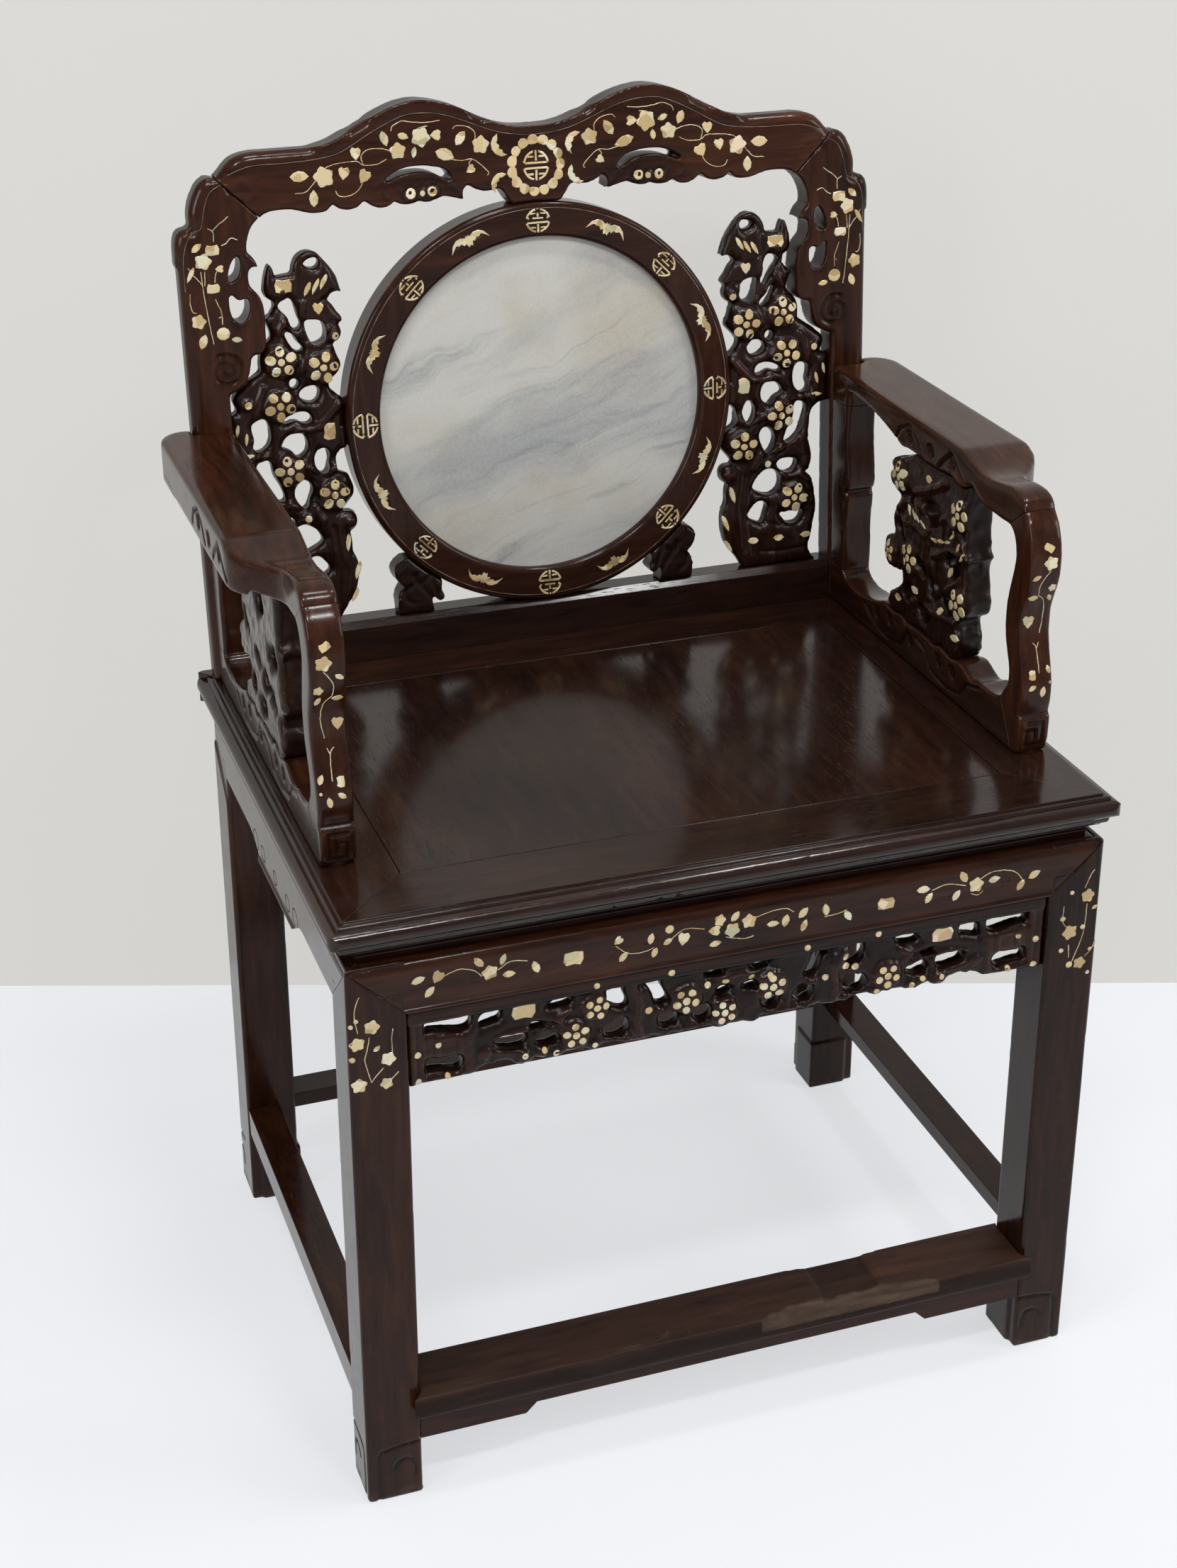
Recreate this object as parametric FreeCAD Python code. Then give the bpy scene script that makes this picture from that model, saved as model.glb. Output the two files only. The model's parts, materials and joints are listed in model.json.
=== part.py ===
import FreeCAD, Part
import math
import os

from FreeCAD import Vector

# Armchair with a square frame, a round marble panel in the back and pierced carvings.
# Millimetres. X to the sitter's left, Y towards the back, Z up. The origin is on the floor, at the middle of
# the chair's box.

# Overall sizes
seat_height = 510.0
seat_width = 614.0
seat_depth = 468.0
back_inset = 11.0
back_rake_deg = 4.0
clearance = 0.2
overrun = 60.0
middle_reach = 1.2

# Seat frame
rail_thickness = 26.0
rail_face = 68.5
rear_rail_face = 73.0
moulding_reach = 12.5
moulding_step = 1.6
corner_round = 9.0
groove_depth = 6.0
groove_height = 5.0
panel_gap = 0.8
panel_thickness = 10.0
panel_drop = 0.3
batten_width = 30.0
batten_spacing = 190.0
batten_tenon = 9.0

# Waist and aprons
waist_height = 10.0
waist_thickness = 13.0
waist_setback = 11.0
waist_bead = 1.5
apron_height = 42.0
apron_thickness = 22.0
apron_shoulder = 8.0
bead_size = 4.0
side_apron_drop = 16.0
scroll_radius = 9.0
scroll_groove = 1.2
scroll_depth = 1.0

# Legs
leg_side = 43.5
leg_inset_side = 7.0
leg_inset_front = 4.0
leg_lean_side = 3.8
leg_lean_front = 2.0
leg_round = 2.0
leg_tenon_side = 20.0
leg_tenon_length = 18.0
foot_height = 50.0
foot_step = 2.5
foot_groove_depth = 1.0
foot_border = 10.0

# Frieze under the front apron
frieze_height = 64.0
frieze_thickness = 16.0
frieze_setback = 6.0
frieze_rail_height = 13.0
frieze_rail_proud = 1.5
frieze_tongue = 5.0

# Footrest and stretchers
footrest_top = 97.0
footrest_thickness = 20.0
footrest_width = 54.0
footrest_proud = 8.0
footrest_lap = 7.0
footrest_round = 4.0
strip_setback = 1.0
wear_length = 150.0
wear_depth = 2.5
wear_offset = 105.0
strip_thickness = 13.0
strip_height = 16.0
strip_end_drop = 9.0
strip_end_length = 85.0
stretcher_top = 99.0
stretcher_width = 28.0
stretcher_thickness = 14.0
stretcher_lip_height = 25.0
stretcher_lip_width = 10.0
stretcher_setback = 1.5
rear_stretcher_setback = 5.0
tenon_length = 17.0
tenon_width = 16.0
tenon_height = 8.0

# Back frame
back_thickness = 26.0
stile_face = 34.0
stile_edge_share = 0.975
crest_low = 366.0
crest_zone = 92.2
bracket_width = 81.0
bracket_low = 230.5
bracket_zone = 185.5
lower_rail_height = 34.5
lower_rail_chamfer = 5.5
volute_radius = 14.0
volute_groove = 1.8
volute_depth = 1.5
crest_tenon = 12.0
crest_tenon_width = 14.0
crest_tenon_thickness = 8.0
stile_tenon_width = 16.0
stile_tenon_length = 20.0
rail_tenon = 14.0

# Ring and disc
ring_radius = 168.5
ring_opening = 140.0
ring_housing = 1.2
ring_round = 4.0
ring_lip = 7.0
ring_rebate = 6.0
disc_thickness = 10.0
board_thickness = 8.0
ring_tongue = 12.0
ring_tongue_width = 9.0
ring_tongue_thickness = 7.0
foot_zone_height = 56.0
foot_zone_width = 48.0
foot_zone_inner = 90.0
ring_foot_thickness = 22.0
ring_foot_setback = 2.0

# Carved side panels
panel_tuck = 18.5
carved_height = 311.0
carved_thickness = 19.0
carved_setback = 5.5
panel_tongue = 6.0
panel_tongue_width = 20.0
panel_tongue_thickness = 7.0

# Arms
arm_thickness = 27.0
arm_inset = 17.0
arm_overhang = 32.0
arm_setback = 88.2
arm_zone_height = 212.0
arm_lip_width = 12.0
arm_lip_drop = 9.0
arm_tenon = 14.0
arm_tenon_width = 12.0
arm_tenon_thickness = 10.0
post_tenon_length = 16.0
splat_start = 56.0
splat_rear = 97.0
splat_low = 42.0
splat_zone = 148.0
splat_tongue_length = 6.0

# Mother-of-pearl and pegs
pearl_thickness = 0.7
pearl_proud = 0.2
dot_radius = 3.0
leaf_length = 14.0
leaf_width = 5.0
petal_radius = 4.3
petal_spread = 8.2
centre_radius = 3.6
petal_count = 5
medallion_radius = 9.5
medallion_bar = 1.5
leg_pearl_drop = 30.0
leg_pearl_zone = 72.0
post_pearl_low_share = 0.22
post_pearl_high_share = 0.84
bat_span = 32.0
peg_radius = 3.0
peg_length = 20.0

half_width = seat_width / 2
half_depth = seat_depth / 2
rake = math.radians(back_rake_deg)
apron_top = seat_height - rail_thickness - waist_height
apron_bottom = apron_top - apron_height
leg_pearl_low = apron_top - leg_pearl_drop - leg_pearl_zone
leg_x = half_width - leg_inset_side
leg_y = half_depth - leg_inset_front
leg_top_x = leg_x - leg_lean_side
leg_top_y = leg_y - leg_lean_front
back_half = half_width - back_inset
back_y = half_depth - back_thickness - panel_gap
stile_inner = back_half - stile_face
bracket_inner = back_half - bracket_width
panel_inner = ring_radius - panel_tuck
panel_reach = stile_inner - panel_inner
arm_outer = half_width - arm_inset
arm_inner = arm_outer - arm_thickness
arm_zone_y = arm_setback - half_depth
arm_reach = back_y - arm_zone_y
arm_wide = arm_outer + arm_overhang
splat_y = arm_zone_y + splat_start
splat_reach = arm_reach - splat_start - splat_rear
stile_outer = bracket_inner + stile_edge_share * bracket_width


# Outline helpers. A chain is a list of runs, each a list of points; a run of one new point is a straight line
# and a longer run is one smooth curve.
def curve_edge(points):
    if len(points) == 2:
        return Part.makeLine(points[0], points[1])
    curve = Part.BSplineCurve()
    curve.interpolate(points)
    return curve.toShape()


def chain_face(place, chain):
    edges = []
    start = place(chain[0][0])
    last = start
    for number, run in enumerate(chain):
        points = [place(point) for point in (run[1:] if number == 0 else run)]
        edges.append(curve_edge([last] + points))
        last = points[-1]
    if (last - start).Length > clearance / 2:
        edges.append(Part.makeLine(last, start))
    return Part.Face(Part.Wire(edges))


def loop_face(place, points):
    curve = Part.BSplineCurve()
    curve.interpolate(Points=[place(point) for point in points], PeriodicFlag=True)
    return Part.Face(Part.Wire([curve.toShape()]))


def polygon_face(points):
    return Part.Face(Part.makePolygon(list(points) + [points[0]]))


def block(low, high):
    size = high - low
    return Part.makeBox(size.x, size.y, size.z, low)


def middle_edges(shape, front):
    # The long edges of a front face, which are centred on the chair's middle.
    found = []
    for edge in shape.Edges:
        middle = edge.CenterOfMass
        if abs(middle.y - front) < clearance and abs(middle.x) < middle_reach:
            found.append(edge)
    return found


def mirrored(shape):
    return shape.mirror(Vector(0, 0, 0), Vector(1, 0, 0))


def turned(shape, centre, axis, degrees):
    copy = shape.copy()
    copy.rotate(centre, axis, degrees)
    return copy


def moved(shape, offset):
    copy = shape.copy()
    copy.translate(offset)
    return copy


def lean_back(shape):
    # From the back's own upright frame to its place on the seat.
    copy = turned(shape, Vector(0, 0, 0), Vector(1, 0, 0), -back_rake_deg)
    copy.translate(Vector(0, back_y, seat_height))
    return copy


def above_seat(shape):
    low = Vector(-seat_width, -seat_depth, -overrun)
    return shape.cut(block(low, Vector(seat_width, seat_depth, seat_height)))


def rail_profile(place):
    # u goes out from the flat's edge, v goes down from the top.
    reach = moulding_reach
    deep = rail_thickness
    bead_shares = [(0.12, 0.06), (0.30, 0.07), (0.36, 0.16)]
    nose_shares = [(0.62, 0.17), (0.98, 0.33), (0.98, 0.48), (0.55, 0.66)]
    ogee_shares = [(0.40, 0.72), (0.34, 0.84), (0.05, 0.92)]
    chain = [[(0, 0), (0, moulding_step)]]
    for shares in (bead_shares, nose_shares, ogee_shares):
        chain.append([(u * reach, v * deep) for u, v in shares])
    chain.append([(0, deep)])
    chain.append([(-(rail_face - moulding_reach), deep)])
    chain.append([(-(rail_face - moulding_reach), 0)])
    return chain_face(place, chain)


def seat_blank():
    # The frame's plan with its rounded corners, used to trim the mouldings.
    low = Vector(-half_width, -half_depth, seat_height - rail_thickness - overrun)
    high = Vector(half_width, half_depth, seat_height + overrun)
    solid = block(low, high)
    corners = [e for e in solid.Edges if abs(e.tangentAt(e.FirstParameter).z) > math.cos(rake)]
    return solid.makeFillet(corner_round, corners)


def front_rail():
    edge = -half_depth + moulding_reach

    def place(point):
        return Vector(-half_width - overrun, edge - point[0], seat_height - point[1])

    bar = rail_profile(place).extrude(Vector(seat_width + 2 * overrun, 0, 0))
    return bar.common(front_wedge(1, -1)).common(seat_blank())


def side_rail(side):
    edge = half_width - moulding_reach

    def place(point):
        return Vector(side * (edge + point[0]), -half_depth - overrun, seat_height - point[1])

    bar = rail_profile(place).extrude(Vector(0, seat_depth + 2 * overrun, 0))
    bar = bar.cut(front_wedge(1, -1)).cut(rear_wedge())
    return bar.common(seat_blank())


def rear_rail():
    low = Vector(-half_width, half_depth - rear_rail_face, seat_height - rail_thickness)
    bar = block(low, Vector(half_width, half_depth, seat_height))
    return bar.common(rear_wedge()).common(seat_blank())


def front_wedge(spread, sign):
    # Everything in front of the two front mitre lines.
    inner_x = half_width - rail_face
    inner_y = half_depth - rail_face
    outer = overrun * spread
    low = Vector(0, 0, seat_height - rail_thickness - overrun)
    points = [
        Vector(-inner_x, sign * inner_y, 0),
        Vector(-half_width - outer, sign * (half_depth + outer), 0),
        Vector(half_width + outer, sign * (half_depth + outer), 0),
        Vector(inner_x, sign * inner_y, 0),
    ]
    face = polygon_face([point + low for point in points])
    return face.extrude(Vector(0, 0, rail_thickness + 2 * overrun))


def rear_wedge():
    inner_x = half_width - rail_face
    inner_y = half_depth - rear_rail_face
    slope = rear_rail_face / rail_face
    low = Vector(0, 0, seat_height - rail_thickness - overrun)
    points = [
        Vector(-inner_x, inner_y, 0),
        Vector(-half_width - overrun, half_depth + overrun * slope, 0),
        Vector(half_width + overrun, half_depth + overrun * slope, 0),
        Vector(inner_x, inner_y, 0),
    ]
    face = polygon_face([point + low for point in points])
    return face.extrude(Vector(0, 0, rail_thickness + 2 * overrun))


def seat_opening():
    inner_x = half_width - rail_face
    return Vector(-inner_x, -half_depth + rail_face, 0), Vector(inner_x, half_depth - rear_rail_face, 0)


def seat_panel():
    low, high = seat_opening()
    top = seat_height - panel_drop
    gap = Vector(panel_gap, panel_gap, 0)
    board = block(low + gap + Vector(0, 0, top - panel_thickness), high - gap + Vector(0, 0, top))
    return board.fuse(tongue_block(-clearance)).removeSplitter()


def tongue_block(slack):
    # The panel's tongue, or the groove it slides in where slack is positive.
    low, high = seat_opening()
    depth = groove_depth + slack
    middle = seat_height - panel_drop - panel_thickness / 2
    half = groove_height / 2 + slack / 2
    edge = Vector(depth, depth, 0)
    return block(low - edge + Vector(0, 0, middle - half), high + edge + Vector(0, 0, middle + half))


def batten_blocks(slack):
    low, high = seat_opening()
    top = seat_height - panel_drop - panel_thickness
    bottom = seat_height - rail_thickness + panel_gap
    solids = []
    for side in (-1, 1):
        left = side * batten_spacing / 2 - batten_width / 2
        corner = Vector(left + batten_width, high.y - clearance, top)
        body = block(Vector(left, low.y + clearance, bottom), corner)
        inset = Vector(waist_bead, 0, waist_bead)
        start = Vector(left, low.y - batten_tenon - slack, bottom) + inset
        end = Vector(left + batten_width, high.y + batten_tenon + slack, top) - inset
        solids.append(body.fuse(grow_sides(start, end, slack)))
    return Part.makeCompound(solids)


def grow_sides(low, high, amount):
    extra = Vector(amount, 0, amount)
    return block(low - extra, high + extra)


# Waist, aprons and legs
def waist_strip(length, face_out):
    # A strip along X with its face on the plane Y = face_out, before it is turned to its side of the seat.
    low = Vector(-length / 2, -face_out, apron_top)
    strip = block(low, Vector(length / 2, -face_out + waist_thickness, apron_top + waist_height))
    middle = Vector(-length / 2, -face_out, apron_top + waist_height / 2)
    bead = Part.makeCylinder(waist_bead, length, middle, Vector(1, 0, 0))
    return strip.fuse(bead)


def waists():
    front_face = leg_top_y - waist_setback
    side_face = leg_top_x - waist_setback
    front = waist_strip(2 * side_face, front_face)
    rear = turned(front, Vector(0, 0, 0), Vector(0, 0, 1), 180)
    left = turned(waist_strip(2 * (front_face - waist_thickness), side_face), Vector(), Vector(0, 0, 1), 90)
    right = turned(left, Vector(), Vector(0, 0, 1), 180)
    left = left.cut(front).cut(rear)
    right = right.cut(front).cut(rear)
    return {"waist_front": front, "waist_rear": rear, "waist_left": left, "waist_right": right}


def apron_profile(face_out, drop, start):
    # Section in Y and Z at X = start: rounded shoulder at the top, a bead along the lower edge.
    bottom = apron_bottom - drop
    back = -face_out + apron_thickness
    shoulder = [(-face_out, apron_top - apron_shoulder)]
    round_off = apron_shoulder * (1 - math.sqrt(0.5))
    curve = [(-face_out + round_off, apron_top - round_off), (-face_out + apron_shoulder, apron_top)]
    bead = [
        (-face_out - bead_size / 4, bottom + bead_size / 2),
        (-face_out + bead_size / 8, bottom + bead_size),
    ]
    chain = [[(back, apron_top), (back, bottom)], [(-face_out, bottom)], bead, shoulder, curve]
    return chain_face(lambda point: Vector(start, point[0], point[1]), chain)


def mitre_cut(half_length, face_out, drop):
    # What is left of an apron between its sloping mitres and inside the corner's upright mitres.
    reach = overrun * 2
    rise = apron_height / leg_side
    top = apron_top + overrun
    bottom = apron_bottom - drop - overrun
    inner = half_length - leg_side
    points = [
        Vector(-half_length - overrun, 0, apron_top + overrun * rise),
        Vector(-inner, 0, apron_bottom),
        Vector(-inner, 0, bottom),
        Vector(inner, 0, bottom),
        Vector(inner, 0, apron_bottom),
        Vector(half_length + overrun, 0, apron_top + overrun * rise),
        Vector(half_length + overrun, 0, top + overrun * rise),
        Vector(-half_length - overrun, 0, top + overrun * rise),
    ]
    upright = polygon_face([point + Vector(0, -face_out - reach, 0) for point in points])
    upright = upright.extrude(Vector(0, 2 * reach, 0))
    plan = polygon_face([
        Vector(-half_length - reach, -face_out - reach, bottom),
        Vector(half_length + reach, -face_out - reach, bottom),
        Vector(half_length - reach, -face_out + reach, bottom),
        Vector(-half_length + reach, -face_out + reach, bottom),
    ])
    return upright.common(plan.extrude(Vector(0, 0, top + 2 * overrun - bottom)))


def apron(half_length, face_out, drop):
    start = -half_length - overrun
    bar = apron_profile(face_out, drop, start).extrude(Vector(2 * (half_length + overrun), 0, 0))
    return bar.common(mitre_cut(half_length, face_out, drop))


def side_apron():
    # The lower edge drops in the middle, between two pairs of small scrolls.
    board = apron(leg_top_y, leg_top_x, side_apron_drop)
    length = 2 * (leg_top_y - leg_side)
    edge_shares = [
        (0.0, 1.0), (0.22, 1.0), (0.30, 0.72), (0.34, 0.12), (0.5, 0.0), (0.66, 0.12), (0.70, 0.72),
        (0.78, 1.0), (1.0, 1.0),
    ]

    def place(point):
        drop = (1 - point[1]) * side_apron_drop
        return Vector((point[0] - 0.5) * length, -leg_top_x - overrun, apron_bottom - drop)

    points = [place(share) for share in edge_shares]
    below = Vector(0, 0, -overrun)
    edges = [Part.makeLine(points[0], points[1]), curve_edge(points[1:4]), curve_edge(points[3:6])]
    edges += [curve_edge(points[5:8]), Part.makeLine(points[7], points[8])]
    edges.append(Part.makeLine(points[8], points[8] + below))
    edges.append(Part.makeLine(points[8] + below, points[0] + below))
    edges.append(Part.makeLine(points[0] + below, points[0]))
    waste = Part.Face(Part.Wire(edges)).extrude(Vector(0, 2 * overrun + leg_side, 0))
    board = board.cut(waste)
    for share, size in ((0.315, 1.0), (0.385, 0.8), (0.5, 0.7), (0.615, 0.8), (0.685, 1.0)):
        centre = place((share, 0.95)) + Vector(0, overrun, 0)
        line = scroll_line(centre, Vector(0, 1, 0), scroll_radius * size, scroll_groove, scroll_depth)
        board = board.cut(line)
    return board


def scroll_line(centre, axis, radius, width, depth):
    # An incised ring, cut to the given depth around a point of the face.
    outer = Part.makeCylinder(radius, 2 * depth, centre - axis * depth, axis)
    return outer.cut(Part.makeCylinder(radius - width, 2 * depth, centre - axis * depth, axis))


def tapered(low, high):
    # A solid with flat sides between two outlines of four points.
    faces = [polygon_face(low), polygon_face(high)]
    for number in range(len(low)):
        after = (number + 1) % len(low)
        faces.append(polygon_face([low[number], low[after], high[after], high[number]]))
    return Part.Solid(Part.Shell(faces))


def leg(sign_x, sign_y):
    def square(outer_x, outer_y, z):
        inner_x = outer_x - leg_side
        inner_y = outer_y - leg_side
        corners = [(outer_x, outer_y), (inner_x, outer_y), (inner_x, inner_y), (outer_x, inner_y)]
        return [Vector(sign_x * x, sign_y * y, z) for x, y in corners[:: -sign_x * sign_y]]

    column = tapered(square(leg_x, leg_y, 0), square(leg_top_x, leg_top_y, apron_top))
    column = column.makeFillet(leg_round, [e for e in column.Edges if e.Length > apron_top - clearance])
    middle_x = sign_x * (leg_top_x - waist_setback - waist_thickness - leg_tenon_side / 2)
    middle_y = sign_y * (leg_top_y - waist_setback - waist_thickness - leg_tenon_side / 2)
    half = Vector(leg_tenon_side / 2, leg_tenon_side / 2, 0)
    root = Vector(middle_x, middle_y, apron_top)
    top = seat_height - rail_thickness + leg_tenon_length
    tenon = block(root - half, root + half + Vector(0, 0, top - apron_top))
    return column.fuse(tenon).fuse(foot_block(sign_x, sign_y)).cut(foot_grooves(sign_x, sign_y))


def leg_mortise(sign_x, sign_y):
    middle_x = sign_x * (leg_top_x - waist_setback - waist_thickness - leg_tenon_side / 2)
    middle_y = sign_y * (leg_top_y - waist_setback - waist_thickness - leg_tenon_side / 2)
    half = Vector(leg_tenon_side / 2 + clearance, leg_tenon_side / 2 + clearance, 0)
    root = Vector(middle_x, middle_y, seat_height - rail_thickness)
    return block(root - half, root + half + Vector(0, 0, leg_tenon_length + clearance))


def foot_block(sign_x, sign_y):
    inner_x = leg_x - leg_side - foot_step
    inner_y = leg_y - leg_side - foot_step
    span_x = sorted([sign_x * inner_x, sign_x * (leg_x - foot_border)])
    span_y = sorted([sign_y * inner_y, sign_y * (leg_y - foot_border)])
    low = Vector(span_x[0], span_y[0], 0)
    high = Vector(span_x[1], span_y[1], foot_height)
    return block(low, high)


def foot_grooves(sign_x, sign_y):
    # An incised square scroll on the front or rear face and on the outer side face.
    cuts = []
    width = leg_side + foot_step - foot_border
    line_shares = [
        ((0.0, 0.94), (1.0, 1.0)),
        ((0.0, 0.0), (0.05, 1.0)),
        ((0.35, 0.62), (0.80, 0.66)),
        ((0.76, 0.25), (0.80, 0.66)),
        ((0.35, 0.45), (0.39, 0.66)),
    ]
    for (u0, v0), (u1, v1) in line_shares:
        reach0 = leg_x - foot_border - u1 * width
        reach1 = leg_x - foot_border - u0 * width
        low_x, high_x = sorted((sign_x * reach0, sign_x * reach1))
        face_y = sorted((sign_y * (leg_y - foot_groove_depth), sign_y * (leg_y + overrun)))
        corner = Vector(low_x, face_y[0], v0 * foot_height)
        cuts.append(block(corner, Vector(high_x, face_y[1], v1 * foot_height)))
        reach0 = leg_y - foot_border - u1 * width
        reach1 = leg_y - foot_border - u0 * width
        low_y, high_y = sorted((sign_y * reach0, sign_y * reach1))
        face_x = sorted((sign_x * (leg_x - foot_groove_depth), sign_x * (leg_x + overrun)))
        corner = Vector(face_x[0], low_y, v0 * foot_height)
        cuts.append(block(corner, Vector(face_x[1], high_y, v1 * foot_height)))
    return Part.makeCompound(cuts)


# Frieze: a moulded top rail with square scrolls at the ends and pierced branches between them.
frieze_edge_shares = [
    [(0.20, 0.0), (0.22, 0.05), (0.25, 0.09), (0.32, 0.07)],
    [(0.33, 0.01), (0.35, -0.01), (0.37, 0.01), (0.38, 0.06)],
    [(0.44, 0.03), (0.50, 0.05), (0.56, 0.03)],
    [(0.62, 0.06), (0.68, 0.02), (0.74, 0.05)],
    [(0.80, 0.03), (0.86, 0.06), (0.92, 0.03)],
    [(0.95, -0.01), (0.98, 0.0), (1.0, 0.04)],
]
frieze_hole_shares = [
    [(0.07, 0.63), (0.14, 0.62), (0.20, 0.64), (0.20, 0.77), (0.14, 0.78), (0.07, 0.77)],
    [(0.07, 0.13), (0.12, 0.12), (0.17, 0.13), (0.17, 0.27), (0.12, 0.28), (0.07, 0.27)],
    [(0.225, 0.55), (0.25, 0.60), (0.29, 0.66), (0.285, 0.76), (0.25, 0.76), (0.225, 0.68)],
    [(0.42, 0.66), (0.46, 0.65), (0.50, 0.72), (0.49, 0.78), (0.45, 0.77)],
    [(0.36, 0.44), (0.40, 0.43), (0.44, 0.45), (0.41, 0.49), (0.37, 0.49)],
    [(0.27, 0.28), (0.31, 0.24), (0.36, 0.27), (0.36, 0.38), (0.32, 0.42), (0.27, 0.37)],
    [(0.39, 0.24), (0.43, 0.20), (0.46, 0.26), (0.44, 0.36), (0.40, 0.35)],
    [(0.60, 0.62), (0.635, 0.50), (0.66, 0.48), (0.655, 0.70), (0.645, 0.79), (0.61, 0.78)],
    [(0.59, 0.22), (0.63, 0.12), (0.665, 0.20), (0.66, 0.34), (0.62, 0.36)],
    [(0.70, 0.74), (0.74, 0.60), (0.76, 0.45), (0.785, 0.46), (0.77, 0.66), (0.75, 0.78)],
    [(0.76, 0.20), (0.79, 0.12), (0.82, 0.20), (0.81, 0.32), (0.77, 0.33)],
    [(0.87, 0.18), (0.90, 0.12), (0.92, 0.20), (0.91, 0.32), (0.88, 0.30)],
    [(0.90, 0.70), (0.93, 0.68), (0.96, 0.72), (0.95, 0.79), (0.91, 0.79)],
    [(0.935, 0.44), (0.965, 0.43), (0.985, 0.48), (0.96, 0.53), (0.94, 0.51)],
]


def frieze_place(side):
    inner = leg_x - leg_side
    low = apron_bottom - frieze_height

    def place(point):
        return Vector(side * (1 - point[0]) * inner, -leg_y + frieze_setback, low + point[1] * frieze_height)

    return place


def front_frieze():
    halves = []
    for side in (-1, 1):
        place = frieze_place(side)
        chain = [[(1.0, 1.0), (0, 1.0)], [(0, 0)], [(0.20, 0)], frieze_edge_shares[0][1:]]
        chain += frieze_edge_shares[1:]
        half = chain_face(place, chain).extrude(Vector(0, frieze_thickness, 0))
        for points in frieze_hole_shares:
            hole = loop_face(place, points)
            hole.translate(Vector(0, -overrun, 0))
            half = half.cut(hole.extrude(Vector(0, 2 * overrun, 0)))
        halves.append(half)
    board = halves[0].fuse(halves[1]).removeSplitter()
    inner = leg_x - leg_side
    front = -leg_y + frieze_setback
    low = Vector(-inner, front - frieze_rail_proud, apron_bottom - frieze_rail_height)
    rail = block(low, Vector(inner, front + frieze_thickness, apron_bottom))
    edges = middle_edges(rail, low.y)
    rail = rail.makeFillet(frieze_rail_proud, edges)
    middle = front + frieze_thickness / 2
    start = Vector(-inner + bead_size, middle - frieze_tongue / 2, apron_bottom)
    tongue = block(start, Vector(inner - bead_size, middle + frieze_tongue / 2, apron_bottom + frieze_tongue))
    return board.fuse(rail).fuse(tongue)


def frieze_groove():
    inner = leg_x - leg_side
    middle = -leg_y + frieze_setback + frieze_thickness / 2
    half = frieze_tongue / 2 + clearance
    start = Vector(-inner, middle - half, apron_bottom - clearance)
    return block(start, Vector(inner, middle + half, apron_bottom + frieze_tongue + clearance))


# Footrest and stretchers
def footrest():
    inner = leg_x - leg_side
    front = -leg_y - footrest_proud
    z0 = footrest_top - footrest_thickness
    points = [
        Vector(-inner - footrest_lap, front, z0),
        Vector(inner + footrest_lap, front, z0),
        Vector(inner, -leg_y, z0),
        Vector(inner, front + footrest_width, z0),
        Vector(-inner, front + footrest_width, z0),
        Vector(-inner, -leg_y, z0),
    ]
    board = polygon_face(points).extrude(Vector(0, 0, footrest_thickness))
    edges = middle_edges(board, front)
    board = board.makeFillet(footrest_round, edges)
    # The hollow that feet have worn in the top.
    wear_radius = ((wear_length / 2) ** 2 + wear_depth**2) / (2 * wear_depth)
    start = Vector(wear_offset, front - overrun, footrest_top + wear_radius - wear_depth)
    return board.cut(Part.makeCylinder(wear_radius, footrest_width + 2 * overrun, start, Vector(0, 1, 0)))


def end_tenons(reach, y, z, slack):
    # Tenons at both ends of a piece that runs along X.
    half = Vector(0, tenon_width / 2 + slack, tenon_height / 2 + slack)
    solids = []
    for side in (-1, 1):
        root = reach - leg_lean_side
        ends = sorted((side * root, side * (reach + tenon_length + slack)))
        solids.append(block(Vector(ends[0], y, z) - half, Vector(ends[1], y, z) + half))
    return Part.makeCompound(solids)


def footrest_tenons(slack):
    middle = -leg_y - footrest_proud + footrest_width / 2
    return end_tenons(leg_x - leg_side, middle, footrest_top - footrest_thickness / 2, slack)


def footrest_apron():
    inner = leg_x - leg_side
    front = -leg_y + strip_setback
    top = footrest_top - footrest_thickness
    ends = inner - strip_end_length
    low = top - strip_height
    drop = low - strip_end_drop
    points = [
        (-inner, top), (-inner, drop), (-ends, drop), (-ends + strip_end_drop, low),
        (ends - strip_end_drop, low), (ends, drop), (inner, drop), (inner, top),
    ]
    face = polygon_face([Vector(x, front, z) for x, z in points])
    return face.extrude(Vector(0, strip_thickness, 0))


def stretcher(half, outer):
    # Along X, with its outer face on Y = -outer: a flat bar with a deeper lip outside.
    low = Vector(-half, -outer, stretcher_top - stretcher_thickness)
    bar = block(low, Vector(half, -outer + stretcher_width, stretcher_top))
    lip_low = Vector(-half, -outer, stretcher_top - stretcher_lip_height)
    lip = block(lip_low, Vector(half, -outer + stretcher_lip_width, stretcher_top))
    return bar.fuse(lip).removeSplitter()


def stretcher_set():
    # Each stretcher's bar, its tenons and the mortises they need, turned to its side of the chair.
    middle_z = stretcher_top - stretcher_thickness / 2
    side_outer = leg_x - stretcher_setback
    rear_outer = leg_y - rear_stretcher_setback
    long = leg_x - leg_side
    short = leg_y - leg_side
    result = {}
    for name, half, outer, degrees in (
        ("stretcher_rear", long, rear_outer, 180),
        ("stretcher_left", short, side_outer, 90),
        ("stretcher_right", short, side_outer, -90),
    ):
        middle = -outer + stretcher_width / 2
        shapes = [stretcher(half, outer), end_tenons(half, middle, middle_z, 0)]
        shapes.append(end_tenons(half, middle, middle_z, clearance))
        result[name] = [turned(shape, Vector(), Vector(0, 0, 1), degrees) for shape in shapes]
    return result


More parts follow.
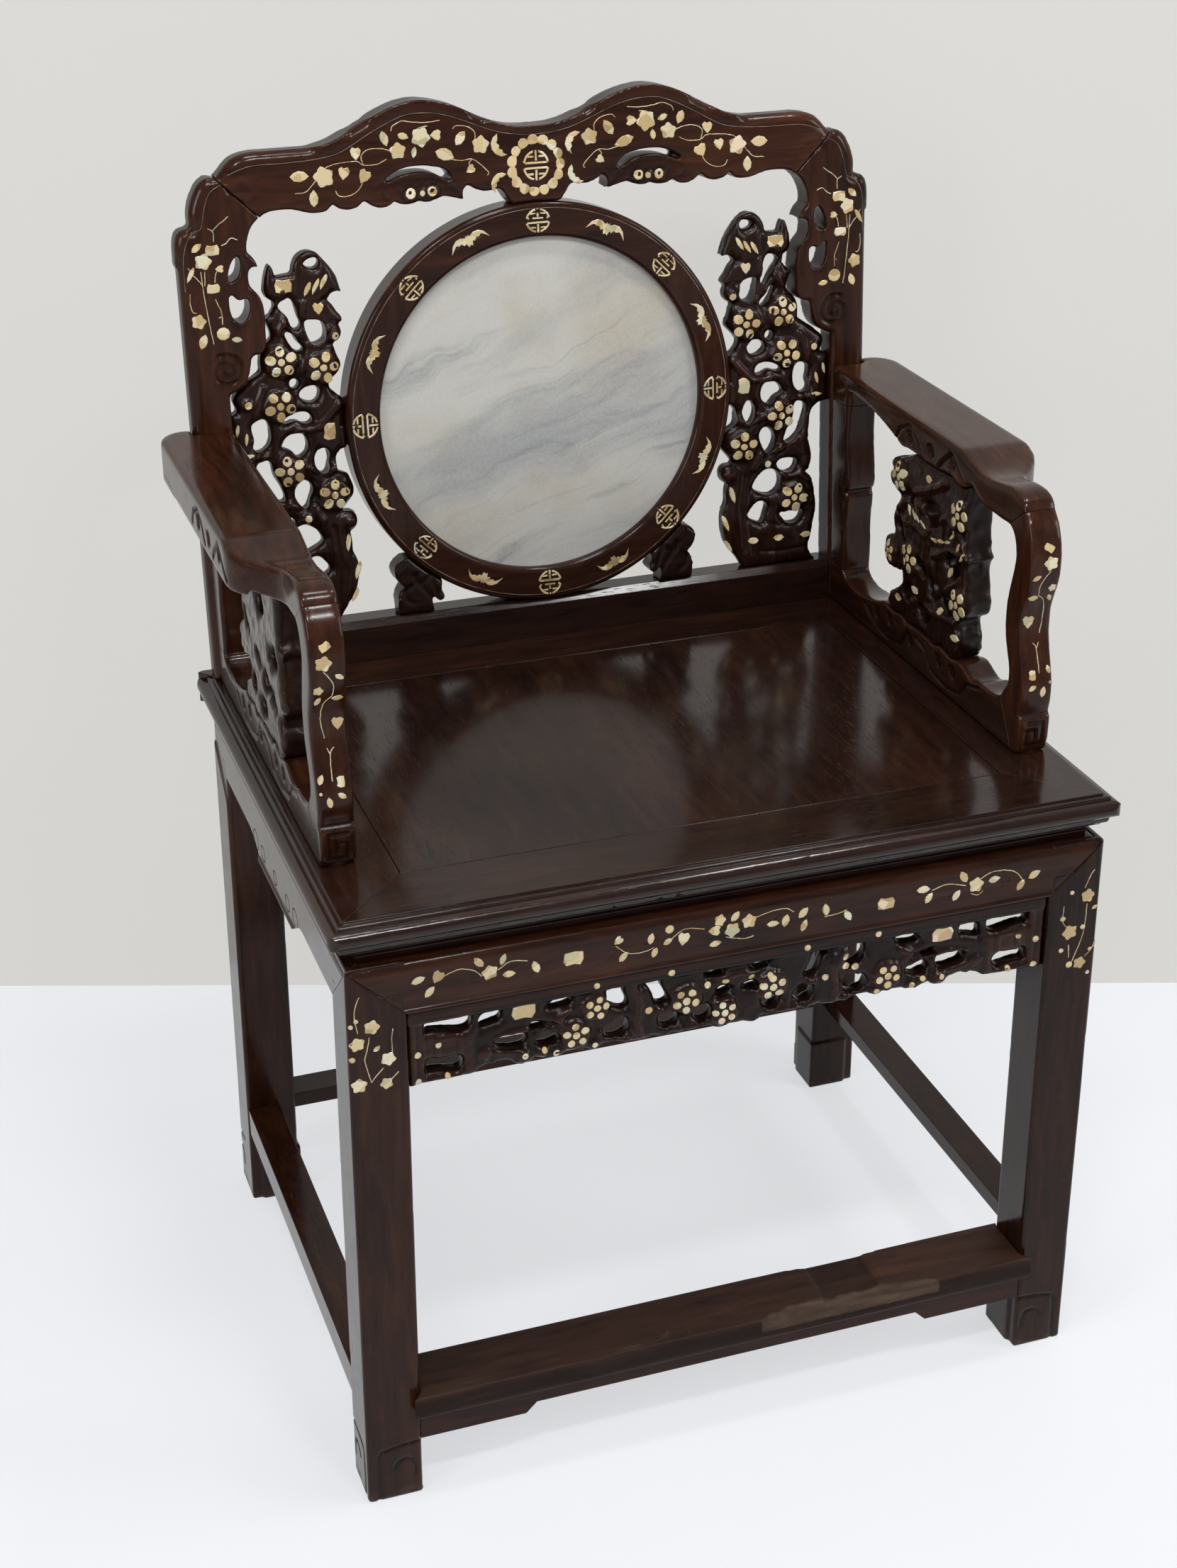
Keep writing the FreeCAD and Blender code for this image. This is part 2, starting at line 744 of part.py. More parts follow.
# Back, drawn upright: X across, Y from the front face backwards, Z up from the seat
def crest_place(side):
    def place(point):
        return Vector(side * (1 - point[0]) * back_half, 0, crest_low + point[1] * crest_zone)

    return place


def bracket_place(side):
    def place(point):
        x = bracket_inner + point[0] * bracket_width
        return Vector(side * x, 0, bracket_low + point[1] * bracket_zone)

    return place


def carved_place(side):
    def place(point):
        x = side * (panel_inner + point[0] * panel_reach)
        return Vector(x, carved_setback, lower_rail_height + point[1] * carved_height)

    return place


def ring_centre():
    return Vector(0, 0, lower_rail_height + ring_radius - ring_housing)


crest_mitre_shares = [(0.123, 0.451), (0.232, 0.100)]
crest_top_shares = [
    [(0.145, 0.53), (0.165, 0.59), (0.20, 0.635), (0.25, 0.645)],
    [(0.35, 0.645)],
    [(0.40, 0.655), (0.44, 0.69), (0.48, 0.75), (0.56, 0.88), (0.60, 0.935), (0.64, 0.97), (0.67, 0.98),
     (0.70, 0.975),
     (0.74, 0.95), (0.78, 0.91), (0.82, 0.85), (0.86, 0.79), (0.90, 0.74), (0.94, 0.71), (1.0, 0.70)],
]
crest_under_shares = [
    [(0.25, 0.135), (0.28, 0.15), (0.31, 0.15), (0.34, 0.13), (0.36, 0.11), (0.39, 0.10), (0.415, 0.11)],
    [(0.432, 0.17)],
    [(0.45, 0.12), (0.475, 0.105), (0.50, 0.125), (0.517, 0.185)],
    [(0.54, 0.12), (0.575, 0.10), (0.60, 0.15)],
    [(0.62, 0.115), (0.645, 0.11), (0.668, 0.135)],
    [(0.685, 0.12), (0.70, 0.12), (0.735, 0.16)],
    [(0.775, 0.13), (0.80, 0.105)],
    [(0.792, 0.15), (0.795, 0.20), (0.81, 0.235)],
    [(0.84, 0.18), (0.86, 0.17), (0.89, 0.19)],
    [(0.91, 0.14), (0.925, 0.06), (0.94, 0.02)],
    [(1.0, 0.02)],
]
crest_opening_shares = [
    (0.555, 0.28), (0.575, 0.33), (0.60, 0.385), (0.64, 0.425), (0.68, 0.43), (0.72, 0.41), (0.75, 0.37),
    (0.765, 0.29),
    (0.745, 0.30), (0.725, 0.34), (0.70, 0.37), (0.66, 0.38), (0.62, 0.36), (0.59, 0.32),
]


def crest_half(side):
    place = crest_place(side)
    top = [[crest_mitre_shares[0]] + crest_top_shares[0]] + crest_top_shares[1:]
    chain = [[crest_mitre_shares[1]] + crest_under_shares[0]] + crest_under_shares[1:]
    chain.append([crest_top_shares[-1][-1]])
    edges = []
    for part in (top, chain):
        last = place(part[0][0])
        for number, run in enumerate(part):
            points = [place(point) for point in (run[1:] if number == 0 else run)]
            edges.append(curve_edge([last] + points))
            last = points[-1]
    edges.append(Part.makeLine(place(crest_mitre_shares[0]), place(crest_mitre_shares[1])))
    face = Part.Face(Part.Wire(Part.__sortEdges__(edges)))
    hole = loop_face(place, crest_opening_shares)
    solid = face.extrude(Vector(0, back_thickness, 0))
    return solid.cut(hole.extrude(Vector(0, back_thickness, 0)))


def mitre_tenon(side, slack):
    # A loose square of wood across the mitre between a stile and the crest, fixed in the stile.
    place = crest_place(side)
    upper, lower = place(crest_mitre_shares[0]), place(crest_mitre_shares[1])
    along = (lower - upper).normalize()
    across = Vector(along.z, 0, -along.x) * side
    if across.z < 0:
        across = across * -1
    middle = (upper + lower) * 0.5 + Vector(0, back_thickness / 2, 0)
    half = crest_tenon_width / 2 + slack
    start = middle - along * half - across * crest_tenon - Vector(0, crest_tenon_thickness / 2 + slack, 0)
    corners = [start, start + along * (2 * half)]
    rise = across * (2 * crest_tenon + slack)
    corners += [corners[1] + rise, corners[0] + rise]
    return polygon_face(corners).extrude(Vector(0, crest_tenon_thickness + 2 * slack, 0))


stile_outer_shares = [
    [(0.975, 0.63)],
    [(1.0, 0.60)],
    [(0.997, 0.65), (0.985, 0.71), (0.96, 0.737), (0.92, 0.752), (0.87, 0.757), (0.82, 0.75)],
    [(0.835, 0.78), (0.832, 0.82), (0.81, 0.86), (0.77, 0.90), (0.72, 0.935), (0.66, 0.955), (0.60, 0.962)],
]
stile_inner_shares = [
    [(0.20, 0.765), (0.25, 0.735), (0.28, 0.705), (0.30, 0.64)],
    [(0.27, 0.63), (0.24, 0.615), (0.215, 0.595), (0.207, 0.575)],
    [(0.24, 0.58), (0.29, 0.57), (0.308, 0.53), (0.30, 0.505), (0.26, 0.48), (0.22, 0.46), (0.19, 0.43),
     (0.17, 0.36),
     (0.175, 0.29), (0.20, 0.225), (0.24, 0.208), (0.30, 0.205)],
    [(0.34, 0.19)],
    [(0.345, 0.17), (0.36, 0.135), (0.39, 0.10), (0.43, 0.075), (0.50, 0.055), (0.57, 0.045)],
]
stile_hole_shares = [
    (0.41, 0.63), (0.46, 0.605), (0.495, 0.57), (0.508, 0.52), (0.512, 0.45), (0.505, 0.395), (0.46, 0.355),
    (0.40, 0.345), (0.34, 0.37), (0.315, 0.415), (0.34, 0.45), (0.40, 0.443), (0.455, 0.455),
    (0.485, 0.49), (0.47, 0.525),
    (0.42, 0.535), (0.385, 0.565), (0.375, 0.605),
]


def stile(side):
    place = bracket_place(side)
    upper, lower = [crest_place(side)(share) for share in crest_mitre_shares]
    runs = [[Vector(side * stile_outer, 0, -overrun), place(stile_outer_shares[0][0])]]
    runs += [[place(share) for share in run] for run in stile_outer_shares[1:]]
    runs += [[upper], [lower]]
    runs += [[place(share) for share in run] for run in stile_inner_shares]
    runs += [[Vector(side * stile_inner, 0, runs[-1][-1].z)], [Vector(side * stile_inner, 0, -overrun)]]
    solid = chain_face(lambda point: point, runs).extrude(Vector(0, back_thickness, 0))
    solid = solid.cut(loop_face(place, stile_hole_shares).extrude(Vector(0, back_thickness, 0)))
    centre = place((0.60, 0.145))
    for size in (1.0, 0.5):
        line = scroll_line(centre, Vector(0, 1, 0), volute_radius * size, volute_groove, volute_depth)
        solid = solid.cut(line)
    return solid


def stile_foot(side, slack):
    # The stile's tenon into the rear seat rail.
    middle = Vector(side * (stile_inner + stile_outer) / 2, back_y + back_thickness / 2, seat_height)
    half = Vector(stile_tenon_width / 2 + slack, crest_tenon_thickness / 2 + slack, 0)
    return block(middle - half - Vector(0, 0, stile_tenon_length + slack), middle + half)


def lower_rail():
    top = lower_rail_height
    points = [
        Vector(-stile_inner, 0, -overrun),
        Vector(-stile_inner, 0, top - lower_rail_chamfer),
        Vector(-stile_inner, lower_rail_chamfer, top),
        Vector(-stile_inner, back_thickness, top),
        Vector(-stile_inner, back_thickness, -overrun),
    ]
    bar = polygon_face(points).extrude(Vector(2 * stile_inner, 0, 0))
    return bar.cut(ring_cylinder(clearance))


def rail_tenons(slack):
    low = lower_rail_height / 4 - slack
    high = lower_rail_height * 3 / 4 + slack
    middle = back_thickness / 2
    half = crest_tenon_thickness / 2 + slack
    reach = stile_inner + rail_tenon + slack
    bar = block(Vector(-reach, middle - half, low), Vector(reach, middle + half, high))
    hollow = block(Vector(-stile_inner, 0, 0), Vector(stile_inner, back_thickness, lower_rail_height))
    return bar.cut(hollow)


# Ring, disc and the two small feet under the ring
def ring_cylinder(slack):
    centre = ring_centre() - Vector(0, overrun, 0)
    return Part.makeCylinder(ring_radius + slack, 2 * overrun + back_thickness, centre, Vector(0, 1, 0))


def ring_segment(middle_deg):
    start = math.radians(middle_deg - 45)
    centre = ring_centre()

    def place(point):
        radius, y = point
        return centre + Vector(radius * math.cos(start), y, radius * math.sin(start))

    inner, outer, soft = ring_opening, ring_radius, ring_round
    corner = soft * (1 - math.sqrt(0.5))
    chain = [
        [(inner, soft), (inner, ring_lip)],
        [(inner + ring_rebate, ring_lip)],
        [(inner + ring_rebate, back_thickness)],
        [(outer, back_thickness)],
        [(outer, soft)],
        [(outer - corner, corner), (outer - soft, 0)],
        [(inner + soft, 0)],
        [(inner + corner, corner), (inner, soft)],
    ]
    face = chain_face(place, chain)
    return face.revolve(centre, Vector(0, -1, 0), 90)


def ring_joint(angle_deg, slack):
    # A tongue across the joint at this angle.
    centre = ring_centre()
    radius = (ring_opening + ring_rebate + ring_radius) / 2
    half_width = ring_tongue_width / 2 + slack
    half_thick = ring_tongue_thickness / 2 + slack
    middle_y = back_thickness / 2
    low = Vector(radius - half_width, middle_y - half_thick, -ring_tongue / 2 - slack)
    high = Vector(radius + half_width, middle_y + half_thick, ring_tongue / 2 + slack)
    return turned(moved(block(low, high), centre), centre, Vector(0, -1, 0), angle_deg)


def ring_pieces():
    names = {0: "ring_left", 90: "ring_top", 180: "ring_right", 270: "ring_bottom"}
    result = {}
    for angle, name in names.items():
        segment = ring_segment(angle).fuse(ring_joint(angle + 45, 0))
        result[name] = segment.cut(ring_joint(angle - 45, clearance))
    tenon = ring_top_tenon(0)
    result["ring_top"] = result["ring_top"].fuse(tenon)
    return result


def ring_top_tenon(slack):
    top = ring_centre().z + ring_radius
    half = Vector(crest_tenon_width / 2 + slack, crest_tenon_thickness / 2 + slack, 0)
    middle = Vector(0, back_thickness / 2, top - ring_tongue_width)
    return block(middle - half, middle + half + Vector(0, 0, ring_tongue_width + crest_tenon + slack))


def round_board(front, thickness):
    radius = ring_opening + ring_rebate - clearance
    return Part.makeCylinder(radius, thickness, ring_centre() + Vector(0, front, 0), Vector(0, 1, 0))


ring_foot_shares = [
    [(0.90, 0), (0.90, 0.12), (0.88, 0.34), (0.77, 0.446)],
    [(0.90, 0.55), (0.95, 0.70), (0.92, 0.78), (0.83, 0.84), (0.70, 0.89), (0.625, 0.90)],
    [(0.5, 1.1)],
    [(0.04, 0.8)],
    [(0.04, 0.53)],
    [(0.09, 0.45), (0.10, 0.35), (0.06, 0.25)],
    [(0.09, 0.18), (0.14, 0.16), (0.20, 0.19), (0.27, 0.28)],
    [(0.28, 0.14), (0.24, 0)],
]


def ring_foot(side):
    def place(point):
        x = side * (foot_zone_inner + point[0] * foot_zone_width)
        return Vector(x, ring_foot_setback, lower_rail_height + point[1] * foot_zone_height)

    solid = chain_face(place, ring_foot_shares).extrude(Vector(0, ring_foot_thickness, 0))
    return solid.cut(ring_cylinder(clearance))


# Carved side panels: branches and blossoms round pierced openings. u runs from the ring's side to the stile's.
carved_edge_shares = [
    [(0.30, 0), (0.22, 0.045), (0.15, 0.085), (0.125, 0.13), (0.13, 0.165), (0.155, 0.19),
     (0.165, 0.235), (0.18, 0.25)],
    [(0.125, 0.262), (0.112, 0.28), (0.14, 0.302), (0.20, 0.305), (0.25, 0.302)],
    [(0.20, 0.32), (0.165, 0.335), (0.125, 0.355), (0.14, 0.385), (0.165, 0.405), (0.22, 0.415),
     (0.25, 0.44)],
    [(0.22, 0.47), (0.10, 0.48)],
    [(0.10, 0.60)],
    [(0.22, 0.625), (0.26, 0.65), (0.20, 0.68), (0.165, 0.70), (0.19, 0.725), (0.21, 0.75), (0.24, 0.757)],
    [(0.19, 0.762), (0.15, 0.775), (0.145, 0.79), (0.17, 0.805)],
    [(0.135, 0.822), (0.17, 0.84), (0.20, 0.858), (0.25, 0.873)],
    [(0.21, 0.883), (0.17, 0.892), (0.125, 0.885)],
    [(0.15, 0.92), (0.20, 0.955), (0.27, 0.985), (0.34, 1.0), (0.42, 0.99), (0.455, 0.975), (0.47, 0.945)],
    [(0.60, 0.94)],
    [(0.61, 0.96), (0.63, 0.973), (0.665, 0.95), (0.685, 0.92), (0.68, 0.895), (0.63, 0.88)],
    [(0.62, 0.86), (0.665, 0.842), (0.69, 0.833)],
    [(0.67, 0.81), (0.66, 0.785), (0.70, 0.77), (0.745, 0.745), (0.755, 0.72), (0.75, 0.70)],
    [(0.80, 0.69), (0.86, 0.675), (0.93, 0.655), (0.965, 0.64), (0.955, 0.615), (0.94, 0.60)],
    [(1.0, 0.595)],
    [(1.0, 0.46)],
    [(0.93, 0.455), (0.88, 0.44), (0.86, 0.40), (0.85, 0.36), (0.87, 0.33), (0.88, 0.30), (0.86, 0.275),
     (0.82, 0.262)],
    [(0.87, 0.245), (0.91, 0.20), (0.92, 0.15), (0.90, 0.11), (0.885, 0.08), (0.86, 0.05)],
    [(0.87, 0.02), (0.92, 0)],
]
carved_hole_shares = [
    [(0.275, 0.967), (0.33, 0.954), (0.385, 0.967), (0.33, 0.98)],
    [(0.57, 0.878), (0.49, 0.878), (0.47, 0.86), (0.45, 0.83), (0.44, 0.81), (0.47, 0.80), (0.52, 0.825),
     (0.565, 0.85)],
    [(0.40, 0.825), (0.35, 0.825), (0.28, 0.815), (0.26, 0.79), (0.27, 0.77), (0.30, 0.762),
     (0.36, 0.76), (0.39, 0.775),
     (0.41, 0.80)],
    [(0.55, 0.798), (0.50, 0.79), (0.46, 0.765), (0.43, 0.748), (0.46, 0.742), (0.52, 0.76), (0.55, 0.78)],
    [(0.49, 0.652), (0.525, 0.647), (0.55, 0.665), (0.52, 0.675)],
    [(0.335, 0.63), (0.41, 0.608), (0.485, 0.63), (0.41, 0.652)],
    [(0.63, 0.56), (0.57, 0.58), (0.50, 0.585), (0.42, 0.58), (0.40, 0.56), (0.46, 0.553), (0.52, 0.563),
     (0.58, 0.558)],
    [(0.64, 0.50), (0.60, 0.52), (0.55, 0.53), (0.48, 0.525), (0.45, 0.50), (0.47, 0.475), (0.52, 0.465),
     (0.58, 0.485)],
    [(0.295, 0.45), (0.35, 0.415), (0.405, 0.45), (0.35, 0.485)],
    [(0.80, 0.575), (0.74, 0.57), (0.72, 0.55), (0.75, 0.50), (0.82, 0.49), (0.85, 0.50), (0.84, 0.53),
     (0.85, 0.55)],
    [(0.77, 0.467), (0.83, 0.455), (0.81, 0.41), (0.75, 0.365), (0.65, 0.352), (0.67, 0.39), (0.72, 0.435)],
    [(0.53, 0.395), (0.47, 0.40), (0.44, 0.385), (0.46, 0.35), (0.50, 0.325), (0.56, 0.35)],
    [(0.585, 0.295), (0.62, 0.305), (0.69, 0.305), (0.75, 0.30), (0.74, 0.275), (0.68, 0.265), (0.61, 0.275)],
    [(0.38, 0.235), (0.42, 0.26), (0.50, 0.28), (0.57, 0.275), (0.62, 0.245), (0.60, 0.22),
     (0.52, 0.205), (0.44, 0.215)],
    [(0.34, 0.15), (0.39, 0.18), (0.45, 0.19), (0.50, 0.18), (0.49, 0.15), (0.46, 0.125), (0.39, 0.135)],
    [(0.60, 0.155), (0.66, 0.148), (0.73, 0.153), (0.80, 0.15), (0.78, 0.12), (0.70, 0.115), (0.64, 0.13)],
]


def carved_panel(side):
    place = carved_place(side)
    solid = chain_face(place, carved_edge_shares).extrude(Vector(0, carved_thickness, 0))
    for points in carved_hole_shares:
        solid = solid.cut(loop_face(place, points).extrude(Vector(0, carved_thickness, 0)))
    return solid.cut(ring_cylinder(clearance))


def carved_tongues(side, slack):
    # One tongue into the stile and one down into the lower rail.
    middle = carved_setback + carved_thickness / 2
    half_thick = panel_tongue_thickness / 2 + slack
    half_wide = panel_tongue_width / 2 + slack
    stile_mid = carved_place(side)((1.0, 0.53))
    ends = sorted((side * (stile_inner - panel_tongue), side * (stile_inner + panel_tongue + slack)))
    low = Vector(ends[0], middle - half_thick, stile_mid.z - half_wide)
    first = block(low, Vector(ends[1], middle + half_thick, stile_mid.z + half_wide))
    base_mid = carved_place(side)((0.60, 0))
    low = Vector(base_mid.x - half_wide, middle - half_thick, base_mid.z - panel_tongue - slack)
    high = Vector(base_mid.x + half_wide, middle + half_thick, base_mid.z + panel_tongue)
    return Part.makeCompound([first, block(low, high)])


# Arms, drawn on the left side (X positive) and mirrored for the right one
def arm_place(point):
    return Vector(arm_inner, arm_zone_y + point[0] * arm_reach, seat_height + point[1] * arm_zone_height)


arm_mitre_shares = [(0.12, 0.835), (0.055, 0.92)]
base_mitre_shares = [(0.10, 0.185), (0.035, 0)]
arm_top_shares = [
    [(0.062, 0.945), (0.08, 0.965), (0.11, 0.975), (0.16, 0.968), (0.22, 0.953), (0.26, 0.953), (0.31, 0.97),
     (0.36, 0.991)],
    [(1.2, 0.991)],
    [(1.2, 0.87)],
]
arm_under_shares = [
    [(0.70, 0.87), (0.65, 0.845)],
    [(0.60, 0.855), (0.52, 0.85), (0.46, 0.855), (0.40, 0.865)],
    [(0.37, 0.85), (0.34, 0.85), (0.31, 0.875), (0.285, 0.868)],
    [(0.26, 0.845), (0.22, 0.835), (0.16, 0.83)],
    [(0.12, 0.835)],
]
arm_plan_shares = [
    [(0, -0.1), (0.458, -0.1)],
    [(0.458, 0.17)],
    [(0.48, 0.20), (0.55, 0.225), (0.68, 0.25), (0.85, 0.28), (0.95, 0.305), (1.0, 0.34)],
    [(1.0, 1.0)],
    [(0.95, 1.05), (0.80, 1.075), (0.60, 1.08)],
    [(0, 1.08)],
]
post_outer_shares = [
    [(0.035, 0.885), (0.0227, 0.849), (0.009, 0.755), (0.0142, 0.66), (0.034, 0.566), (0.0368, 0.472),
     (0.0227, 0.377),
     (0.006, 0.283), (0.010, 0.175)],
    [(0.016, 0.165)],
    [(0.008, 0.155), (0.004, 0.10), (0.008, 0.04), (0.018, 0)],
    [(0.035, 0)],
]
post_inner_shares = [
    [(0.095, 0.21), (0.08, 0.24), (0.076, 0.29), (0.085, 0.34), (0.10, 0.40), (0.108, 0.46),
     (0.11, 0.52), (0.105, 0.58),
     (0.095, 0.65), (0.086, 0.72), (0.09, 0.78), (0.10, 0.81), (0.12, 0.835)],
]
base_top_shares = [
    [(0.12, 0.168), (0.16, 0.158), (0.20, 0.158)],
    [(0.26, 0.15), (0.30, 0.172), (0.35, 0.16), (0.40, 0.172), (0.43, 0.155)],
    [(0.50, 0.165), (0.58, 0.155)],
    [(0.61, 0.172), (0.65, 0.16), (0.69, 0.172), (0.72, 0.16)],
    [(0.77, 0.135), (0.82, 0.12), (0.87, 0.115), (0.90, 0.121), (0.923, 0.137), (0.935, 0.16)],
    [(1.2, 0.16)],
]
rear_post_shares = [
    [(1.2, 0.16), (0.935, 0.16)],
    [(0.932, 0.22), (0.936, 0.32), (0.938, 0.38), (0.934, 0.44), (0.931, 0.485)],
    [(0.944, 0.50)],
    [(0.930, 0.52), (0.928, 0.58), (0.934, 0.64), (0.941, 0.70), (0.944, 0.77), (0.945, 0.95)],
    [(1.2, 0.95)],
]


def arm_solid(chain, width):
    return chain_face(arm_place, chain).extrude(Vector(width, 0, 0))


def behind_stile():
    # The stile's straight part, made long enough to cut whatever meets it.
    body = block(
        Vector(0, 0, -overrun),
        Vector(stile_outer, back_thickness + 2 * overrun, bracket_low),
    )
    return lean_back(body)


def arm_rail():
    chain = [arm_mitre_shares] + arm_top_shares + arm_under_shares
    body = arm_solid(chain, arm_wide - arm_inner)
    low = seat_height

    def place(point):
        x = arm_inner + point[0] * (arm_wide - arm_inner)
        return Vector(x, arm_zone_y + point[1] * arm_reach, low)

    plan = chain_face(place, arm_plan_shares).extrude(Vector(0, 0, 2 * arm_zone_height))
    lip_low = Vector(arm_wide - arm_lip_width, arm_zone_y, arm_place((0, 0.87)).z - arm_lip_drop)
    lip_high = Vector(arm_wide, back_y + overrun, arm_place((0, 0.95)).z)
    return body.fuse(block(lip_low, lip_high)).common(plan).removeSplitter()


def arm_post_front():
    chain = [arm_mitre_shares[::-1][:1] + post_outer_shares[0]] + post_outer_shares[1:]
    chain.append([base_mitre_shares[0]])
    return arm_solid(chain + post_inner_shares, arm_thickness)


def arm_base():
    chain = [base_mitre_shares[::-1]] + base_top_shares + [[(1.2, 0)]]
    return arm_solid(chain, arm_thickness)


def arm_post_rear():
    return arm_solid(rear_post_shares, arm_thickness)


def box_at(share, size, slack, drop):
    # A tenon box centred on a place of the arm's elevation, in the middle of the arm's thickness.
    middle = arm_place(share) + Vector(arm_thickness / 2, 0, -drop / 2)
    half = Vector(arm_tenon_thickness / 2 + slack, size / 2 + slack, drop / 2 + slack)
    return block(middle - half, middle + half)


def mitre_key(shares, slack):
    # A square key across one of the arm's mitres.
    first, last = arm_place(shares[0]), arm_place(shares[1])
    along = (last - first).normalize()
    across = Vector(0, -along.z, along.y)
    middle = (first + last) * 0.5 + Vector(arm_thickness / 2 - arm_tenon_thickness / 2 - slack, 0, 0)
    half = arm_tenon_width / 2 + slack
    reach = arm_tenon / 2 + slack
    corners = [middle - along * half - across * reach, middle + along * half - across * reach]
    corners += [middle + along * half + across * reach, middle - along * half + across * reach]
    return polygon_face(corners).extrude(Vector(arm_tenon_thickness + 2 * slack, 0, 0))


def splat_place(point):
    height = seat_height + splat_low + point[1] * splat_zone
    return Vector(arm_inner, splat_y + point[0] * splat_reach, height)


splat_edge_shares = [
    [(0.32, -0.1), (0.29, 0.035), (0.29, 0.085), (0.315, 0.145), (0.31, 0.175), (0.245, 0.235),
     (0.24, 0.275)],
    [(0.24, 0.325), (0.255, 0.375), (0.26, 0.415), (0.27, 0.485), (0.26, 0.525), (0.24, 0.555)],
    [(0.27, 0.615), (0.275, 0.665), (0.28, 0.775), (0.28, 1.02)],
    [(0.73, 1.02)],
    [(0.75, 0.94), (0.78, 0.92), (0.85, 0.88), (0.92, 0.845), (0.965, 0.82), (0.97, 0.79), (0.95, 0.77)],
    [(0.975, 0.72), (0.96, 0.68), (0.92, 0.665), (0.88, 0.655), (0.87, 0.64)],
    [(0.89, 0.60), (0.91, 0.56), (0.925, 0.52), (0.92, 0.46), (0.905, 0.41)],
    [(0.94, 0.38), (0.98, 0.355), (0.99, 0.32), (0.985, 0.28)],
    [(0.99, 0.25), (0.98, 0.215), (0.92, 0.19), (0.86, 0.20), (0.82, 0.215)],
    [(0.81, 0.17), (0.83, 0.13), (0.87, 0.09), (0.90, 0.06), (0.905, -0.1)],
]
splat_hole_shares = [
    [(0.50, 0.67), (0.55, 0.60), (0.62, 0.62), (0.64, 0.70), (0.58, 0.73)],
    [(0.73, 0.66), (0.755, 0.64), (0.785, 0.66), (0.76, 0.70)],
    [(0.31, 0.46), (0.37, 0.40), (0.44, 0.46), (0.38, 0.53)],
    [(0.80, 0.38), (0.84, 0.40), (0.885, 0.47), (0.87, 0.50), (0.82, 0.45)],
    [(0.60, 0.30), (0.65, 0.31), (0.69, 0.37), (0.66, 0.385), (0.62, 0.35)],
    [(0.49, 0.21), (0.56, 0.23), (0.57, 0.30), (0.51, 0.31)],
    [(0.36, 0.18), (0.42, 0.19), (0.46, 0.24), (0.42, 0.27), (0.38, 0.24)],
    [(0.74, 0.08), (0.79, 0.10), (0.77, 0.17), (0.73, 0.16)],
    [(0.54, 0.11), (0.60, 0.12), (0.65, 0.10), (0.64, 0.05), (0.55, 0.05)],
]


def arm_splat():
    solid = chain_face(splat_place, splat_edge_shares).extrude(Vector(arm_thickness, 0, 0))
    for points in splat_hole_shares:
        solid = solid.cut(loop_face(splat_place, points).extrude(Vector(arm_thickness, 0, 0)))
    return solid


def splat_tongues(slack):
    # Tongues at the foot and the top of the splat, set into the base and the rail.
    solids = []
    for along, height in ((0.42, 0.16), (0.50, 0.86)):
        middle_y = splat_y + along * splat_reach
        middle = Vector(arm_inner + arm_thickness / 2, middle_y, arm_place((0, height)).z)
        half = Vector(arm_tenon_thickness / 2 + slack, arm_tenon_width + slack, splat_tongue_length + slack)
        solids.append(block(middle - half, middle + half))
    return solids


def arm_scrolls(height_share, y_shares, x, axis):
    cuts = []
    for share in y_shares:
        centre = arm_place((share, height_share))
        centre.x = x
        cuts.append(scroll_line(centre, axis, scroll_radius * 0.8, scroll_groove, scroll_depth))
    return Part.makeCompound(cuts)


def build_arm():
    rail, front, rear, base, splat = arm_rail(), arm_post_front(), arm_post_rear(), arm_base(), arm_splat()
    stile_block = behind_stile()
    lift = Vector(0, 0, clearance)
    rail = rail.cut(stile_block)
    rear = rear.cut(stile_block).cut(rail)
    base = base.cut(stile_block)
    splat = splat.cut(base).cut(moved(base, lift)).cut(rail).cut(moved(rail, lift * -1))
    for tongue in splat_tongues(0):
        splat = splat.fuse(tongue)
    base_slot, rail_slot = splat_tongues(clearance)
    front = front.fuse(mitre_key(arm_mitre_shares, 0)).fuse(mitre_key(base_mitre_shares, 0))
    rail = rail.cut(rail_slot).cut(mitre_key(arm_mitre_shares, clearance))
    base = base.cut(base_slot).cut(mitre_key(base_mitre_shares, clearance))
    front = front.fuse(post_tenon(0))
    rear_middle = (0.968, 0.16)
    rear = rear.fuse(box_at(rear_middle, arm_tenon_width, 0, arm_tenon))
    base = base.cut(box_at(rear_middle, arm_tenon_width, clearance, arm_tenon))
    inward = Vector(1, 0, 0)
    rail = rail.cut(arm_scrolls(0.91, (0.395, 0.435, 0.52, 0.60, 0.64), arm_inner, inward))
    rail = rail.cut(arm_scrolls(0.91, (0.415, 0.46, 0.56, 0.66, 0.705), arm_wide, inward * -1))
    base = base.cut(arm_scrolls(0.10, (0.32, 0.38, 0.50, 0.62, 0.69), arm_inner, inward))
    return {"rail": rail, "post_front": front, "post_rear": rear, "base": base, "splat": splat}


def post_tenon(slack):
    # The front post's tenon, down into the side rail of the seat.
    middle = arm_place((0.022, 0)) + Vector(arm_thickness / 2, 0, 0)
    half = Vector(arm_tenon_thickness / 2 + slack, arm_tenon_width / 4 + slack, 0)
    return block(middle - half - Vector(0, 0, post_tenon_length + slack), middle + half)


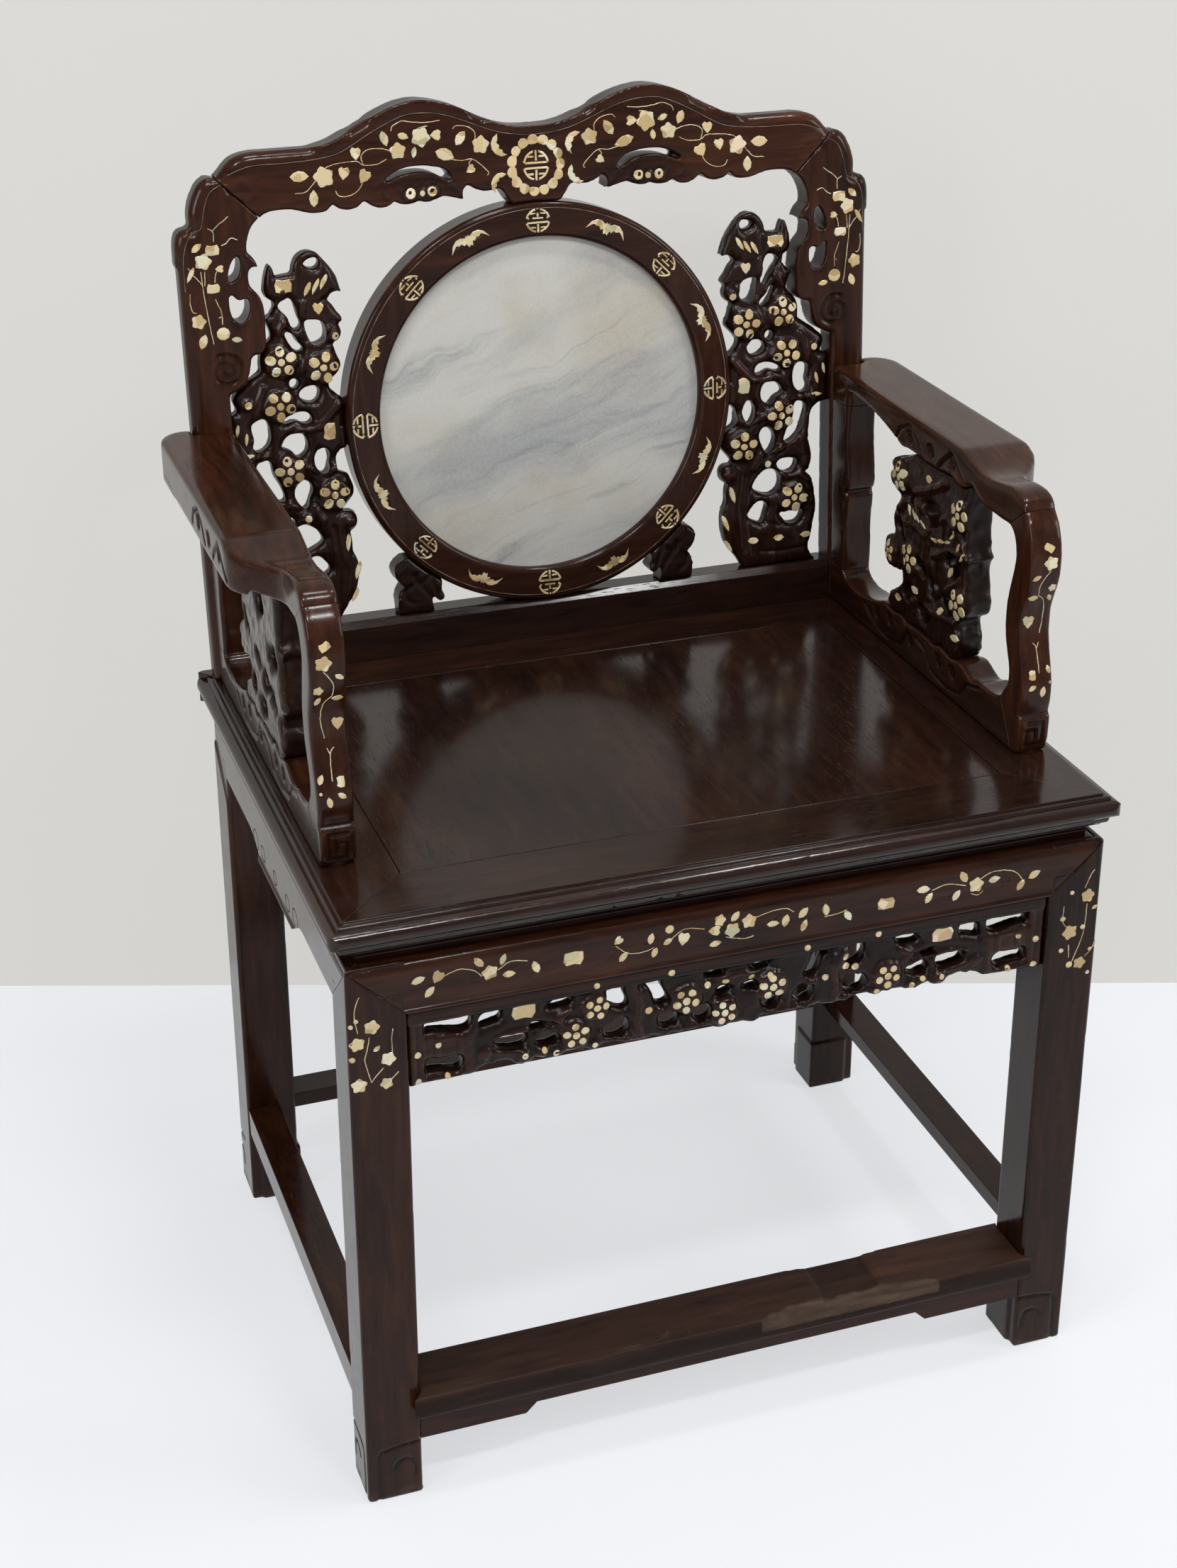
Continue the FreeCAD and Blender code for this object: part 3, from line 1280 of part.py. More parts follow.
# Mother-of-pearl. A face function gives a point from two lengths along the face and a depth into the wood.
def pearl_piece(face, place, spec, slack, deep):
    kind, u, v, size = spec[:4]
    a, b = place((u, v))
    normal = (face(0, 0, 1) - face(0, 0, 0)).normalize()
    if kind == "dot":
        return [Part.makeCylinder(dot_radius * size + slack, deep, face(a, b, -pearl_proud), normal)]
    if kind == "blossom":
        solids = [Part.makeCylinder(centre_radius * size + slack, deep, face(a, b, -pearl_proud), normal)]
        for number in range(petal_count):
            turn = 2 * math.pi * (number + 0.25) / petal_count
            spread = petal_spread * size
            point = face(a + spread * math.cos(turn), b + spread * math.sin(turn), -pearl_proud)
            solids.append(Part.makeCylinder(petal_radius * size + slack, deep, point, normal))
        return solids
    if kind == "medallion":
        start = face(a, b, -pearl_proud)
        ring = Part.makeCylinder(medallion_radius * size + slack, deep, start, normal)
        inner = (medallion_radius - medallion_bar) * size - slack
        ring = ring.cut(Part.makeCylinder(inner, deep, start, normal))
        heart = Part.makeCylinder(medallion_radius * size / 2 + slack, deep, start, normal)
        return [ring, heart]
    if kind == "bat":
        return [bat_plate(face, a, b, size, spec[4], slack)]
    return [leaf_plate(face, a, b, size, spec[4], slack, deep)]


def leaf_plate(face, a, b, size, angle_deg, slack, deep=pearl_thickness):
    # A pointed oval, its long axis at the angle given.
    turn = math.radians(angle_deg)
    half = leaf_length * size / 2 + slack
    belly = leaf_width * size / 2 + slack

    def point(along, across):
        x = a + along * math.cos(turn) - across * math.sin(turn)
        y = b + along * math.sin(turn) + across * math.cos(turn)
        return face(x, y, -pearl_proud)

    first = Part.Arc(point(-half, 0), point(0, belly), point(half, 0)).toShape()
    second = Part.Arc(point(half, 0), point(0, -belly), point(-half, 0)).toShape()
    normal = (face(0, 0, 1) - face(0, 0, 0)).normalize()
    return Part.Face(Part.Wire([first, second])).extrude(normal * deep)


def bat_plate(face, a, b, size, angle_deg, slack):
    # Two spread wings and a small body.
    turn = math.radians(angle_deg)
    reach = bat_span * size / 4
    solid = leaf_plate(face, a, b, size * 0.7, angle_deg + 90, slack)
    for side in (-1, 1):
        x = a + side * reach * math.cos(turn)
        y = b + side * reach * math.sin(turn)
        solid = solid.fuse(leaf_plate(face, x, y, size * 1.2, angle_deg + side * 20, slack))
    return solid.removeSplitter()


def pearls(face, place, specs, slack, deep=pearl_thickness):
    solids = []
    for spec in specs:
        solids += pearl_piece(face, place, spec, slack, deep)
    return Part.makeCompound(solids)


crest_pearl_shares = [
    ("leaf", 0.30, 0.42, 0.9, 30), ("dot", 0.35, 0.40, 1.0), ("leaf", 0.41, 0.40, 1.2, 80),
    ("dot", 0.38, 0.23, 0.9),
    ("leaf", 0.465, 0.43, 0.9, 120), ("leaf", 0.52, 0.42, 0.9, 60), ("dot", 0.50, 0.57, 1.0),
    ("leaf", 0.58, 0.70, 0.9, 45),
    ("dot", 0.61, 0.57, 1.0), ("leaf", 0.635, 0.74, 0.8, 100), ("dot", 0.66, 0.54, 1.0),
    ("dot", 0.69, 0.68, 1.6),
    ("leaf", 0.73, 0.77, 0.9, 140), ("dot", 0.745, 0.56, 1.0), ("leaf", 0.79, 0.62, 1.0, 20),
    ("leaf", 0.84, 0.55, 0.9, 150),
    ("dot", 0.81, 0.37, 1.2), ("leaf", 0.885, 0.60, 1.0, 60), ("leaf", 0.885, 0.35, 1.0, 100),
]
stile_pearl_shares = [
    ("blossom", 0.655, 0.67, 0.62), ("blossom", 0.76, 0.62, 0.5), ("blossom", 0.655, 0.49, 0.55),
    ("leaf", 0.83, 0.37, 0.8, 70),
    ("dot", 0.60, 0.31, 1.6), ("leaf", 0.87, 0.57, 0.8, 30), ("leaf", 0.83, 0.29, 0.7, 40),
    ("leaf", 0.49, 0.28, 0.8, 100),
    ("leaf", 0.60, 0.78, 0.9, 100), ("leaf", 0.48, 0.82, 0.9, 20), ("leaf", 0.44, 0.70, 0.9, 160),
    ("dot", 0.77, 0.50, 0.9),
]
ring_pearl_shares = [("medallion", number / 8, 0.53, 0.95) for number in range(8)]
for number in range(8):
    turn_share = (number + 0.5) / 8
    ring_pearl_shares.append(("bat", turn_share, 0.53, 0.8, 360 * turn_share + 90))
carved_pearl_shares = [
    ("blossom", 0.61, 0.72, 1.0), ("blossom", 0.315, 0.715, 0.85), ("blossom", 0.64, 0.61, 0.9),
    ("blossom", 0.60, 0.435, 0.85), ("blossom", 0.22, 0.358, 0.7), ("blossom", 0.72, 0.20, 1.0),
    ("leaf", 0.39, 0.925, 0.8, 90), ("leaf", 0.32, 0.925, 0.8, 90), ("leaf", 0.26, 0.925, 0.7, 90),
    ("leaf", 0.20, 0.915, 0.6, 90), ("dot", 0.56, 0.912, 1.4), ("dot", 0.30, 0.850, 1.2),
    ("dot", 0.20, 0.785, 1.0),
    ("dot", 0.90, 0.635, 1.1), ("dot", 0.50, 0.303, 1.2), ("dot", 0.175, 0.282, 1.1),
    ("dot", 0.26, 0.54, 1.7),
    ("dot", 0.92, 0.53, 1.3), ("leaf", 0.90, 0.485, 0.7, 60), ("leaf", 0.24, 0.21, 1.3, 80),
    ("leaf", 0.20, 0.14, 1.2, 95),
    ("leaf", 0.25, 0.075, 1.2, 120), ("dot", 0.40, 0.075, 1.5), ("dot", 0.585, 0.08, 1.9),
    ("leaf", 0.80, 0.08, 1.1, 10),
]
frieze_pearl_shares = [
    ("dot", 0.35, 0.72, 0.7), ("dot", 0.565, 0.90, 0.9), ("dot", 0.79, 0.90, 0.9), ("dot", 0.035, 0.42, 0.9),
    ("dot", 0.035, 0.07, 0.9), ("dot", 0.12, 0.40, 1.0), ("dot", 0.41, 0.13, 0.9), ("dot", 0.56, 0.12, 0.9),
    ("blossom", 0.56, 0.56, 0.5), ("dot", 0.50, 0.34, 1.2), ("dot", 0.72, 0.42, 0.9),
    ("blossom", 0.845, 0.48, 0.6),
    ("dot", 0.905, 0.50, 0.8), ("dot", 0.96, 0.22, 1.1),
]
apron_pearl_shares = [
    ("leaf", 0.04, 0.55, 0.9, 20), ("blossom", 0.10, 0.50, 0.45), ("leaf", 0.15, 0.62, 0.8, 150),
    ("dot", 0.20, 0.45, 0.9),
    ("leaf", 0.245, 0.55, 0.9, 10), ("dot", 0.30, 0.50, 1.2), ("leaf", 0.36, 0.60, 0.9, 30),
    ("dot", 0.405, 0.45, 0.9),
    ("leaf", 0.45, 0.60, 0.8, 150), ("blossom", 0.50, 0.50, 0.5), ("leaf", 0.55, 0.60, 0.8, 30),
    ("dot", 0.60, 0.45, 0.9),
    ("leaf", 0.65, 0.60, 0.9, 150), ("dot", 0.72, 0.50, 1.2), ("leaf", 0.78, 0.58, 0.9, 10),
    ("dot", 0.83, 0.45, 0.9),
    ("leaf", 0.87, 0.60, 0.8, 30), ("blossom", 0.92, 0.50, 0.45), ("leaf", 0.965, 0.58, 0.8, 160),
]
leg_pearl_shares = [
    ("blossom", 0.50, 0.40, 0.5), ("leaf", 0.30, 0.62, 0.8, 110), ("leaf", 0.72, 0.70, 0.8, 60),
    ("dot", 0.40, 0.80, 0.9),
    ("leaf", 0.62, 0.20, 0.8, 80), ("dot", 0.35, 0.10, 0.9),
]
post_pearl_shares = [
    ("leaf", 0.50, 0.94, 1.0, 0), ("dot", 0.45, 0.85, 1.0), ("leaf", 0.65, 0.74, 0.8, 40),
    ("leaf", 0.32, 0.63, 0.8, 150),
    ("dot", 0.66, 0.60, 1.0), ("dot", 0.60, 0.50, 1.3), ("dot", 0.42, 0.40, 1.4),
    ("leaf", 0.52, 0.28, 0.8, 70),
    ("leaf", 0.60, 0.16, 0.8, 60), ("dot", 0.72, 0.07, 0.9),
]
splat_pearl_shares = [
    ("blossom", 0.36, 0.80, 0.7), ("blossom", 0.86, 0.765, 0.7), ("blossom", 0.33, 0.285, 0.7),
    ("blossom", 0.79, 0.30, 0.6),
    ("leaf", 0.32, 0.60, 0.9, 80), ("leaf", 0.36, 0.64, 0.9, 70), ("leaf", 0.41, 0.63, 0.9, 60),
    ("leaf", 0.46, 0.57, 0.9, 50),
    ("leaf", 0.51, 0.52, 0.9, 45), ("leaf", 0.66, 0.56, 0.9, 100), ("leaf", 0.70, 0.58, 0.9, 110),
    ("leaf", 0.80, 0.57, 0.9, 120), ("leaf", 0.61, 0.855, 0.9, 20), ("leaf", 0.47, 0.38, 0.9, 120),
    ("dot", 0.37, 0.09, 1.2), ("dot", 0.70, 0.20, 1.2), ("dot", 0.83, 0.05, 1.1),
    ("blossom", 0.92, 0.30, 0.5),
]


def back_face(depth):
    return lambda a, b, d: Vector(a, depth + d, b)


def flat(place):
    # The two lengths a back face needs, from a place function of that face.
    def lengths(share):
        point = place(share)
        return point.x, point.z

    return lengths


def set_pearls(shape, face, place, specs):
    # The plates, and the wood with their pockets cut.
    plates = pearls(face, place, specs, 0)
    return plates, shape.cut(pearls(face, place, specs, clearance / 2))


def curved_pearls(body, place, specs, direction, slack):
    # Plates that follow a curved front: the prism of each one, kept only in a thin skin of the body.
    start = arm_zone_y - overrun / 2
    prisms = pearls(lambda a, b, d: Vector(a, start + d, b), place, specs, slack, overrun)
    skin = moved(body, direction * pearl_proud).cut(moved(body, direction * (pearl_proud - pearl_thickness)))
    return prisms.common(skin)


def back_parts():
    parts = {}
    ring = ring_pieces()
    stile_plates = []
    carved_plates = []
    for side, name in ((1, "left"), (-1, "right")):
        body = stile(side).cut(rail_tenons(clearance)).cut(carved_tongues(side, clearance))
        body = body.fuse(mitre_tenon(side, 0))
        plates, body = set_pearls(body, back_face(0), flat(bracket_place(side)), stile_pearl_shares)
        parts["stile_" + name] = body
        stile_plates.append(plates)
        carved = carved_panel(side).fuse(carved_tongues(side, 0))
        face = back_face(carved_setback)
        plates, carved = set_pearls(carved, face, flat(carved_place(side)), carved_pearl_shares)
        parts["carved_panel_" + name] = carved
        carved_plates.append(plates)
        parts["ring_foot_" + name] = ring_foot(side)
    parts["stile_inlay"] = Part.makeCompound(stile_plates)
    parts["carved_inlay"] = Part.makeCompound(carved_plates)
    crest = crest_half(1).fuse(crest_half(-1)).removeSplitter()
    crest = crest.cut(ring_cylinder(clearance)).cut(ring_top_tenon(clearance))
    plates = []
    for side in (-1, 1):
        crest = crest.cut(mitre_tenon(side, clearance))
        half, crest = set_pearls(crest, back_face(0), flat(crest_place(side)), crest_pearl_shares)
        plates.append(half)
    centre, crest = set_pearls(crest, back_face(0), flat(crest_place(1)), [("medallion", 1.0, 0.36, 1.1)])
    parts["crest_rail"], parts["crest_inlay"] = crest, Part.makeCompound(plates + [centre])
    rail = lower_rail().fuse(rail_tenons(0))
    for side in (-1, 1):
        rail = rail.cut(carved_tongues(side, clearance))
    parts["lower_rail"] = rail
    pockets = pearls(back_face(0), ring_point, ring_pearl_shares, clearance / 2)
    for name, shape in ring.items():
        parts[name] = shape.cut(pockets)
    parts["ring_inlay"] = pearls(back_face(0), ring_point, ring_pearl_shares, 0)
    parts["marble_disc"] = round_board(ring_lip, disc_thickness)
    parts["disc_backboard"] = round_board(ring_lip + disc_thickness, board_thickness)
    placed = {name: above_seat(lean_back(shape)) for name, shape in parts.items()}
    for side, name in ((1, "stile_left"), (-1, "stile_right")):
        placed[name] = placed[name].fuse(stile_foot(side, 0))
    return placed


def ring_point(share):
    # Shares of a full turn and of the ring's width.
    turn = 2 * math.pi * share[0]
    radius = ring_opening + (ring_radius - ring_opening) * share[1]
    centre = ring_centre()
    return radius * math.cos(turn), centre.z + radius * math.sin(turn)


def arm_parts():
    arm = build_arm()

    def splat_point(share):
        point = splat_place(share)
        return point.y, point.z

    def inner_face(a, b, d):
        return Vector(arm_inner + d, a, b)

    def post_point(share):
        zone_share = post_pearl_high_share - post_pearl_low_share
        point = arm_place((0, post_pearl_low_share + share[1] * zone_share))
        return arm_inner + share[0] * arm_thickness, point.z

    plates, arm["splat"] = set_pearls(arm["splat"], inner_face, splat_point, splat_pearl_shares)
    arm["splat_inlay"] = plates
    forward = Vector(0, -1, 0)
    bare = arm_post_front()
    arm["post_inlay"] = curved_pearls(bare, post_point, post_pearl_shares, forward, 0)
    pockets = curved_pearls(bare, post_point, post_pearl_shares, forward, clearance / 2)
    arm["post_front"] = arm["post_front"].cut(pockets)
    arm["rail"] = arm["rail"].cut(arm_peg(clearance))
    names = {
        "rail": "arm_rail", "post_front": "arm_post_front", "post_rear": "arm_post_rear", "base": "arm_base",
        "splat": "arm_splat",
    }
    parts = {}
    for key, name in names.items():
        parts[name + "_left"] = arm[key]
        parts[name + "_right"] = mirrored(arm[key])
    for key in ("splat_inlay", "post_inlay"):
        parts[key] = Part.makeCompound([arm[key], mirrored(arm[key])])
    return parts


def arm_peg(slack):
    # A peg through the stile's outer side into the arm rail beside it.
    height = (arm_place((0, 0.87)).z + arm_place((0, 0.991)).z) / 2
    start = Vector(stile_outer - peg_length / 2 - slack, back_y + back_thickness, height)
    return Part.makeCylinder(peg_radius + slack, peg_length + 2 * slack, start, Vector(1, 0, 0))


def strip_peg(side, slack):
    top = footrest_top - footrest_thickness
    middle = -leg_y + strip_setback + strip_thickness / 2
    start = Vector(side * strip_end_length, middle, top - peg_length / 2 - slack)
    return Part.makeCylinder(peg_radius + slack, peg_length + 2 * slack, start, Vector(0, 0, 1))


def frame_parts():
    parts = {"seat_rail_front": front_rail(), "seat_rail_rear": rear_rail()}
    parts["seat_rail_left"], parts["seat_rail_right"] = side_rail(1), side_rail(-1)
    corners = [(x, y) for x in (-1, 1) for y in (-1, 1)]
    cutters = [leg_mortise(x, y) for x, y in corners]
    cutters += [tongue_block(clearance / 2), batten_blocks(clearance)]
    for side in (-1, 1):
        cutters.append(stile_foot(side, clearance))
    tenon = post_tenon(clearance)
    cutters += [tenon, mirrored(tenon)]
    for name, shape in parts.items():
        for cutter in cutters:
            shape = shape.cut(cutter)
        parts[name] = shape
    parts["seat_panel"] = seat_panel()
    parts["seat_battens"] = batten_blocks(0)
    parts.update(waists())
    return parts


def under_parts():
    parts = {}
    front = apron(leg_top_x, leg_top_y, 0)
    side = side_apron()
    groove = frieze_groove()
    parts["apron_rear"] = turned(front, Vector(), Vector(0, 0, 1), 180)
    parts["apron_left"] = turned(side, Vector(), Vector(0, 0, 1), 90)
    parts["apron_right"] = turned(side, Vector(), Vector(0, 0, 1), -90)
    aprons = Part.makeCompound([front, parts["apron_rear"], parts["apron_left"], parts["apron_right"]])

    def apron_point(share):
        return (share[0] - 0.5) * 2 * (leg_top_x - leg_side), apron_bottom + share[1] * apron_height

    def apron_face(a, b, d):
        return Vector(a, -leg_top_y + d, b)

    parts["apron_inlay"], front = set_pearls(front.cut(groove), apron_face, apron_point, apron_pearl_shares)
    parts["apron_front"] = front

    frieze = front_frieze()
    plates = []
    for side in (-1, 1):
        place = frieze_place(side)
        half, frieze = set_pearls(frieze, frieze_face, flat(place), frieze_pearl_shares)
        plates.append(half)
    stretcher_shapes = stretcher_set()
    board, strip = footrest(), footrest_apron()
    tenon_cuts = [shapes[2] for shapes in stretcher_shapes.values()] + [footrest_tenons(clearance)]
    bodies = {"front_frieze": frieze, "footrest": board, "footrest_apron": strip}
    for name, shapes in stretcher_shapes.items():
        bodies[name] = shapes[0]
    inlay = []
    corners = {
        "leg_front_left": (1, -1),
        "leg_front_right": (-1, -1),
        "leg_rear_left": (1, 1),
        "leg_rear_right": (-1, 1),
    }
    for name, (x, y) in corners.items():
        shape = leg(x, y).cut(aprons)
        for body in bodies:
            bodies[body] = bodies[body].cut(shape)
        for cutter in tenon_cuts:
            shape = shape.cut(cutter)
        if y < 0:
            half, shape = set_pearls(shape, leg_face, leg_point(x), leg_pearl_shares)
            inlay.append(half)
        parts[name] = shape
    for name, shapes in stretcher_shapes.items():
        bodies[name] = bodies[name].fuse(shapes[1])
    bodies["footrest"] = bodies["footrest"].fuse(footrest_tenons(0))
    for side in (-1, 1):
        bodies["footrest"] = bodies["footrest"].cut(strip_peg(side, clearance))
        bodies["footrest_apron"] = bodies["footrest_apron"].cut(strip_peg(side, clearance))
    parts.update(bodies)
    parts["frieze_inlay"] = Part.makeCompound(plates)
    parts["leg_inlay"] = Part.makeCompound(inlay)
    return parts


def frieze_face(a, b, d):
    rail_low = apron_bottom - frieze_rail_height
    front = -leg_y + frieze_setback
    return Vector(a, front + d - (frieze_rail_proud if b > rail_low else 0), b)


def leg_face(a, b, d):
    lean = leg_lean_front * b / apron_top
    return Vector(a, -leg_y + lean + d, b)


def leg_point(side):
    def lengths(share):
        x = leg_top_x - leg_side + share[0] * leg_side
        return side * x, leg_pearl_low + share[1] * leg_pearl_zone

    return lengths


def main():
    parts = frame_parts()
    parts.update(under_parts())
    parts.update(back_parts())
    parts.update(arm_parts())
    pegs = [arm_peg(0), mirrored(arm_peg(0)), strip_peg(-1, 0), strip_peg(1, 0)]
    for side, name in ((1, "stile_left"), (-1, "stile_right")):
        hole = arm_peg(clearance)
        parts[name] = parts[name].cut(hole if side > 0 else mirrored(hole))
    parts["joint_pegs"] = Part.makeCompound(pegs)
    box = Part.makeCompound(list(parts.values())).BoundBox
    shift = Vector(-(box.XMin + box.XMax) / 2, -(box.YMin + box.YMax) / 2, -box.ZMin)
    os.makedirs("parts", exist_ok=True)
    for name, shape in parts.items():
        moved(shape, shift).exportStep("parts/" + name + ".step")


main()
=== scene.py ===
import json
import math
import bmesh
import bpy
import numpy as np
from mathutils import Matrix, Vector
from mathutils.bvhtree import BVHTree
from mathutils.kdtree import KDTree

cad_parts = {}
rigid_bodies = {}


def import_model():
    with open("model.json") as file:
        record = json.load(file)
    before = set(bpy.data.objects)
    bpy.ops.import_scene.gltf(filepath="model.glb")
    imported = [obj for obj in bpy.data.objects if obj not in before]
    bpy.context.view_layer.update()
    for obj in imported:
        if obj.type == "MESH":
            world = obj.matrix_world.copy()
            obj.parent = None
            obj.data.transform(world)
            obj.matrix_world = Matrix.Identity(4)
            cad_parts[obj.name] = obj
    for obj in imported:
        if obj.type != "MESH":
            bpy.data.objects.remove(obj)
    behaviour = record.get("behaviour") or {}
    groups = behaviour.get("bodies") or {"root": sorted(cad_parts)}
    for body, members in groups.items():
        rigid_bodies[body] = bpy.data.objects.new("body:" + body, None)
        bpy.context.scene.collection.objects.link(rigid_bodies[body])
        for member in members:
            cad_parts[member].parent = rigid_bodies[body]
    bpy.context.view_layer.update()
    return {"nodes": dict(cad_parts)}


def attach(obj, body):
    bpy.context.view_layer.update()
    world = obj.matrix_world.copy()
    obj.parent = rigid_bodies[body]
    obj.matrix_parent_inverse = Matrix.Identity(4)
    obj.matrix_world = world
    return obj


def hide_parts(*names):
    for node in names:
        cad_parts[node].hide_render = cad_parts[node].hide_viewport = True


# Rosewood armchair with a marble disc in its back and pearl inlay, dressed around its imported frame.
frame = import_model()
nodes = frame["nodes"]
scene = bpy.context.scene
mm = 0.001

# What a user would change about the shot. Seen colours and shares are what the camera gets of a plain pale colour.
shot = {
    "place": (-0.6111, -1.6582, 1.3367),   # the camera stands at the sitter's right, above the arms
    "turn": (math.pi / 2 - 0.462, 0.003, -0.3363),
    "lens": 56.0, "sensor": 36.0,
    "floor": {"colour": (0.84, 0.855, 0.88), "seen": (0.862, 0.875, 0.90), "share": 0.70, "rough": 0.40},
    "wall": {"colour": (0.60, 0.595, 0.575), "seen": (0.712, 0.702, 0.676), "share": 0.80, "rough": 0.75},
    "wallPoint": (0.113, 0.43, 0.0),
    "roomSize": 9.0,
    "worldColour": (0.93, 0.96, 1.0, 1), "worldStrength": 0.34, "worldSeen": (0.80, 0.80, 0.79, 1),
}


class Wire:
    # A node's socket that takes Python's operators.
    def __init__(self, graph, socket):
        self.graph = graph
        self.socket = socket

    def math(self, operation, *terms):
        return self.graph.node("ShaderNodeMath", {"operation": operation}, dict(enumerate(terms)))

    def out(self, name):
        return Wire(self.graph, self.socket.node.outputs[name])

    def __add__(self, other):
        return self.math("ADD", self, other)

    def __radd__(self, other):
        return self.math("ADD", other, self)

    def __sub__(self, other):
        return self.math("SUBTRACT", self, other)

    def __rsub__(self, other):
        return self.math("SUBTRACT", other, self)

    def __mul__(self, other):
        return self.math("MULTIPLY", self, other)

    def __rmul__(self, other):
        return self.math("MULTIPLY", other, self)

    def over(self, low, high):
        # 0 at low, 1 at high, eased in between.
        return self.graph.node(
            "ShaderNodeMapRange",
            {"interpolation_type": "SMOOTHSTEP"},
            {"Value": self, "From Min": low, "From Max": high},
        )


class Graph:
    # A node tree, built node by node.
    def __init__(self, tree):
        self.tree = tree

    def node(self, kind, settings=None, sockets=None, output=0):
        made = self.tree.nodes.new(kind)
        for name, value in (settings or {}).items():
            if name == "stops":
                ramp = made.color_ramp
                while len(ramp.elements) < len(value):
                    ramp.elements.new(0.5)
                for element, (place, colour) in zip(ramp.elements, value):
                    element.position = place
                    element.color = (*colour, 1)
            else:
                setattr(made, name, value)
        for name, value in (sockets or {}).items():
            socket = made.inputs[name]
            several = isinstance(value, list) and isinstance(value[0], Wire)
            for item in value if several else [value]:
                if isinstance(item, Wire):
                    self.tree.links.new(item.socket, socket)
                else:
                    socket.default_value = item
        return Wire(self, made.outputs[output]) if made.outputs else made


class Finish(Graph):
    # One material.
    def __init__(self, name):
        self.material = bpy.data.materials.new(name)
        self.material.use_nodes = True
        super().__init__(self.material.node_tree)
        self.tree.nodes.clear()

    def space(self, scale, turn=(0, 0, 0), shift=(0, 0, 0)):
        sockets = {"Vector": self.node("ShaderNodeTexCoord").out("Object"), "Location": shift, "Rotation": turn}
        return self.node("ShaderNodeMapping", {}, {**sockets, "Scale": scale})

    def noise(self, vector, detail, rough, warp=0.0):
        sockets = {"Vector": vector, "Scale": 1.0, "Detail": detail, "Roughness": rough, "Distortion": warp}
        return self.node("ShaderNodeTexNoise", {"noise_dimensions": "3D"}, sockets)

    def cloud(self, scale, detail, rough, warp=0.0, **space):
        # Noise over the object: scale is its cells to the metre, one number or one for each axis.
        scale = scale if isinstance(scale, (list, tuple)) else [scale] * 3
        return self.noise(self.space(scale, **space), detail, rough, warp)

    def mix(self, factor, first, second):
        return self.node("ShaderNodeMix", {"data_type": "RGBA"}, {0: factor, 6: first, 7: second}, output=2)

    def ramp(self, factor, stops):
        return self.node("ShaderNodeValToRGB", {"stops": stops}, {"Fac": factor})

    def bump(self, height, strength, distance, **more):
        sockets = {"Height": height, "Strength": strength, "Distance": distance, **more}
        return self.node("ShaderNodeBump", {}, sockets)

    def close(self, colour, rough, normal=None, fixed=None):
        sockets = {"Base Color": colour, "Roughness": rough, **(fixed or {})}
        if normal is not None:
            sockets["Normal"] = normal
        shader = self.node("ShaderNodeBsdfPrincipled", {}, sockets)
        self.node("ShaderNodeOutputMaterial", {}, {"Surface": shader})
        return self.material


# Cells to the metre along the grain and across it, how much of each shows, and the polish.
wood = {
    "fibre": (16.0, 130.0), "pore": (90.0, 1500.0), "broad": (2.0, 9.0), "touched": 38.0,
    "fibreShare": 0.62, "broadShare": 0.55, "toneShift": -0.085,
    "poreDark": 0.35, "shadeDark": 0.25, "shadeShare": 0.88,
    "bare": [(0.32, (0.022, 0.013, 0.009)), (0.55, (0.066, 0.043, 0.030)), (0.75, (0.125, 0.088, 0.064))],
    "rough": 0.14, "wornRough": 0.55, "carvedRough": 0.03, "hollowRough": 0.20, "bareRough": 0.45,
    "ior": 1.29, "seatIor": 1.40,
    "edge": 0.0012,         # rounding of the edges that the light catches
}
tones = {
    "deep": ((0.0060, 0.0022, 0.0013), (0.0220, 0.0070, 0.0036), (0.0480, 0.0160, 0.0074)),
    "black": ((0.0036, 0.0017, 0.0012), (0.0110, 0.0045, 0.0030), (0.0260, 0.0105, 0.0060)),
    "red": ((0.0080, 0.0026, 0.0013), (0.0300, 0.0092, 0.0040), (0.0700, 0.0230, 0.0088)),
    "seat": ((0.0050, 0.0022, 0.0015), (0.0150, 0.0056, 0.0035), (0.0330, 0.0125, 0.0070)),
    "worn": ((0.0100, 0.0040, 0.0024), (0.0330, 0.0125, 0.0068), (0.0750, 0.0330, 0.0180)),
}


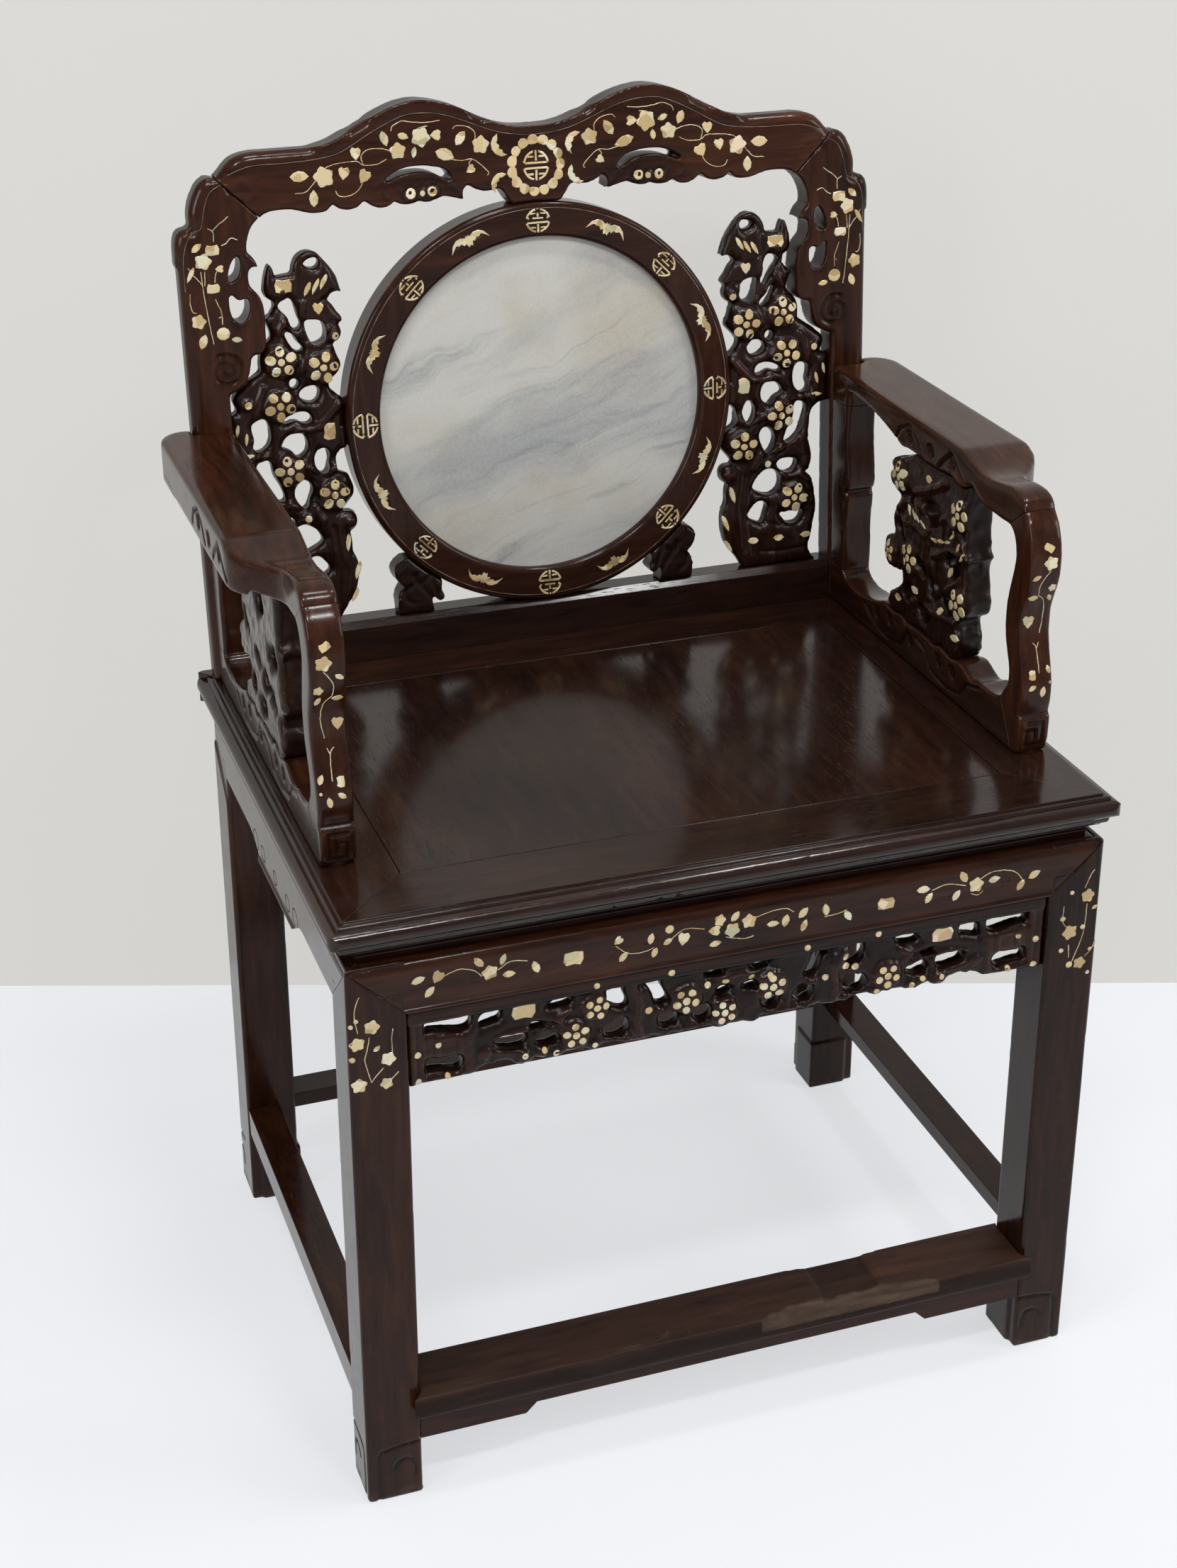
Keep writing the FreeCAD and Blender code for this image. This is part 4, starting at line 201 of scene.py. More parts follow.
def rosewood(tone, letter, carved):
    # The letter is the axis that the fibres follow. Carved wood gets painted shade in its hollows and is dull where
    # it is bare.
    values = wood
    finish = Finish("rosewood_" + tone + letter + ("_carved" if carved else ""))
    dark, middle, light = tones[tone]

    def stretched(label):
        along, across = values[label]
        return [along if axis == letter else across for axis in "XYZ"]

    def deeper(share):
        return (*[value * share for value in dark], 1)

    streak = finish.cloud(stretched("fibre"), 4.0, 0.6, 0.6)
    broad = finish.cloud(stretched("broad"), 3.0, 0.6, 0.4, shift=(3.1, 1.7, 0.4))
    pore = finish.cloud(stretched("pore"), 2.0, 0.5).over(0.60, 0.72)
    touched = finish.cloud(values["touched"], 3.0, 0.6, 0.3)
    place = streak * values["fibreShare"] + broad * values["broadShare"] + values["toneShift"]
    colour = finish.ramp(place, [(0.30, dark), (0.52, middle), (0.78, light)])
    colour = finish.mix(pore * values["poreDark"], colour, deeper(0.35))
    rough = values["wornRough"] if tone == "worn" else values["rough"]
    ior = values["seatIor"] if tone == "seat" else values["ior"]
    height = (1 - pore) * 0.5 + streak * 0.5
    if not carved:
        edge = finish.node("ShaderNodeBevel", {"samples": 6}, {"Radius": values["edge"]})
        bump = finish.bump(height, 0.16, 0.0003, Normal=edge)
        return finish.close(colour, rough + (touched - 0.5) * 0.14 + pore * 0.14, bump, {"IOR": ior})
    # Painted shade: this mark darkens the carved hollows, grooves and walls towards near black; the arms' seams are
    # drawn dark through it too.
    hollow = finish.node("ShaderNodeAttribute", {"attribute_name": "hollow"}, output=2)
    bare = finish.node("ShaderNodeAttribute", {"attribute_name": "bare"}, output=2)
    colour = finish.mix(hollow * values["shadeShare"], colour, deeper(values["shadeDark"]))
    colour = finish.mix(bare, colour, finish.ramp(place, values["bare"]))
    roughness = rough + values["carvedRough"] + (touched - 0.5) * 0.14 + pore * 0.14
    roughness = roughness + hollow * values["hollowRough"] + bare * values["bareRough"]
    return finish.close(colour, roughness, finish.bump(height, 0.16, 0.0003), {"IOR": ior})


finishes = {}
for code in ("seatX", "seatY", "deepX", "deepY", "deepZ", "redX", "redY", "redZ", "wornX", "blackX", "blackZ"):
    finishes[code] = rosewood(code[:-1], code[-1], False)
for code in ("deepX", "deepY", "deepZ", "redX", "redY", "redZ", "wornX", "blackX"):
    finishes[code + "Carved"] = rosewood(code[:-1], code[-1], True)


def plainWood():
    finish = Finish("plain_back_wood")
    streak = finish.cloud((14.0, 120.0, 120.0), 4.0, 0.6, 0.5)
    speck = finish.cloud((60.0, 900.0, 900.0), 2.0, 0.5)
    stops = [(0.3, (0.10, 0.060, 0.034)), (0.55, (0.19, 0.120, 0.072)), (0.8, (0.27, 0.18, 0.11))]
    return finish.close(finish.ramp(streak, stops), 0.62 + speck * 0.15, finish.bump(speck + streak, 0.4, 0.0004))


marbleLook = {
    "rise": 0.29,                 # the grey bands climb to the right
    "clear": (0.445, 0.435, 0.40, 1), "stain": (0.37, 0.325, 0.25, 1),
    "grey": (0.265, 0.27, 0.275, 1), "vein": (0.165, 0.17, 0.175, 1), "speck": (0.60, 0.59, 0.55, 1),
}


def marbleFinish():
    values = marbleLook
    finish = Finish("veined_marble")
    place = finish.node("ShaderNodeSeparateXYZ", {}, {"Vector": finish.node("ShaderNodeTexCoord").out("Object")})
    x, z = place.out("X"), place.out("Z")
    turn, lift = math.cos(values["rise"]), math.sin(values["rise"])
    bend = (finish.cloud(7.0, 3.0, 0.55) - 0.5) * 0.075
    along = x * turn + z * lift
    across = z * turn - x * lift + bend

    def bands(run, fall, shift, detail, rough, warp):
        sockets = {"X": along * run + shift, "Y": across * fall, "Z": shift}
        return finish.noise(finish.node("ShaderNodeCombineXYZ", {}, sockets), detail, rough, warp)

    broad = bands(3.2, 19.0, 1.7, 4.0, 0.60, 0.5)
    fine = bands(7.0, 62.0, 5.3, 7.0, 0.68, 0.9)
    slow = bands(2.6, 7.0, 9.1, 2.0, 0.50, 0.0)
    warm = finish.cloud(8.0, 4.0, 0.6, shift=(4.0, 1.0, 2.0))
    grain = finish.cloud(420.0, 3.0, 0.6)
    colour = finish.mix(warm.over(0.42, 0.72) * 0.75, values["clear"], values["stain"])
    colour = finish.mix(broad.over(0.40, 0.70) * 0.86, colour, values["grey"])
    colour = finish.mix(fine.over(0.50, 0.74) * slow.over(0.38, 0.58) * 0.78, colour, values["vein"])
    colour = finish.mix(grain.over(0.35, 0.75) * 0.16, colour, values["speck"])
    return finish.close(colour, 0.30 + (grain - 0.5) * 0.12, finish.bump(grain, 0.12, 0.0002))


def pearlFinish():
    finish = Finish("mother_of_pearl")
    # Each cut plate is its own slice of shell, so hue steps with small cells and streaks run inside them.
    sockets = {"Vector": finish.space([1.0] * 3), "Scale": 95.0}
    cell = finish.node("ShaderNodeTexVoronoi", {"feature": "F1"}, sockets, output=1)
    streak = finish.cloud((260.0, 260.0, 900.0), 3.0, 0.6, 1.2, turn=(0.4, 0.7, 0.2))
    parted = finish.node("ShaderNodeSeparateColor", {}, {"Color": cell})
    pick = parted.out("Red") * 0.75 + streak * 0.35
    stops = [
        (0.10, (0.26, 0.165, 0.065)), (0.34, (0.43, 0.310, 0.145)), (0.56, (0.56, 0.440, 0.235)),
        (0.74, (0.50, 0.415, 0.245)), (0.92, (0.64, 0.570, 0.400)),
    ]
    sheen = finish.mix(parted.out("Green").over(0.78, 0.97) * 0.28, finish.ramp(pick, stops), (0.42, 0.58, 0.46, 1))
    sheen = finish.mix(parted.out("Blue").over(0.80, 0.97) * 0.28, sheen, (0.74, 0.46, 0.36, 1))
    coat = {"Coat Weight": 0.4, "Coat Roughness": 0.12}
    return finish.close(sheen, 0.30 + streak * 0.12, finish.bump(streak, 0.3, 0.0002), coat)


def lineFinish(name, dark, light, rough):
    finish = Finish(name)
    cloud = finish.cloud(90.0, 2.0, 0.5)
    return finish.close(finish.ramp(cloud, [(0.35, dark), (0.65, light)]), rough + cloud * 0.2, None, {"IOR": 1.2})


finishes["joint"] = lineFinish("joint_wax", (0.0016, 0.0010, 0.0008), (0.0060, 0.0036, 0.0026), 0.55)
# A pale line of painted highlight along the bead of the crest, the stiles and the ring.
finishes["edge"] = lineFinish("worn_edge", (0.075, 0.050, 0.036), (0.260, 0.200, 0.155), 0.28)
finishes["plain"] = plainWood()
finishes["marble"] = marbleFinish()
finishes["pearl"] = pearlFinish()
print("finishes made:", len(finishes))


def paint(thing, finish):
    thing.data.materials.clear()
    thing.data.materials.append(finishes[finish])


def addPiece(name, data):
    thing = bpy.data.objects.new(name, data)
    scene.collection.objects.link(thing)
    return thing


# The shot: floor, wall, lamps and camera.
def stagePlane(name, corners, material):
    mesh = bpy.data.meshes.new(name)
    mesh.from_pydata(corners, [], [(0, 1, 2, 3)])
    plane = addPiece(name, mesh)
    mesh.materials.append(material)


def paleSurface(name, colour, seen, share, rough, oneSided=False):
    # What the camera and reflections see is partly the plain pale colour, so the shadow stays but is soft.
    finish = Finish(name)
    cloud = finish.cloud(1.4, 2.0, 0.5) * 0.25
    shade = finish.mix(cloud, (*colour, 1), (*[value * 0.93 for value in colour], 1))
    plain = finish.mix(cloud, (*seen, 1), (*[value * 0.95 for value in seen], 1))
    sockets = {"Base Color": shade, "Roughness": rough, "Specular IOR Level": 0.3}
    shader = finish.node("ShaderNodeBsdfPrincipled", {}, sockets)
    glow = finish.node("ShaderNodeEmission", {}, {"Color": plain, "Strength": 1.0})
    path = finish.node("ShaderNodeLightPath")
    looked = path.out("Is Camera Ray") + path.out("Is Glossy Ray") + path.out("Is Transmission Ray")
    shader = finish.node("ShaderNodeMixShader", {}, {0: looked * share, 1: shader, 2: glow})
    if oneSided:
        # From behind, the wall lets the eye through, so the chair's back can be seen.
        behind = finish.node("ShaderNodeNewGeometry").out("Backfacing")
        clear = finish.node("ShaderNodeBsdfTransparent")
        shader = finish.node("ShaderNodeMixShader", {}, {0: behind, 1: shader, 2: clear})
    finish.node("ShaderNodeOutputMaterial", {}, {"Surface": shader})
    return finish.material


def lamp(name, place, aim, size, power):
    data = bpy.data.lights.new(name, "AREA")
    data.shape = "RECTANGLE"
    data.size, data.size_y = size
    data.energy = power
    thing = addPiece(name, data)
    thing.location = place
    thing.rotation_euler = (Vector(aim) - Vector(place)).to_track_quat("-Z", "Y").to_euler()


lamps = {
    # Place, the point that it faces, size and power.
    "frontLeft": ((-0.75, -1.5, 2.6), (0, 0, 0.4), (0.42, 0.18), 17),
    "frontRight": ((0.15, -1.5, 2.6), (0, 0, 0.4), (0.42, 0.18), 17),
    "rearLeft": ((-0.05, -0.3, 2.7), (0, 0, 0.5), (0.42, 0.18), 12),
    "rearRight": ((0.85, -0.3, 2.7), (0, 0, 0.5), (0.42, 0.18), 12),
    "windowLeft": ((-2.4, -1.2, 1.6), (0, 0, 0.5), (0.8, 1.3), 26),
    "windowRight": ((2.3, -1.5, 1.7), (0, 0, 0.5), (0.8, 1.2), 24),
}


def buildWorld():
    world = bpy.data.worlds.new("room")
    scene.world = world
    world.use_nodes = True
    room = Graph(world.node_tree)
    room.tree.nodes.clear()
    light = {"Color": shot["worldColour"], "Strength": shot["worldStrength"]}
    pale = {"Color": shot["worldSeen"], "Strength": 1.0}
    path = room.node("ShaderNodeLightPath")
    looked = path.out("Is Camera Ray") + path.out("Is Transmission Ray")
    seen = room.node("ShaderNodeMixShader", {}, {
        0: looked, 1: room.node("ShaderNodeBackground", {}, light), 2: room.node("ShaderNodeBackground", {}, pale)
    })
    room.node("ShaderNodeOutputWorld", {}, {"Surface": seen})


def buildShot():
    half = shot["roomSize"]
    corners = [(-half, -half, 0), (half, -half, 0), (half, half, 0), (-half, half, 0)]
    stagePlane("floor", corners, paleSurface("pale_floor", **shot["floor"]))
    heading = shot["turn"][2]
    across = Vector((math.cos(heading), math.sin(heading), 0)) * half
    foot, up = Vector(shot["wallPoint"]), Vector((0, 0, half))
    corners = [foot - across, foot + across, foot + across + up, foot - across + up]
    stagePlane("wall", corners, paleSurface("pale_wall", **shot["wall"], oneSided=True))
    for name, values in lamps.items():
        lamp(name, *values)
    buildWorld()
    scene.view_settings.view_transform = "Standard"
    data = bpy.data.cameras.new("camera")
    data.sensor_fit = "VERTICAL"
    data.sensor_height = shot["sensor"]
    data.lens = shot["lens"]
    camera = addPiece("camera", data)
    camera.location = shot["place"]
    camera.rotation_euler = shot["turn"]
    scene.camera = camera


buildShot()
print("floor, wall, lamps and camera placed")

# The chair's sizes, and the faces that carving and inlay are laid out on.
rake = math.radians(4)
chair = {
    "seatTop": 510 * mm,
    "backFront": 193.7 * mm,      # the back's front face, at the seat
    "apronFront": -237.5 * mm,
    "crestLow": 366 * mm, "crestZone": 92.2 * mm, "backHalf": 296 * mm,
    "bracketInner": 215 * mm, "bracketWidth": 81 * mm, "bracketLow": 230.5 * mm, "bracketZone": 185.5 * mm,
    "panelInner": 150 * mm, "panelWidth": 112 * mm,
    "panelLow": 34.5 * mm, "panelZone": 311 * mm, "panelSetback": 5.5 * mm,
    "ringCentre": 201.8 * mm,
    "friezeHalf": 256 * mm, "friezeLow": 366 * mm, "friezeZone": 68 * mm,
    "armInner": 263 * mm, "armStart": -159.3 * mm, "armReach": 353 * mm, "armZone": 212 * mm,
    "splatStart": -103.3 * mm, "splatReach": 200 * mm, "splatLow": 552 * mm, "splatZone": 148 * mm,
    "sideApron": 297 * mm,
}
ringParts = ["ring_top", "ring_bottom", "ring_left", "ring_right"]


class Board:
    # A flat face of the chair: a and b run across and up it, h stands out of it.
    def __init__(self, origin, across, up, out):
        self.origin = np.array(origin, float)
        self.axes = np.array([across, up, out], float)
        self.out = Vector(out)

    def flatten(self, points):
        return (points - self.origin) @ self.axes.T

    def place(self, flat):
        return flat @ self.axes + self.origin


up = (0, math.sin(rake), math.cos(rake))
out = (0, -math.cos(rake), math.sin(rake))
backFace = Board((0, chair["backFront"], chair["seatTop"]), (1, 0, 0), up, out)
panelFace = Board(backFace.place(np.array([0, 0, -chair["panelSetback"]])), (1, 0, 0), up, out)
frontFace = Board((0, chair["apronFront"], 0), (1, 0, 0), (0, 0, 1), (0, -1, 0))
postFace = Board((0, chair["armStart"], 0), (1, 0, 0), (0, 0, 1), (0, -1, 0))
seatFace = Board((0, 0, chair["seatTop"]), (1, 0, 0), (0, 1, 0), (0, 0, 1))


def sideFace(place, way):
    return Board((place, 0, 0), (0, 1, 0), (0, 0, 1), (way, 0, 0))


armFaces = {side: sideFace(side * chair["armInner"], -side) for side in (1, -1)}


# Share maps: from the shares that the tables are written in to metres on the face.
def onCrest(side, u, v):
    return side * chair["backHalf"] * (1 - u), chair["crestLow"] + v * chair["crestZone"]


def onStile(side, u, v):
    a = side * (chair["bracketInner"] + u * chair["bracketWidth"])
    return a, chair["bracketLow"] + v * chair["bracketZone"]


def onPanel(side, u, v):
    return side * (chair["panelInner"] + u * chair["panelWidth"]), chair["panelLow"] + v * chair["panelZone"]


def onFrieze(side, u, v):
    return side * chair["friezeHalf"] * (1 - u), chair["friezeLow"] + v * chair["friezeZone"]


def onSplat(side, u, v):
    return chair["splatStart"] + u * chair["splatReach"], chair["splatLow"] + v * chair["splatZone"]


def onArm(side, u, v):
    return chair["armStart"] + u * chair["armReach"], chair["seatTop"] + v * chair["armZone"]
def onArmShares(flat):
    # The way back: from metres on the arm's face to shares.
    return (flat[0] - chair["armStart"]) / chair["armReach"], (flat[1] - chair["seatTop"]) / chair["armZone"]


def onPost(side, u, v):
    return side * (chair["armInner"] + u * mm), chair["seatTop"] + v * mm


def onSeat(side, u, v):
    return side * u * mm, v * mm


def onFront(side, u, v):
    return u * mm, v * mm


def onRing(side, u, v):
    return u * beadHighlights["ringRadius"], chair["ringCentre"] + v * beadHighlights["ringRadius"]


def asGiven(side, u, v):
    return u, v


def meshOf(shape, name):
    mesh = bpy.data.meshes.new(name)
    shape.to_mesh(mesh)
    shape.free()
    return mesh


def joinedMesh(name):
    # A CAD node's mesh is loose triangles, so a copy is merged first.
    mesh = nodes[name].data.copy()
    shape = bmesh.new()
    shape.from_mesh(mesh)
    bmesh.ops.remove_doubles(shape, verts=shape.verts, dist=0.002 * mm)
    shape.to_mesh(mesh)
    shape.free()
    return mesh


def settle(thing):
    # Modifiers become the plain mesh.
    graph = bpy.context.evaluated_depsgraph_get()
    mesh = bpy.data.meshes.new_from_object(thing.evaluated_get(graph))
    thing.modifiers.clear()
    thing.data = mesh
    return thing


def evened(name, mesh, voxel):
    # A piece whose faces are small and even, ready to be carved.
    thing = addPiece(name, mesh)
    remesh = thing.modifiers.new("even", "REMESH")
    remesh.mode = "VOXEL"
    remesh.voxel_size = voxel
    return settle(thing)


def writeMark(mesh, label, values):
    mark = mesh.attributes.new(label, "FLOAT", "POINT")
    mark.data.foreach_set("value", values.astype(np.float32))


def readPoints(mesh):
    points = np.zeros(len(mesh.vertices) * 3)
    mesh.vertices.foreach_get("co", points)
    return points.reshape(-1, 3)


def writePoints(mesh, points):
    mesh.vertices.foreach_set("co", points.ravel())
    mesh.update()


def readNormals(mesh):
    normals = np.zeros(len(mesh.vertices) * 3)
    mesh.vertex_normals.foreach_get("vector", normals)
    return normals.reshape(-1, 3)


def relax(mesh, points, passes, weight=None):
    ends = np.zeros(len(mesh.edges) * 2, int)
    mesh.edges.foreach_get("vertices", ends)
    one, two = ends.reshape(-1, 2).T
    count = np.bincount(np.concatenate([one, two]), minlength=len(points))[:, None]
    for _ in range(passes):
        total = np.column_stack([
            np.bincount(one, row[two], len(row)) + np.bincount(two, row[one], len(row)) for row in points.T
        ])
        step = (total / np.maximum(count, 1) - points) * 0.5
        points = points + (step if weight is None else step * weight[:, None])
    return points


def soften(value):
    value = np.clip(value, 0, 1)
    return value * value * (3 - 2 * value)


def softNoise(points, scale, seed=0):
    # Smooth noise from a hashed lattice, -1 to 1.
    grid = points * scale + seed * 17.31
    base = np.floor(grid).astype(np.int64)
    part = grid - base
    part = part * part * (3 - 2 * part)
    total = np.zeros(len(points))
    for corner in range(8):
        offset = np.array([corner & 1, corner >> 1 & 1, corner >> 2 & 1])
        cell = base + offset
        mixed = (cell[:, 0] * 73856093 ^ cell[:, 1] * 19349663 ^ cell[:, 2] * 83492791) & 0xFFFFF
        mixed = (mixed * 2654435761 >> 7) & 0xFFFF
        share = np.prod(np.where(offset == 1, part, 1 - part), axis=1)
        total += share * (mixed / 32767.5 - 1)
    return total


def lineDistance(ab, points):
    # How far each place on the face is from a line through these points.
    nearest = np.full(len(ab), 1.0)
    for start, end in zip(points[:-1], points[1:]):
        start, end = np.array(start), np.array(end)
        run = end - start
        along = np.clip(((ab - start) @ run) / max(run @ run, 1e-12), 0, 1)
        nearest = np.minimum(nearest, np.linalg.norm(ab - start - along[:, None] * run, axis=1))
    return nearest


def rimPoints(mesh, board, deepest=2.2 * mm, step=1.0 * mm):
    # Points along the rim of the front face, with the wall's direction. Walls as shallow as a pocket don't count.
    shape = bmesh.new()
    shape.from_mesh(mesh)
    found = []
    out = board.out
    for edge in shape.edges:
        if len(edge.link_faces) != 2:
            continue
        faces = sorted(edge.link_faces, key=lambda face: -face.normal.dot(out))
        if faces[0].normal.dot(out) < 0.9 or faces[1].normal.dot(out) > 0.5:
            continue
        depths = [vert.co.dot(out) for vert in faces[1].verts]
        if max(depths) - min(depths) < deepest:
            continue
        start, end = edge.verts[0].co, edge.verts[1].co
        many = max(1, int((end - start).length / step))
        for number in range(many + 1):
            found.append((*start.lerp(end, number / many), *faces[1].normal))
    shape.free()
    found = np.array(found)
    flat = board.flatten(found[:, :3])
    wall = found[:, 3:] @ board.axes.T
    return np.column_stack([flat[:, :2], wall[:, :2], flat[:, 2]])


def rimDistance(ab, rim):
    tree = KDTree(len(rim))
    for number, (a, b) in enumerate(rim[:, :2]):
        tree.insert((a, b, 0), number)
    tree.balance()
    return np.array([tree.find((a, b, 0))[2] for a, b in ab])


def roundOver(distance, radius, drop):
    share = 1 - np.clip(distance / radius, 0, 1)
    return drop * (1 - np.sqrt(np.clip(1 - share * share, 0, 1)))


carving = {
    "band": 2.2 * mm,       # how far from the face a point still counts as on it
    "facing": 0.55,
    "raised": 1.1 * mm,     # what stands this far out isn't sunk with the ground
    "slack": 0.6 * mm,
    # wallShade is painted shade on the walls of the openings cut through a piece.
    "wallShade": 0.75, "wobbleScale": 140,
}


def carve(
    name, board, finish, values, stamps=(), backStamps=(), edges=None, passes=2, wobble=0.0, seed=1, shade=0.0,
    ground=None, bare=None,
):
    # Rebuilds a node as carved wood: edges rounded over, then the stamps pressed into or raised from its face.
    # edges is a list of (test, radius, drop); a rim point takes the first test it passes.
    # ground is (test, depth, shade) for the sunk ground between what is raised, which gets painted shade; shade
    # paints the face darker where its edges round over; bare says where the polish is gone.
    mesh = joinedMesh(name)
    rim = rimPoints(mesh, board)
    face = np.median(rim[:, 4])
    thing = evened(name + "_carved", mesh, values["voxel"])
    mesh, thickness = thing.data, values["thickness"]
    points = relax(mesh, readPoints(mesh), 1)
    writePoints(mesh, points)
    flat = board.flatten(points)
    normals = readNormals(mesh) @ board.axes.T
    ab = flat[:, :2]
    depth = np.clip((face - flat[:, 2]) / thickness, 0, 1)
    isFront = (normals[:, 2] > carving["facing"]) & (flat[:, 2] > face - carving["band"])
    isBack = (normals[:, 2] < -carving["facing"]) & (flat[:, 2] < face - thickness + carving["band"])
    depth = np.where(isFront, 0, np.where(isBack, 1, depth))
    drop = np.zeros(len(ab))
    left = np.ones(len(rim), bool)
    for test, radius, fall in edges or [(anyRim, values["round"], values["drop"])]:
        chosen = left & test(rim)
        left &= ~chosen
        if fall and chosen.any():
            drop = np.maximum(drop, roundOver(rimDistance(ab, rim[chosen]), radius, fall))
    front, back = -drop, -thickness + drop
    hollow, backShade = np.zeros(len(ab)), np.zeros(len(ab))
    for stamp in stamps:
        lift, dark = stamp(ab)
        front = front + lift
        hollow = np.maximum(hollow, dark)
    if ground:
        test, depthDown, sunkShade = ground
        low = test(ab) * (1 - soften((front + drop) / carving["raised"]))
        front = front - depthDown * low
        hollow = np.maximum(hollow, sunkShade * low)
    for stamp in backStamps:
        lift, dark = stamp(ab)
        back = back - lift
        backShade = np.maximum(backShade, dark)
    inside = (flat[:, 2] < face + carving["slack"]) & (flat[:, 2] > face - thickness - carving["slack"])
    flat[:, 2] = np.where(inside, face + front + (back - front) * depth, flat[:, 2])
    onWall = np.clip(depth * (1 - depth) * 5, 0, 1)
    if wobble:
        flat[:, 0] += wobble * softNoise(flat, carving["wobbleScale"], seed) * onWall
        flat[:, 1] += wobble * softNoise(flat, carving["wobbleScale"], seed + 5) * onWall
    writePoints(mesh, relax(mesh, board.place(flat), passes))
    # Painted shade: darker in the stamps' hollows, on the walls, and where the edges round over.
    low = shade * soften(drop / max(drop.max(), 1e-6))
    dark = np.maximum(hollow, low) * (1 - depth) + np.maximum(backShade, low) * depth
    writeMark(mesh, "hollow", np.clip(np.maximum(dark, onWall * carving["wallShade"]), 0, 1))
    if bare:
        writeMark(mesh, "bare", np.clip(bare(flat) * (flat[:, 2] > face - 0.6 * thickness), 0, 1))
    return finishPiece(thing, name, finish)


def finishPiece(thing, name, finish):
    thing.data.shade_smooth()
    paint(thing, finish)
    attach(thing, "root")
    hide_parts(name)
    return thing


def anyRim(rim):
    return np.ones(len(rim), bool)


# Stamps: each gives how far the face rises and how much painted shade its hollows get.
def blossomStamp(centres, radius, lift):
    def stamp(ab):
        rise = np.zeros(len(ab))
        dark = np.zeros(len(ab))
        for number, (a, b, size) in enumerate(centres):
            away = ab - np.array([a, b])
            r = np.linalg.norm(away, axis=1)
            angle = np.arctan2(away[:, 1], away[:, 0])
            reach = radius * size * (0.94 + 0.06 * np.cos(5 * angle + number * 1.3))
            top = soften((reach - r) / (2.0 * mm) + 0.5)
            moat = np.exp(-((r - reach - 1.6 * mm) / (1.3 * mm)) ** 2)
            rise = np.maximum(rise, top * lift)
            rise = rise - moat * 0.9 * mm * (1 - top)
            # Painted shade in the moat round each blossom.
            dark = np.maximum(dark * (1 - top), moat * 0.9)
        return rise, dark

    return stamp


def grooveStamp(lines, width, depth, grooveShade=0.8):
    def stamp(ab):
        cut = np.zeros(len(ab))
        for line in lines:
            cut = np.maximum(cut, np.exp(-(lineDistance(ab, line) / width) ** 2))
        # Painted shade in the groove.
        return -depth * cut, cut * grooveShade

    return stamp


def ridgeStamp(lines, width, lift):
    def stamp(ab):
        rise = np.zeros(len(ab))
        edge = np.zeros(len(ab))
        for line in lines:
            distance = lineDistance(ab, line)
            rise = np.maximum(rise, np.sqrt(np.clip(1 - (distance / width) ** 2, 0, 1)))
            edge = np.maximum(edge, np.exp(-((distance - width * 1.15) / (0.8 * mm)) ** 2))
        # Painted shade in the small groove along the foot of each ridge.
        return lift * rise - edge * 0.4 * mm, edge * 0.7 * (rise < 0.3)

    return stamp


def press(points, normals, board, lines, width, depth, reach):
    # Presses grooves into what faces the board; gives the new points and how much painted shade each groove gets.
    flat = board.flatten(points)
    facing = normals @ board.axes[2]
    cut = np.zeros(len(points))
    near = (facing > 0.35) & (np.abs(flat[:, 2]) < reach)
    for line in lines:
        distance = lineDistance(flat[near][:, :2], line)
        cut[near] = np.maximum(cut[near], np.exp(-(distance / width) ** 2))
    flat[:, 2] -= depth * cut
    return board.place(flat), cut


def barkStamp(depth, along=0.35, seed=2):
    def stamp(ab):
        flat = np.column_stack([ab[:, 0], ab[:, 1] * along, ab[:, 0] * 0])
        rough = softNoise(flat, 260, seed) * 0.6 + softNoise(flat, 520, seed + 1) * 0.4
        # Painted shade in the low spots of the bark.
        return depth * rough, np.clip(-rough, 0, 1) * 0.55

    return stamp


# The finish of each CAD node; a name that ends in _ stands for a left and a right one.
cadFinishes = {
    "seatX": "seat_rail_front seat_rail_rear",
    "seatY": "seat_rail_ seat_panel",
    "plain": "seat_battens disc_backboard joint_pegs",
    "deepX": "waist_front waist_rear apron_rear stretcher_rear footrest_apron ring_top ring_bottom",
    "deepY": "waist_ apron_ stretcher_ arm_base_",
    "deepZ": "leg_front_ leg_rear_ ring_ arm_post_rear_",
    "redX": "apron_front crest_rail",
    "redY": "arm_rail_",
    "redZ": "stile_ arm_post_front_",
    "wornX": "footrest",
    "blackX": "lower_rail ring_foot_ front_frieze",
    "blackZ": "carved_panel_ arm_splat_",
    "marble": "marble_disc",
    "pearl": "crest_inlay stile_inlay ring_inlay carved_inlay splat_inlay post_inlay frieze_inlay apron_inlay"
             " leg_inlay",
}
for finish, names in cadFinishes.items():
    for name in names.split():
        for node in [name + "left", name + "right"] if name.endswith("_") else [name]:
            paint(nodes[node], finish)
print("frame painted")

